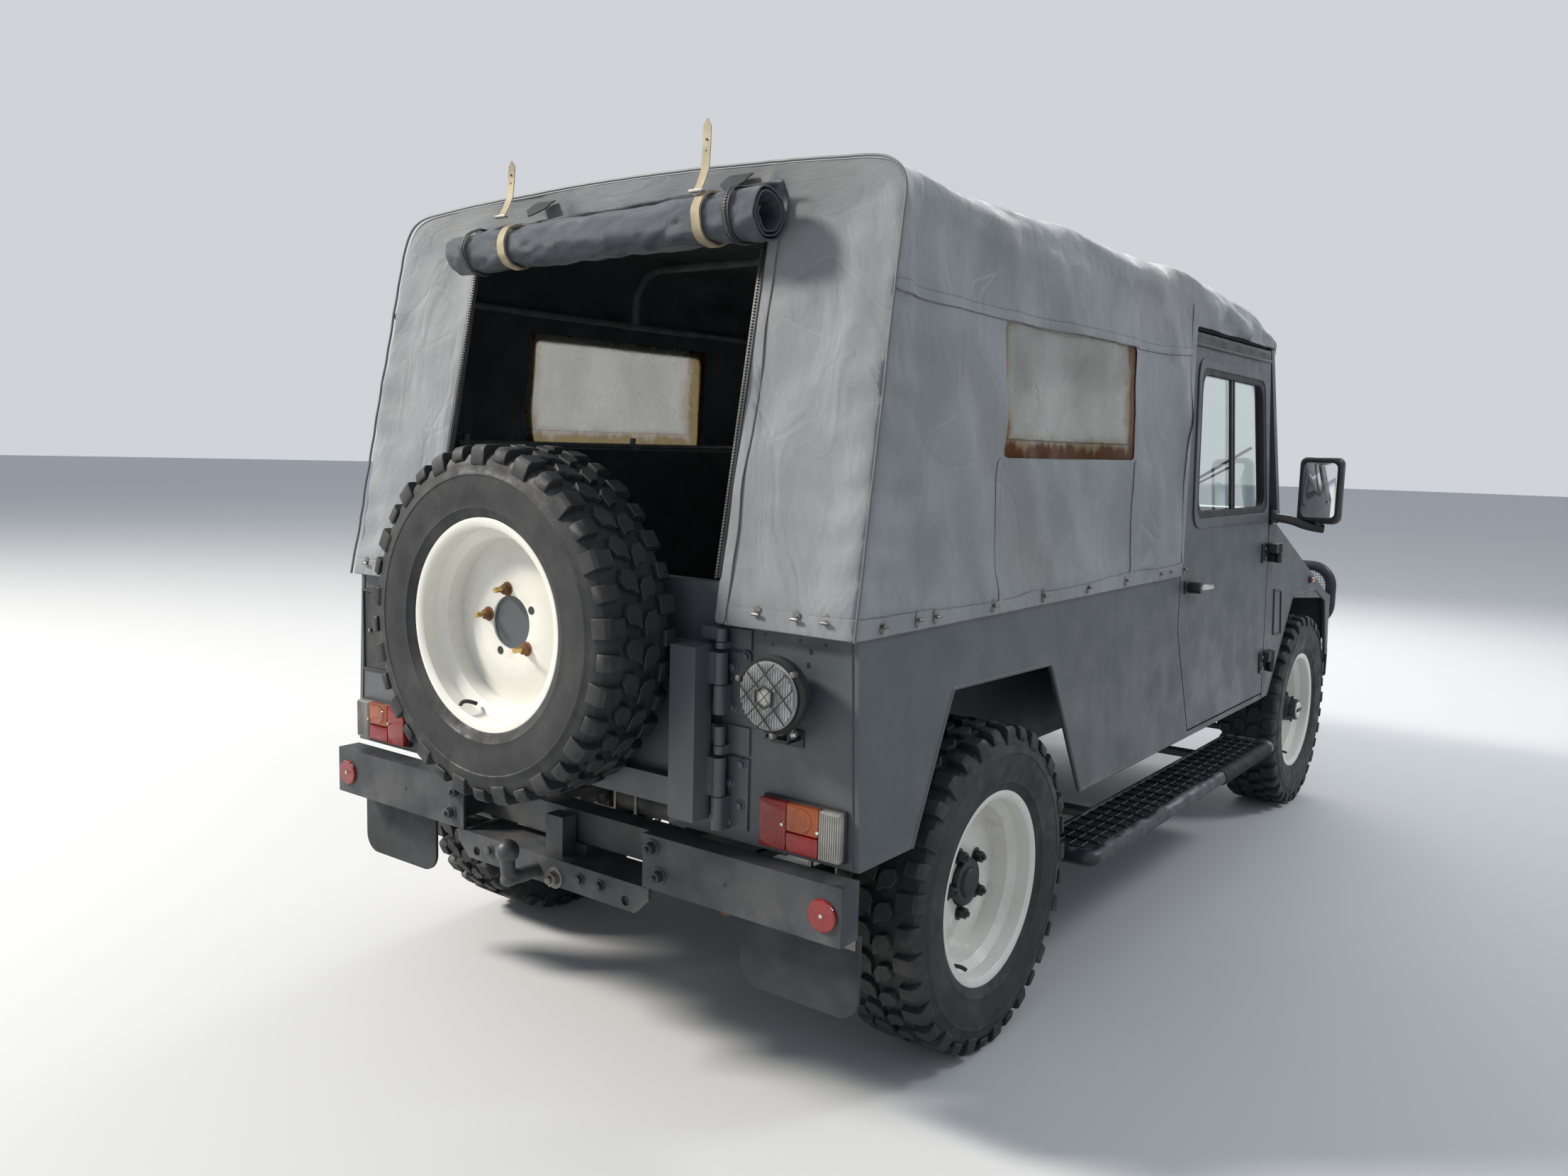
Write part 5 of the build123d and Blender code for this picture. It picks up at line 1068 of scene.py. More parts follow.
def in_pane(row, last_row, column, last_column):
    """The window's cells and one more all round, tucked behind the canvas."""
    return wide_rows(row, last_row) and column >= first_window - 1 and last_column <= last_window + 1


panes = cloth_piece("hood_window_panes", cells(hood, in_pane, -0.0034), [VINYL], 0.0012,
                    replaces=["hood_windows"])

# Bands sewn on the cloth: hems, bindings, seams and window borders
hem_rows, seam_rows = both_sides(HEM_Z, 1.030), both_sides(*SEAM_Z)
all_side_rows = both_sides(HEM_Z, SHOULDER_Z)
below_window = both_sides(HEM_Z, WINDOW_Z[0])
BANDS = {
    "hood_hem": lambda r0, r1, c0, c1: hem_rows(r0, r1) and c0 >= 1,
    "hood_opening_binding": lambda r0, r1, c0, c1: c1 <= 1,
    "hood_side_seam": lambda r0, r1, c0, c1: seam_rows(r0, r1) and CORNER <= c0 and c1 <= DOOR_COLUMN,
    "hood_door_binding": lambda r0, r1, c0,
    c1: all_side_rows(r0, r1) and c0 == DOOR_COLUMN - 1 and c1 == DOOR_COLUMN,
    "hood_window_drops": lambda r0, r1, c0, c1: below_window(r0, r1) and c0 in (first_window - 1, last_window),
}
bands = [cloth_piece(name, cells(hood, test, 0.0022), [CANVAS], 0.002, 1) for name, test in BANDS.items()]


def cloth_line(column):
    """Points up a column of the settled hood, standing a little off the cloth."""
    row_layer, column_layer = hood.verts.layers.int["row"], hood.verts.layers.int["column"]
    hood.normal_update()
    chosen = [(vert[row_layer], vert.co + vert.normal * 0.002)
              for vert in hood.verts if vert.link_faces and vert[column_layer] == column]
    return [place for number, place in sorted(chosen, key=lambda pair: pair[0])]


keep("hood_piping", [(tube(cloth_line(CORNER), 0.0030, 3), PIPING)], BODY)


# Rolled rear curtain: a spiral of cloth that bulges between its two straps
ROLL_RIGHT, ROLL_LEFT = at(-0.512, -0.476, 1.777), at(-0.512, 0.430, 1.757)
ROLL_RADIUS, ROLL_TURNS, ROLL_LAYER, ROLL_FLAT = 0.056, 2.7, 0.0085, 0.97
CURTAIN_WIDTH = 0.93
STRAP_ACROSS = (-0.335, 0.235)


def roll_radius(share, angle):
    """How far the roll's skin is from its middle, at a share of its length and an angle round it."""
    across = ROLL_RIGHT.y + (ROLL_LEFT.y - ROLL_RIGHT.y) * share
    pinch = sum(math.exp(-((across - strap) / 0.030) ** 2) for strap in STRAP_ACROSS)
    around = vec(math.cos(angle), math.sin(angle), 0)
    folds = noise.noise(vec(across * 9.0, around.x * 1.6, around.y * 1.6 + 3.0))
    creases = noise.noise(vec(across * 26.0, around.x * 2.4, around.y * 2.4 + 9.0))
    sharp = abs(noise.noise(vec(across * 13.0 + around.y * 1.5, around.x * 1.3, 5.0)))
    radius = ROLL_RADIUS - 0.007 * share - 0.006 * pinch
    gather = sum(math.exp(-((across - strap) / 0.085) ** 2) * math.sin(angle * 8 + (across - strap) * 45)
                 for strap in STRAP_ACROSS)
    wrinkled = radius + 0.0045 * folds + 0.0022 * creases
    return wrinkled - 0.006 * (0.5 - sharp) * (1 - pinch) + 0.0022 * gather * (1 - pinch)


def curtain_roll():
    shape = bmesh.new()
    around = int(ROLL_TURNS * (64))
    along = 200
    bmesh.ops.create_grid(shape, x_segments=along, y_segments=around, size=1)
    cloth_map = shape.loops.layers.uv.new("cloth")
    places = {}
    for vert in shape.verts:
        share, wind = (vert.co.x + 1) / 2, (vert.co.y + 1) / 2 * ROLL_TURNS
        angle = math.radians(60) - wind * 2 * math.pi
        inner = wind * ROLL_LAYER
        radius = roll_radius(share, angle) - inner
        if wind < 0.16:
            radius += (0.16 - wind) * 0.16
        middle = ROLL_RIGHT.lerp(ROLL_LEFT, share)
        places[vert] = (share * CURTAIN_WIDTH, wind * 0.3)
        vert.co = middle + vec(math.cos(angle) * radius, 0, math.sin(angle) * radius * ROLL_FLAT)
    for face in shape.faces:
        for loop in face.loops:
            loop[cloth_map].uv = places[loop.vert]
    bmesh.ops.recalc_face_normals(shape, faces=shape.faces)
    return shape


roll = cloth_piece("curtain_roll", curtain_roll(), [ROLL], 0.003, 0, ["rear_curtain"])


def ring_on_roll(across, width, thickness, lift):
    """A band round the roll, standing off its skin."""
    steps = 48
    share = (across - ROLL_RIGHT.y) / (ROLL_LEFT.y - ROLL_RIGHT.y)
    middle = ROLL_RIGHT.lerp(ROLL_LEFT, share)
    shape = bmesh.new()
    loops = []
    for outer in (0, thickness):
        for edge in (-width / 2, width / 2):
            ring = []
            for step in range(steps):
                angle = 2 * math.pi * step / steps
                radius = roll_radius(share, angle) + lift + outer
                ring.append(shape.verts.new(middle + vec(math.cos(angle) * radius, edge,
                                                         math.sin(angle) * radius * ROLL_FLAT)))
            loops.append(ring)
    order = (0, 1, 3, 2, 0)
    for first, second in zip(order, order[1:]):
        for step in range(steps):
            after = (step + 1) % steps
            shape.faces.new((loops[first][step], loops[first][after], loops[second][after], loops[second][step]))
    bmesh.ops.recalc_face_normals(shape, faces=shape.faces)
    return shape


def ribbon(points, width, thickness):
    """A flat strap across the car's width, following points and ending in a tip."""
    shape = bmesh.new()
    count = len(points)
    rows = []
    for number, point in enumerate(points):
        half = width / 2 * (0.12 if number == count - 1 else 1)
        before, after = points[max(0, number - 1)], points[min(count - 1, number + 1)]
        out = (Vector(after) - Vector(before)).cross(vec(0, 1, 0)).normalized() * thickness / 2
        rows.append([shape.verts.new(Vector(point) + vec(0, side * half, 0) + face * out)
                     for side, face in ((-1, -1), (1, -1), (1, 1), (-1, 1))])
    for first, second in zip(rows, rows[1:]):

        for k in range(4):
            shape.faces.new((first[k], first[(k + 1) % 4], second[(k + 1) % 4], second[k]))
    shape.faces.new(rows[0])
    shape.faces.new(rows[-1])
    bmesh.ops.recalc_face_normals(shape, faces=shape.faces)
    return shape


straps, tabs = Parts(), Parts()
for across, rise in ((STRAP_ACROSS[0], 0.098), (STRAP_ACROSS[1], 0.080)):
    straps.add(
        STRAP,
        ring_on_roll(across, 0.022, 0.0025, 0.0025),
        ring_on_roll(across, 0.022, 0.0022, 0.0055),
    )
    tail = [at(-0.556, across + 0.004, 1.820), at(-0.541, across + 0.006, 1.842), at(-0.528, across + 0.008, 1.868),
            at(-0.522, across + 0.010, 1.868 + rise * 0.45), at(-0.519, across + 0.012, 1.868 + rise * 0.85),
            at(-0.519, across + 0.013, 1.868 + rise)]
    straps.add(STRAP, ribbon(tail, 0.020, 0.0024))
    straps.add(DULL_STEEL, block(at(-0.562, across - 0.014, 1.818), at(-0.552, across + 0.022, 1.824), 0.001))
    for k in range(3):
        hole = at(-0.5225, across + 0.010, 1.882 + rise * 0.22 * k)
        straps.add(TRIM, wire(hole, hole + vec(-0.0022, 0, 0), 0.0022, 10))
    reach = [at(rear_skin(1.872) - 0.006, across - 0.01, 1.872), at(-0.452, across - 0.01, 1.862),
             at(-0.470, across - 0.012, 1.848), at(-0.492, across - 0.015, 1.831)]
    tabs.add(SOFT_BLACK, ribbon(reach, 0.060, 0.0025))
keep("curtain_straps", straps, BODY)
keep("curtain_tabs", tabs, BODY)


TOOTH_PITCH, TOOTH_SIZE = 0.0062, (0.0042, 0.0026, 0.0030)


def zip_teeth(points):
    """Small blocks along a line, as a zip's teeth."""
    shape = bmesh.new()
    rest, gone = 0.0, 0.0
    for first, second in zip(points, points[1:]):
        run = (second - first).length
        while rest <= gone + run:
            spot = first.lerp(second, (rest - gone) / run)
            made = bmesh.ops.create_cube(shape, size=1)
            turn = (second - first).to_track_quat("Z", "Y").to_matrix().to_4x4()
            bmesh.ops.transform(shape, matrix=Matrix.Translation(spot) @ turn @ Matrix.Diagonal((*TOOTH_SIZE, 1)),
                                verts=made["verts"])
            rest += TOOTH_PITCH
        gone += run
    return shape


zips = Parts()
for share in (0.072, 0.925):
    across = ROLL_RIGHT.y + (ROLL_LEFT.y - ROLL_RIGHT.y) * share
    zips.add(SOFT_BLACK, ring_on_roll(across, 0.017, 0.0018, 0.0018))
    ring = [ROLL_RIGHT.lerp(ROLL_LEFT, share) + vec(math.cos(math.radians(turn)), 0,
                                                    math.sin(math.radians(turn)) * ROLL_FLAT)
            * (roll_radius(share, math.radians(turn)) + 0.0045) for turn in range(0, 361, 6)]
    zips.add(CAST, zip_teeth(ring))
keep("curtain_zips", zips, BODY)

# Zips down both edges of the rear opening, on black tape
opening = Parts()
for side, edge in ((-1, OPENING_RIGHT), (1, OPENING_LEFT)):
    inward = -side
    line = [at(rear_skin(z) - 0.0055, edge + inward * 0.005, z)
            for z in steps([1.078 if side < 0 else 1.0, 1.735], 0.05)]
    opening.add(CAST, zip_teeth(line))
    foot, head = line[0], line[-1]
    tape = [foot + vec(0, -inward * 0.009, 0), foot + vec(0, inward * 0.005, 0),
            head + vec(0, inward * 0.005, 0), head + vec(0, -inward * 0.009, 0)]
    opening.add(TRIM, slab([place + vec(0.0015, 0, 0) for place in tape], (0.0015, 0, 0), 0.0004))
keep("opening_zips", opening, BODY)

# Turn buttons along the hem: an oval plate and a turned knob with a wing
SIDE_BUTTONS = (-0.509, -0.380, -0.312, -0.066, 0.183, 0.438, 0.686, 0.933, 1.011, 1.130)
REAR_BUTTONS = (0.535, 0.626, 0.694)
BUTTON_TALL, BUTTON_WIDE = 0.030, 0.017
SIDE_BUTTON_Z, REAR_BUTTON_Z = 1.010, 1.020


def turn_button(centre, out):
    """A turn button that stands on the cloth, facing out."""
    out = Vector(out).normalized()
    along = out.cross(vec(0, 0, 1)).normalized()
    plate = rod(centre, centre + out * 0.0022, BUTTON_TALL / 2, segments=28, bevel=0.0007)
    turn = Matrix((along, out, along.cross(out))).transposed().to_4x4()
    flat = Matrix.Translation(centre) @ turn @ Matrix.Diagonal((BUTTON_WIDE / BUTTON_TALL, 1, 1, 1))
    bmesh.ops.transform(plate, matrix=flat @ turn.inverted() @ Matrix.Translation(-centre), verts=plate.verts)
    knob = rod(centre + out * 0.002, centre + out * 0.009, 0.0042, segments=16, bevel=0.0008)
    wing = rod(centre + out * 0.009 - along * 0.009, centre + out * 0.009 + along * 0.009, 0.0032, segments=12,
               bevel=0.001)
    return joined(plate, knob, wing)


buttons = Parts()
for side, on in SIDES:
    for ahead in SIDE_BUTTONS:
        spot = on(ahead, canvas_half(SIDE_BUTTON_Z) + 0.0026, SIDE_BUTTON_Z)
        buttons.add(DULL_STEEL, turn_button(spot, (0, side, 0.03)))
    for across in REAR_BUTTONS:
        spot = on(rear_skin(REAR_BUTTON_Z) - 0.0026, across, REAR_BUTTON_Z)
        buttons.add(DULL_STEEL, turn_button(spot, (-1, 0, -0.19)))
keep("hood_buttons", buttons, BODY)

# Tail: lamps, reflectors, work lamp, hinge bolts, panel holes, blank plate, bumper and tow bar bolts
TAIL_X, BUMPER_X = -0.572, -0.631
# finish, inner and outer edge, foot and top of each cell of a tail lamp
LAMP_CELLS = [(RED, 0.552, 0.6155, 0.574, 0.669), (ORANGE, 0.6165, 0.690, 0.614, 0.669),
              (RED, 0.6165, 0.690, 0.574, 0.6125), (CLEAR, 0.691, 0.738, 0.574, 0.669)]
lamp = Parts()
for side, on in SIDES:
    lamp.add(SOFT_BLACK, block(on(TAIL_X - 0.010, 0.549, 0.571), on(TAIL_X, 0.741, 0.672), 0.004))
    for finish, inner, outer, low, high in LAMP_CELLS:
        lamp.add(finish, block(on(TAIL_X - 0.026, inner, low), on(TAIL_X - 0.006, outer, high), 0.004))
    lamp.add(ORANGE,
             spun([(0.0, 0.0), (0.0, 0.023), (0.0016, 0.022), (0.0012, 0.0)], on(TAIL_X - 0.026, 0.653, 0.6415),
                  BACK, 40, False))
    for rib in range(9):
        across = 0.6945 + rib * 0.0050
        lamp.add(CLEAR,
                 block(on(TAIL_X - 0.0278, across, 0.578), on(TAIL_X - 0.0255, across + 0.0024, 0.665), 0.0006, 1))
    for across in (0.609, 0.6905):
        lamp.add(STEEL,
                 rod(on(TAIL_X - 0.024, across, 0.626), on(TAIL_X - 0.0295, across, 0.626), 0.0042, 0.0034, 16,
                     0.0006))
    disc = on(BUMPER_X, 0.730, 0.488)
    lamp.add(RED,
             spun([(0.0, 0.0), (0.0, 0.031), (0.004, 0.031), (0.0065, 0.029), (0.0068, 0.0)], disc, BACK, 40,
                  False))
    lamp.add(STEEL, rod(disc + vec(-0.006, 0, 0), disc + vec(-0.0085, 0, 0), 0.0046, 0.0040, 16, 0.0006))

WORK = at(-0.656, -0.612, 0.881)
housing = [(0.0, 0.0), (0.0, 0.0655), (0.002, 0.0705), (-0.004, 0.0735), (-0.020, 0.0730), (-0.034, 0.0665),
           (-0.056, 0.052), (-0.064, 0.040), (-0.066, 0.0)]
lamp.add(TRIM, spun([(along - 0.004, radius) for along, radius in housing], WORK, BACK, 56, False))
lamp.add(LAMP_GLASS,
         spun([(-0.003, 0.0), (-0.003, 0.064), (0.0, 0.0645), (0.0045, 0.050), (0.007, 0.028), (0.0078, 0.0)], WORK,
              BACK, 56, False))
for step in range(-10, 11):
    reach = math.sqrt(0.061 ** 2 - (step * 0.0058) ** 2)
    lamp.add(LAMP_GLASS,
             block(WORK + vec(-0.0085, step * 0.0058 - 0.0016, -reach),
                   WORK + vec(-0.0045, step * 0.0058 + 0.0016, reach), 0.0008, 1))
for offset in (-0.030, 0.0, 0.030):
    for lean in (-1, 1):
        reach = math.sqrt(0.066 ** 2 - offset ** 2)
        middle = WORK + vec(-0.0125, 0, 0) + vec(0, lean, -1).normalized() * offset
        run = vec(0, 1, lean).normalized() * reach
        lamp.add(TRIM, wire(middle - run, middle + run, 0.0014))
lamp.add(TRIM, *wires([round_x(WORK, -0.015, 0.021, 60 * k + 30) for k in range(6)], 0.0022))
lamp.add(CLEAR, rod(WORK + vec(-0.0075, 0, 0), WORK + vec(-0.0135, 0, 0), 0.0175, segments=6, bevel=0.001))
for turn in (20, 140, 260):
    spot = round_x(WORK, 0.001, 0.073, turn)
    lamp.add(DULL_STEEL, block(spot - vec(0.008, 0.005, 0.005), spot + vec(0.006, 0.005, 0.005), 0.0015))
lamp.add(TRIM, block(at(-0.628, -0.640, 0.792), at(-0.604, -0.584, 0.796), 0.001))
for across in (-0.640, -0.588):
    lamp.add(TRIM, block(at(-0.628, across, 0.792), at(-0.604, across + 0.004, 0.822), 0.001))
lamp.add(STEEL, bolt(at(-0.616, -0.641, 0.808), (0, -1, 0), 0.012, 0.006))
lamp.add(
    TRIM,
    block(at(-0.622, -0.630, 0.786), at(TAIL_X, -0.594, 0.793), 0.0015),
    block(at(TAIL_X - 0.004, -0.636, 0.772), at(TAIL_X, -0.588, 0.806), 0.0015),
)
keep("tail_lamps", lamp, BODY, ["rear_lamps"])

panel = Parts()
for across, height in ((-0.496, 0.930), (-0.466, 0.906), (-0.496, 0.845), (-0.466, 0.826), (-0.491, 0.716),
                       (-0.465, 0.675), (-0.489, 0.633), (-0.465, 0.597)):
    panel.add(PAINT, bolt(at(TAIL_X - 0.005, across, height), BACK, 0.015, 0.006))
for across, height in ((-0.538, 0.978), (-0.556, 0.960), (-0.620, 0.975), (-0.678, 0.973), (0.600, 0.975),
                       (0.660, 0.960)):
    panel.add(TRIM, wire(at(TAIL_X + 0.001, across, height), at(TAIL_X - 0.0006, across, height), 0.0034, 12))
for across, low in ((-0.645, 0.952), (-0.640, 0.926)):
    panel.add(TRIM,
              block(at(TAIL_X - 0.0007, across - 0.0035, low), at(TAIL_X + 0.001, across + 0.0035, low + 0.010),
                    0.0))
for side, on in SIDES:
    seam = [on(TAIL_X - 0.0012, half_width(z) - 0.0135, z) for z in (0.565, 0.985)]
    panel.add(PAINT, wire(seam[0], seam[1], 0.0016))
keep("tail_panel_fixings", panel, BODY)

blank = Parts()
blank.add(TRIM, block(at(TAIL_X - 0.004, 0.500, 0.742), at(TAIL_X - 0.001, 0.742, 0.951), 0.0012))
blank.add(SOFT_BLACK, *wires(framed(TAIL_X - 0.005, (0.506, 0.736), (0.748, 0.945)), 0.0022))
for across in (0.53, 0.71):
    blank.add(DULL_STEEL, bolt(at(TAIL_X - 0.004, across, 0.846), BACK, 0.010, 0.003, False))
keep("rear_plate", blank, BODY)

tow = Parts()
for side, on in SIDES:
    for across, height in ((0.307, 0.521), (0.327, 0.466)):
        tow.add(
            BUMPER_BLACK,
            bolt(on(BUMPER_X, across, height), BACK, 0.024, 0.014),
            rod(on(-0.640, across, height), on(-0.654, across, height), 0.006, segments=14),
        )
    tow.add(TRIM, wire(on(-0.630, 0.498, 0.489), on(-0.6318, 0.498, 0.489), 0.0045, 14))
tow.add(
    DULL_STEEL,
    bolt(at(BUMPER_X, -0.024, 0.391), BACK, 0.030, 0.014),
    rod(at(-0.640, -0.024, 0.391), at(-0.655, -0.024, 0.391), 0.009, segments=16),
)
for across in (-0.16, -0.10, 0.13, 0.19):
    tow.add(BUMPER_BLACK, bolt(at(BUMPER_X, across, 0.405), BACK, 0.018, 0.008))
tow.add(
    BUMPER_BLACK,
    tube([at(-0.712, 0.035, 0.452), at(-0.713, 0.035, 0.428), at(-0.708, 0.035, 0.402), at(-0.680, 0.035, 0.394),
          at(-0.632, 0.035, 0.396)], 0.0165),
    spun([(-0.025, 0.0), (-0.0235, 0.010), (-0.018, 0.0178), (-0.0095, 0.0234), (0.0, 0.0252), (0.0095, 0.0234),
          (0.018, 0.0178), (0.0235, 0.010), (0.025, 0.0)], at(-0.712, 0.035, 0.458), (0, 0, 1), 32, False),
)
keep("tow_fixings", tow, BODY)


def rounded(points, radius):
    """A closed outline with its corners rounded."""
    count = 6
    outline = []
    for before, corner, after in zip(points[-1:] + points[:-1], points, points[1:] + points[:1]):
        before, corner, after = Vector(before), Vector(corner), Vector(after)
        start = corner.lerp(before, radius / (before - corner).length)
        end = corner.lerp(after, radius / (after - corner).length)
        for step in range(count + 1):
            t = step / count
            outline.append(start * (1 - t) ** 2 + corner * 2 * t * (1 - t) + end * t * t)
    return outline


def frame_plate(outer, inner, thickness, bevel=0.001):
    """A flat frame between two outlines with as many points each."""
    shape = bmesh.new()
    rings = [[shape.verts.new(point) for point in outline] for outline in (outer, inner)]
    count = len(outer)
    for k in range(count):
        after = (k + 1) % count
        shape.faces.new((rings[0][k], rings[0][after], rings[1][after], rings[1][k]))
    thicken(shape, thickness)
    return soften(shape, bevel, 1, 50)


def on_skin(side, out):
    """Turns (ahead, height) into a point standing off the body's side."""
    return lambda ahead, height: at(ahead, side * (half_width(height) + out), height)


# Door hinges: the pin's place, how far out the knuckles reach, and each hinge's foot and top
PIN_AHEAD, PIN_ACROSS, KNUCKLE_ACROSS = 2.036, 0.784, 0.7895
DOOR_HINGES = [(0.594, 0.664), (0.978, 1.042)]


def hinge_half(parts, side, height, leaf, knuckle, pin, bolts_ahead):
    """Half a door hinge: a leaf between two places ahead, a knuckle between two corners, a pin and two bolts."""
    skin, out = on_skin(side, 0.0), vec(0, side, 0)
    (foot, top), (start, end) = height, leaf
    outline = [skin(*point) - out * 0.001 for point in ((start, foot), (end, foot), (end, top), (start, top))]
    parts.add(TRIM, slab(outline, out * 0.0075, 0.001), block(*knuckle, 0.001))
    parts.add(TRIM, rod(*[at(PIN_AHEAD, side * PIN_ACROSS, z) for z in pin], 0.0113, bevel=0.001))
    for z in (foot + 0.016, top - 0.016):
        parts.add(DULL_STEEL, bolt(skin(bolts_ahead, z) + out * 0.0062, out, 0.012, 0.004, False))


def loop_on(side, outline, radius, lift):
    """A rounded outline of (ahead, height) points, standing off the body's side."""
    spot = on_skin(side, lift)
    return rounded([spot(*point) for point in outline], radius)


# Window, its inner edge and its raised surround, as (ahead, height)
WINDOW = [(1.250, 1.150), (1.990, 1.150), (1.925, 1.595), (1.278, 1.600)]
WINDOW_INNER = [(1.272, 1.172), (1.968, 1.172), (1.908, 1.575), (1.298, 1.580)]
WINDOW_RIDGE = [(1.224, 1.122), (2.014, 1.122), (1.948, 1.622), (1.254, 1.628)]
for hand, side in (("right", -1), ("left", 1)):
    on = sided(side)
    body = "door_" + hand
    skin = on_skin(side, 0.0)
    out = vec(0, side, 0)
    parts = Parts()
    parts.add(PAINT,
              frame_plate(loop_on(side, WINDOW_RIDGE, 0.066, 0.0005), loop_on(side, WINDOW, 0.045, 0.0005),
                          out * 0.0048, 0.0015))
    seal = [(a + (-0.006 if a < 1.6 else 0.006), h + (-0.006 if h < 1.3 else 0.006)) for a, h in WINDOW]
    parts.add(SOFT_BLACK,
              frame_plate(loop_on(side, seal, 0.058, -0.022), loop_on(side, WINDOW_INNER, 0.052, -0.022),
                          out * 0.024, 0.002))
    glass_skin = on_skin(side, -0.012)
    for ahead, width in ((1.600, 0.017), (1.628, 0.010)):
        foot, head = glass_skin(ahead + 0.010, 1.168), glass_skin(ahead - 0.022, 1.580)
        parts.add(TRIM, slab([foot, foot + vec(width, 0, 0), head + vec(width, 0, 0), head], out * 0.009, 0.0015))
    gutter = [skin(1.205, 1.664), skin(1.985, 1.664), skin(1.983, 1.690), skin(1.202, 1.690)]
    parts.add(TRIM, slab([point + out * 0.0012 for point in gutter], out * -0.003, 0.0))
    parts.add(PAINT,
              tube([skin(1.205, 1.663) + out * 0.004, skin(1.6, 1.6625) + out * 0.004,
                    skin(1.985, 1.663) + out * 0.004], 0.0045))
    grip = skin(1.195, 0.952)
    parts.add(
        TRIM,
        block(grip + vec(-0.030, 0, -0.019) - out * 0.001, grip + vec(0.022, 0, 0.019) + out * 0.006, 0.003),
        rod(grip + out * 0.004, grip + out * 0.0425, 0.0175, 0.0165, 24, 0.002),
    )
    parts.add(STEEL,
              rod(grip + out * 0.034, grip + out * 0.034 + vec(0.1165, 0, -0.004), 0.0098, 0.0092, 18, 0.003))
    for foot, top in DOOR_HINGES:
        middle = (foot + top) / 2 + 0.0015
        knuckle = (skin(1.984, middle) + out * 0.0006, on(2.038, KNUCKLE_ACROSS, top + 0.001))
        hinge_half(parts, side, (foot, top), (1.9505, 1.9955), knuckle, (middle, top + 0.002), 1.966)
    keep("door_fittings_" + hand, parts, body)

fittings, arches = Parts(), Parts()
for side, on in SIDES:
    skin = on_skin(side, 0.0)
    out = vec(0, side, 0)
    for foot, top in DOOR_HINGES:
        middle = (foot + top) / 2 - 0.0005
        knuckle = (skin(2.0345, foot) - vec(0, 0, 0.001), on(2.0575, KNUCKLE_ACROSS, middle))
        hinge_half(fittings, side, (foot, top), (2.0465, 2.0875), knuckle, (foot - 0.002, middle), 2.074)
    recess = [(2.118, 0.712), (2.214, 0.706), (2.206, 0.862), (2.118, 0.872)]
    fittings.add(TRIM, *wires([skin(*point) + out * 0.0016 for point in recess], 0.0028))
    repeater = skin(2.628, 0.872)
    fittings.add(SOFT_BLACK,
                 block(repeater + vec(-0.026, 0, -0.013), repeater + vec(0.026, 0, 0.013) + out * 0.005, 0.003))
    fittings.add(ORANGE,
                 block(repeater + vec(-0.021, 0, -0.0095) + out * 0.004,
                       repeater + vec(0.021, 0, 0.0095) + out * 0.013, 0.004))
    arch = [(-0.383, 0.559), (-0.218, 0.852), (0.254, 0.843), (0.434, 0.500)]
    lip = [skin(*point) + out * 0.001 - out * 0.004 for point in arch]
    arches.add(PAINT, tube(bent(lip, 0.02), 0.0055))
    wing_arch = [(2.060, 0.502), (2.381, 0.835), (2.715, 0.831), (2.872, 0.772), (2.905, 0.548)]
    arches.add(
        PAINT,
        tube(bent([skin(*point) - out * 0.003 for point in wing_arch], 0.02), 0.0055),
        tube([skin(0.434, 0.502) - out * 0.003, skin(1.2, 0.502) - out * 0.003, skin(1.986, 0.502) - out * 0.003],
             0.0055),
    )
    fittings.add(SOFT_BLACK, block(on(1.235, 0.682, 1.7065), on(2.020, 0.712, 1.722), 0.003))
keep("side_fittings", fittings, BODY)
keep("arch_lips", arches, BODY)

# Door mirrors: rounded housings on cast arms
mirrors = Parts()
for side, on in SIDES:
    low, high = on(2.128, 0.805, 1.113), on(2.192, 0.949, 1.345)
    mirrors.add(TRIM, block(low, high, 0.024, 5))
    glass = rounded(framed(2.1265, (side * 0.822, side * 0.934), (1.135, 1.326)), 0.022)
    mirrors.add(MIRROR, slab(glass, (0.003, 0, 0), 0.0006))
    rimmed = rounded(framed(2.1262, (side * 0.812, side * 0.944), (1.125, 1.336)), 0.028)
    mirrors.add(
        TRIM,
        frame_plate(rimmed, glass, (0.006, 0, 0), 0.001),
        tube([on(2.078, 0.744, 1.130), on(2.100, 0.790, 1.128), on(2.140, 0.850, 1.100), on(2.160, 0.895, 1.096)],
             0.0150),
        rod(on(2.155, 0.873, 1.092), on(2.155, 0.873, 1.125), 0.016, 0.020, 20, 0.003),
        block(on(2.052, 0.738, 1.108), on(2.098, 0.752, 1.156), 0.004),
    )
keep("mirror_heads", mirrors, BODY, ["mirrors"])


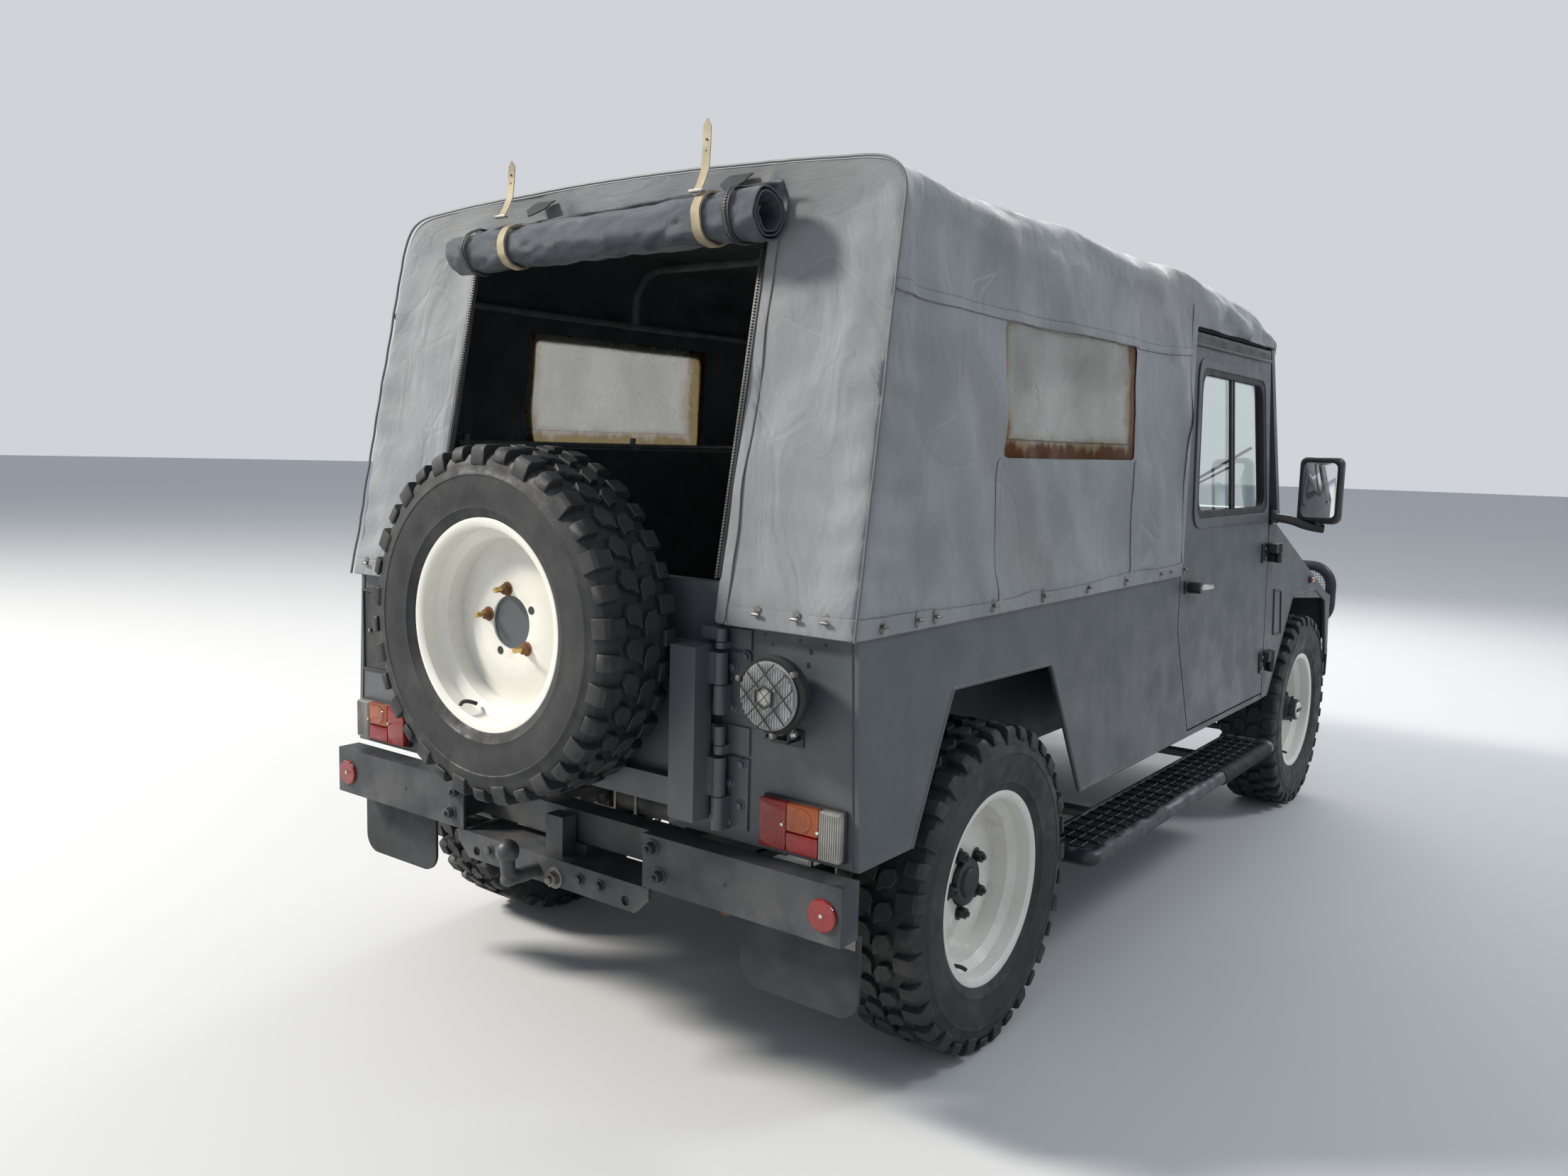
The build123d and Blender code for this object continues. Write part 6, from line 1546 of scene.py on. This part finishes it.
# Padded seats and benches
def cushion(name, low, high, finish, replaces=(), lean=0.0, cap=0.014, voxel=0.006):
    """A pad between two corners, swollen by pressure inside its cover and leant back about its foot."""
    low, high = Vector(low), Vector(high)
    middle = (low + high) / 2
    shape = block(low + vec(0.006, 0.006, 0.006), high - vec(0.006, 0.006, 0.006), 0.014, 3)
    piece = keep(name, [(shape, finish)], BODY, replaces, 60)
    remesh = piece.modifiers.new("voxels", "REMESH")
    remesh.mode, remesh.voxel_size = "VOXEL", voxel
    skin = bpy.data.meshes.new_from_object(piece.evaluated_get(bpy.context.evaluated_depsgraph_get()))
    piece.modifiers.clear()
    rest = [vert.co.copy() for vert in skin.vertices]
    places = simulated(added("pad", skin), 14, 0.0, quality=4, use_pressure=True, uniform_pressure_force=4.0,
                       tension_stiffness=12, compression_stiffness=12, bending_stiffness=0.6)
    for vert, start, place in zip(skin.vertices, rest, places):
        move = place - start
        vert.co = start + (move * (cap / move.length) if move.length > cap else move)
    skin.materials.clear()
    skin.materials.append(finish)
    for face in skin.polygons:
        face.use_smooth = True
    piece.data = skin
    foot = vec(middle.x, middle.y, low.z)
    piece.data.transform(Matrix.Translation(foot) @ Matrix.Rotation(-lean, 4, "Y") @ Matrix.Translation(-foot))


BENCH_TUBE = 0.678
seats = Parts()
for hand, side in (("left", 1), ("right", -1)):
    on = sided(side)
    inner, outer = sorted((side * 0.130, side * 0.620))
    cushion("seat_cushion_" + hand, at(1.372, inner + 0.008, 0.752), at(1.792, outer - 0.008, 0.852), SEAT,
            ["front_seats"] if side > 0 else ())
    cushion("seat_back_" + hand, at(1.366, inner + (0.012 if side > 0 else -0.030), 0.862),
            at(1.442, outer - (-0.030 if side > 0 else 0.012), 1.388), SEAT, (), math.radians(7.2))
    seats.add(SOFT_BLACK, block(at(1.392, inner + 0.022, 0.622), at(1.768, outer - 0.022, 0.700), 0.006))
    for ahead in (1.400, 1.740):
        for across in (inner + 0.034, outer - 0.050):
            seats.add(DULL_STEEL, block(at(ahead, across, 0.698), at(ahead + 0.024, across + 0.016, 0.756), 0.002))
    for ahead in (1.398, 1.752):
        seats.add(SOFT_BLACK, rod(at(ahead, inner + 0.024, 0.752), at(ahead, outer - 0.024, 0.752), 0.011))
    for across in (inner + 0.026, outer - 0.026):
        hoop = [at(1.452, across, 0.740), at(1.446, across, 0.850), at(1.395, across, 1.150),
                at(1.362, across, 1.372)]
        seats.add(SOFT_BLACK, tube([place + vec(-0.078, 0, 0) for place in hoop], 0.010))
    seats.add(DULL_STEEL,
              block(at(1.790, (inner + outer) / 2 - 0.03, 0.735), at(1.812, (inner + outer) / 2 + 0.03, 0.742),
                    0.002))
    bench_low, bench_high = sorted((side * 0.628, side * 0.670))
    cushion("bench_pad_" + hand, at(-0.318, bench_low + 0.004, 0.888), at(0.985, bench_high - 0.004, 1.330), SEAT,
            ["side_benches"] if side > 0 else (), cap=0.009, voxel=0.010)
    for ahead in (-0.300, 0.330, 0.965):
        seats.add(TUBE_GREY, rod(on(ahead, BENCH_TUBE, 0.872), on(ahead, BENCH_TUBE, 1.345), 0.009))
    for height in (0.900, 1.320):
        seats.add(TUBE_GREY, rod(on(-0.325, BENCH_TUBE, height), on(0.990, BENCH_TUBE, height), 0.008))
keep("seat_frames", seats, BODY)

# Dashboard fittings, levers, pedals and inside mirror
dash = Parts()
dash.add(SOFT_BLACK, block(at(1.918, 0.215, 1.020), at(2.085, 0.505, 1.128), 0.012))
for across, radius in ((0.300, 0.042), (0.395, 0.042), (0.460, 0.022), (0.246, 0.020)):
    face = at(1.9178, across, 1.074)
    dash.add(TRIM,
             spun([(0.0, 0.0), (0.0, radius), (0.006, radius), (0.006, radius - 0.004), (0.001, radius - 0.005),
                   (0.001, 0.0)], face, BACK, 36, False))
    dash.add(WHITE, wire(face + vec(-0.002, 0, 0), face + vec(-0.0035, 0, 0), radius * 0.12, 14))
    dash.add(RED, wire(face + vec(-0.003, 0, 0), face + vec(-0.003, radius * 0.5, radius * 0.55), 0.0009, 6))
    for tick in range(9):
        spot = round_x(face, -0.0012, radius * 0.78, -40 + tick * 32.5)
        end = round_x(spot, 0, radius * 0.1, -40 + tick * 32.5)
        dash.add(WHITE, wire(spot, end, 0.0007, 6))
for number in range(6):
    dash.add(SOFT_BLACK,
             block(at(1.9405, 0.06 - number * 0.032, 1.030), at(1.9505, 0.080 - number * 0.032, 1.050), 0.002))
shelf_rims = framed(1.9485, (-0.24, -0.60), (0.965, 1.055)), framed(1.9485, (-0.246, -0.594), (0.971, 1.049))
dash.add(SOFT_BLACK, frame_plate(*shelf_rims, (-0.0015, 0, 0), 0))
dash.add(
    TRIM,
    tube([at(1.948, -0.30, 1.072), at(1.918, -0.30, 1.072), at(1.912, -0.42, 1.072), at(1.918, -0.54, 1.072),
          at(1.948, -0.54, 1.072)], 0.009),
    rod(at(1.792, 0.360, 1.0745), at(1.772, 0.360, 1.0835), 0.058, 0.046, 32, 0.006),
)
for foot, head, knob in (((1.66, 0.02, 0.590), (1.56, 0.04, 0.985), 0.021),
                         ((1.60, -0.08, 0.590), (1.56, -0.09, 0.860), 0.017),
                         ((1.50, -0.02, 0.600), (1.38, -0.02, 0.790), 0.014)):
    dash.add(STEEL,
             tube([at(*foot), at((foot[0] * 2 + head[0]) / 3 - 0.012, head[1], (foot[2] * 2 + head[2]) / 3),
                   at(*head)], 0.007))
    dash.add(RUBBER, rod(at(foot[0], foot[1], 0.586), at(foot[0] - 0.015, foot[1], 0.640), 0.052, 0.018, 24, 0.004))
    dash.add(TRIM,
             spun([(-knob, 0.0), (-knob * 0.7, knob * 0.7), (0.0, knob), (knob * 0.7, knob * 0.7), (knob, 0.0)],
                  at(*head), (-0.3, 0, 1), 20, False))
for across in (0.27, 0.36, 0.46):
    dash.add(STEEL, tube([at(2.088, across, 0.86), at(2.02, across, 0.79), at(1.985, across, 0.735)], 0.007))
    dash.add(RUBBER, block(at(1.968, across - 0.027, 0.690), at(1.986, across + 0.027, 0.752), 0.004))
for side, on in SIDES:
    dash.add(RUBBER, block(on(1.50, 0.10, 0.6205), on(2.06, 0.66, 0.6265), 0.002))
    for rib in range(12):
        dash.add(RUBBER,
                 block(on(1.82, 0.14 + rib * 0.042, 0.6260), on(2.04, 0.152 + rib * 0.042, 0.6300), 0.001, 1))
    visor = rounded(framed(1.975, (side * 0.10, side * 0.46), (1.575, 1.690)), 0.02)
    dash.add(SOFT_BLACK, slab(visor, (-0.012, 0, 0), 0.003))
dash.add(TRIM, block(at(1.968, -0.105, 1.600), at(1.982, 0.105, 1.662), 0.010, 3))
dash.add(MIRROR, slab(framed(1.9675, (-0.097, 0.097), (1.607, 1.655)), (-0.001, 0, 0), 0))
dash.add(STEEL, rod(at(1.982, 0, 1.640), at(2.020, 0, 1.690), 0.006))
keep("cab_fittings", dash, BODY)

# Nose: headlamps, side lamps, grille mesh, bonnet catches, wipers and bull bar mesh
NOSE_FACE = 2.960
nose, hooks, nets = Parts(), Parts(), Parts()
for side, on in SIDES:
    centre = on(NOSE_FACE, 0.430, 0.795)
    nose.add(STEEL,
             spun([(-0.088, 0.0), (-0.088, 0.040), (-0.046, 0.0865), (0.0, 0.0865), (0.0, 0.098), (0.008, 0.0975),
                   (0.013, 0.0925), (0.0135, 0.0835), (0.002, 0.080), (-0.030, 0.058), (-0.044, 0.026),
                   (-0.046, 0.0)], centre, FORWARD, 64, False))
    nose.add(CLEAR,
             spun([(0.004, 0.0815), (0.0095, 0.0805), (0.0160, 0.058), (0.0200, 0.030), (0.0212, 0.0),
                   (0.0185, 0.0), (0.0135, 0.055), (0.004, 0.0775)], centre, FORWARD, 64, True))
    for rib in range(-6, 7):
        reach = math.sqrt(0.070 ** 2 - (rib * 0.0105) ** 2)
        nose.add(CLEAR,
                 wire(centre + vec(0.0128, rib * 0.0105, -reach), centre + vec(0.0128, rib * 0.0105, reach), 0.0016,
                      6))
    nose.add(WHITE, rod(centre + vec(-0.040, 0, 0), centre + vec(-0.010, 0, 0), 0.011, 0.008, 16, 0.003))
    turnlamp = on(NOSE_FACE, 0.595, 0.735)
    nose.add(ORANGE,
             spun([(0.0, 0.0), (0.0, 0.0375), (0.012, 0.0370), (0.0125, 0.0325), (0.0265, 0.0300), (0.0290, 0.0150),
                   (0.0295, 0.0)], turnlamp, FORWARD, 40, False))
    nose.add(SOFT_BLACK,
             spun([(0.0, 0.0335), (0.0, 0.0400), (0.0135, 0.0395), (0.0145, 0.0355), (0.0135, 0.0325)], turnlamp,
                  FORWARD, 40, True))
    for turn in (90, 210, 330):
        spot = round_x(centre, 0.0100, 0.0935, turn)
        nose.add(DULL_STEEL, rod(spot, spot + vec(0.005, 0, 0), 0.0036, segments=12, bevel=0.0006))
    hook = on(3.066, 0.480, 0.490)
    nose.add(BUMPER_BLACK,
             tube([hook, hook + vec(0.040, 0, 0), hook + vec(0.052, 0, -0.030), hook + vec(0.026, 0, -0.048),
                   hook + vec(0.0, 0, -0.042)], 0.0095))
    catch = on(2.960, 0.400, 0.925)
    nose.add(TRIM, block(catch + vec(-0.001, -0.017, -0.030), catch + vec(0.006, 0.017, 0.024), 0.002))
    nose.add(SOFT_BLACK, block(catch + vec(0.005, -0.009, -0.014), catch + vec(0.015, 0.009, 0.034), 0.004))
    nose.add(DULL_STEEL, rod(catch + vec(0.012, -0.024, -0.012), catch + vec(0.012, 0.024, -0.012), 0.005))
    for rise in (-0.022, 0.018):
        nose.add(DULL_STEEL, bolt(catch + vec(0.005, 0.012, rise), FORWARD, 0.008, 0.003, False))
    plate = [on(ahead, across, 0.975 + (2.936 - ahead) * 0.173) for ahead,
             across in ((2.884, 0.380), (2.932, 0.380), (2.932, 0.420), (2.884, 0.420))]
    hooks.add(TRIM, slab([point - vec(0, 0, 0.001) for point in plate], (0, 0, 0.0045), 0.001))
    hooks.add(DULL_STEEL, rod(on(2.924, 0.388, 0.982), on(2.924, 0.412, 0.982), 0.0045))
    for ahead in (2.892, 2.910):
        hooks.add(DULL_STEEL,
                  bolt(on(ahead, 0.400, 0.9785 + (2.936 - ahead) * 0.173), (0, 0, 1), 0.009, 0.003, False))
    foot = side * 0.24
    wiper = at(2.176, foot, 1.128)
    nose.add(TRIM, rod(wiper + vec(-0.010, 0, -0.004), wiper + vec(0.020, 0, 0.002), 0.012, 0.009, 20))
    blade = [at(2.183, foot, 1.135), at(2.168, foot - 0.14, 1.200), at(2.138, foot - 0.32, 1.300)]
    nose.add(TRIM, tube(blade, 0.0042))
    nose.add(RUBBER,
             rod(at(2.162, foot - 0.10, 1.190), at(2.118, foot - 0.40, 1.372), 0.0055, segments=10, bevel=0.001))
nose.add(TRIM, block(at(3.0655, -0.265, 0.452), at(3.0680, 0.265, 0.530), 0.001))
for rib in range(-32, 33):
    nets.add(TRIM, wire(at(2.943, rib * 0.0100, 0.700), at(2.943, rib * 0.0100, 0.890), 0.0009, 5))
for rib in range(20):
    nets.add(TRIM, wire(at(2.943, -0.322, 0.700 + rib * 0.010), at(2.943, 0.322, 0.700 + rib * 0.010), 0.0009, 5))
BAR_AHEAD = 3.150
for side, on in SIDES:
    for rib in range(33):
        across = side * (0.350 + rib * 0.0108)
        inset = max(0.0, abs(across) - 0.628) ** 2 * 7.5
        nets.add(TRIM,
                 wire(at(BAR_AHEAD - 0.004, across, 0.654 + inset), at(BAR_AHEAD - 0.004, across, 0.871 - inset),
                      0.0011, 5))
    for rib in range(20):
        height = 0.662 + rib * 0.0108
        inset = max(0.0, abs(height - 0.7625) - 0.045) ** 2 * 5.5
        nets.add(TRIM,
                 wire(on(BAR_AHEAD - 0.005, 0.345, height), on(BAR_AHEAD - 0.005, 0.698 - inset, height), 0.0011,
                      5))
keep("headlamp_units", nose, BODY, ["headlamps"])
keep("nose_mesh", nets, BODY)
keep("bonnet_hooks", hooks, "bonnet")

# Underneath: dampers, spring shackles and clamps, drive shaft joints, exhaust hangers, brake hoses, flap bolts
under = Parts()
for ahead in (0.0, WHEELBASE):
    for side, on in SIDES:
        lean = 0.115 if ahead else -0.115
        foot, head = on(ahead + lean * 0.35, 0.405, 0.352), on(ahead + lean, 0.392, 0.498)
        middle = foot.lerp(head, 0.48)
        under.add(
            TRIM,
            rod(foot, middle, 0.024),
            rod(middle, head, 0.029, 0.029),
        )
        for end in (foot, head):
            under.add(RUBBER, rod(end + vec(0, -0.024, 0), end + vec(0, 0.024, 0), 0.018))
        under.add(BLACK,
                  block(head + vec(-0.022, min(0, -side * 0.034), -0.022),
                        head + vec(0.022, max(0, -side * 0.034), 0.022), 0.003))
        seat = 0.4125 if not ahead else 0.4095
        under.add(BLACK,
                  block(on(ahead - 0.066, 0.288, seat - 0.108), on(ahead + 0.066, 0.372, seat - 0.094), 0.003))
        for shift in (-0.045, 0.045):
            for across in (0.2915, 0.3685):
                under.add(
                    DULL_STEEL,
                    rod(on(ahead + shift, across, seat - 0.124), on(ahead + shift, across, seat + 0.030), 0.0062,
                        segments=12),
                    bolt(on(ahead + shift, across, seat - 0.108), (0, 0, -1), 0.017, 0.010),
                )
        half = 0.52 if not ahead else 0.42
        for end in (-1, 1):
            eye = on(ahead + end * half, 0.330, 0.447)
            under.add(BLACK, rod(eye + vec(0, -0.034, 0), eye + vec(0, 0.034, 0), 0.019, segments=20))
            for cheek in (-0.032, 0.032):
                under.add(DULL_STEEL, bolt(eye + vec(0, cheek, 0), (0, 1 if cheek > 0 else -1, 0), 0.017, 0.008))
for ahead, across, height in ((0.170, 0.060, 0.369), (1.372, 0.060, 0.4198), (1.612, 0.110, 0.3995),
                              (2.392, 0.062, 0.368)):
    joint = at(ahead, across, height)
    under.add(CAST, rod(joint + vec(-0.030, 0, 0), joint + vec(0.030, 0, 0), 0.047, segments=24, bevel=0.006))
for ahead in (-0.14, 0.56, 1.16):
    under.add(DULL_STEEL, block(at(ahead, -0.262, 0.442), at(ahead + 0.02, -0.218, 0.600), 0.002))
for side, on in SIDES:
    under.add(RUBBER,
              tube([on(0.02, 0.24, 0.420), on(0.10, 0.27, 0.470), on(0.05, 0.33, 0.45), on(0.0, 0.46, 0.415),
                    on(0.0, 0.56, 0.40)], 0.006))
    for across in (0.53, 0.61, 0.69):
        under.add(DULL_STEEL, bolt(on(-0.556, across, 0.416), BACK, 0.014, 0.006))
    under.add(DULL_STEEL, block(on(-0.5575, 0.490, 0.402), on(-0.5560, 0.756, 0.430), 0.0006))
keep("under_fittings", under, BODY)

# Side steps: scuffed tube, ribbed tread in small cells, and a corrugated rubber sleeve on the front third
STEP_START, STEP_END = 0.440, 2.010
STEP_IN, STEP_OUT, STEP_Z = 0.652, 0.805, 0.330
SLEEVE_PITCH = 0.0145
treads = Parts()
for side, on in SIDES:
    ring = [on(STEP_START, STEP_IN, STEP_Z), on(STEP_START, STEP_OUT, STEP_Z),
            on(STEP_END, STEP_OUT, STEP_Z), on(STEP_END, STEP_IN, STEP_Z)]
    treads.add(
        WORN,
        tube(bent(ring, 0.045), 0.0212, sides=6),
        rod(on(0.46, 0.648, 0.338), on(1.99, 0.648, 0.338), 0.0085, segments=16),
    )
    treads.add(TREAD, block(on(0.452, 0.652, 0.339), on(1.998, 0.792, 0.3415), 0.0008, 1))
    for number in range(25):
        ahead = 0.470 + number * 0.0622
        treads.add(TREAD, block(on(ahead, 0.656, 0.341), on(ahead + 0.010, 0.786, 0.3465), 0.002, 1))
    for across in (0.690, 0.722, 0.754):
        treads.add(TREAD, block(on(0.462, across, 0.341), on(1.988, across + 0.006, 0.3445), 0.0015, 1))
    wave = [(0.0, 0.0205), (0.0, 0.0235)]
    for number in range(34):
        start = number * SLEEVE_PITCH
        wave += [(0.003 + start, 0.0238), (0.007 + start, 0.0262), (0.011 + start, 0.0238)]
    wave += [(0.497, 0.0235), (0.497, 0.0205)]
    treads.add(SOFT_BLACK, spun(wave, on(1.462, STEP_OUT, STEP_Z), FORWARD, 28))
keep("step_treads", treads, BODY)


def floor_and_light():
    """A plain pale floor and soft studio light."""
    pale = bpy.data.materials.new("floor_pale")
    pale.use_nodes = True
    tree = pale.node_tree
    shader = tree.nodes["Principled BSDF"]
    shader.inputs["Base Color"].default_value = (0.62, 0.62, 0.615, 1)
    shader.inputs["Roughness"].default_value = 0.85
    ground = bmesh.new()
    bmesh.ops.create_circle(ground, cap_ends=True, segments=64, radius=60)
    bmesh.ops.translate(ground, vec=(0, 0, -0.001), verts=ground.verts)
    mesh = bpy.data.meshes.new("floor")
    ground.to_mesh(mesh)
    ground.free()
    mesh.materials.append(pale)
    floor = added("floor", mesh)
    floor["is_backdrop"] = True

    world = bpy.data.worlds.new("studio")
    bpy.context.scene.world = world
    world.use_nodes = True
    tree = world.node_tree
    background = tree.nodes["Background"]
    seen, path, either, shown, blend = [tree.nodes.new("ShaderNode" + kind)
                                        for kind in ("Background", "LightPath", "Math", "Math", "MixShader")]
    background.inputs["Color"].default_value = (0.82, 0.92, 1.05, 1)
    background.inputs["Strength"].default_value = 0.50
    seen.inputs["Color"].default_value = (0.63, 0.65, 0.68, 1)
    either.operation = shown.operation = "ADD"
    shown.use_clamp = True
    for start, end in (
            (path.outputs["Is Camera Ray"], either.inputs[0]), (path.outputs["Is Glossy Ray"], either.inputs[1]),
            (either.outputs[0], shown.inputs[0]), (path.outputs["Is Transmission Ray"], shown.inputs[1]),
            (shown.outputs[0], blend.inputs["Fac"]), (background.outputs[0], blend.inputs[1]),
            (seen.outputs[0], blend.inputs[2]), (blend.outputs[0], tree.nodes["World Output"].inputs["Surface"])):
        tree.links.new(start, end)

    # name, place, what it looks at, size, watts, colour
    lamps = [
        ("key", (-7.9, 8.3, 8.6), (-1.2, 0.0, 1.1), 2.4, 2400, (1.0, 0.955, 0.88)),
        ("side", (3.4, -4.4, 5.6), (0.2, -0.6, 0.9), 1.6, 130, (0.93, 0.97, 1.0)),
        ("front", (6.5, 1.5, 4.5), (1.5, 0.0, 0.8), 4.0, 210, (1.0, 1.0, 1.0)),
    ]
    for name, place, target, size, watts, colour in lamps:
        data = bpy.data.lights.new(name, "AREA")
        data.size = size
        data.energy = watts
        data.color = colour
        lamp = added(name, data)
        lamp.location = place
        lamp.rotation_euler = (Vector(target) - Vector(place)).to_track_quat("-Z", "Y").to_euler()
    bpy.context.scene.view_settings.view_transform = "Standard"


floor_and_light()
low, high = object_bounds()
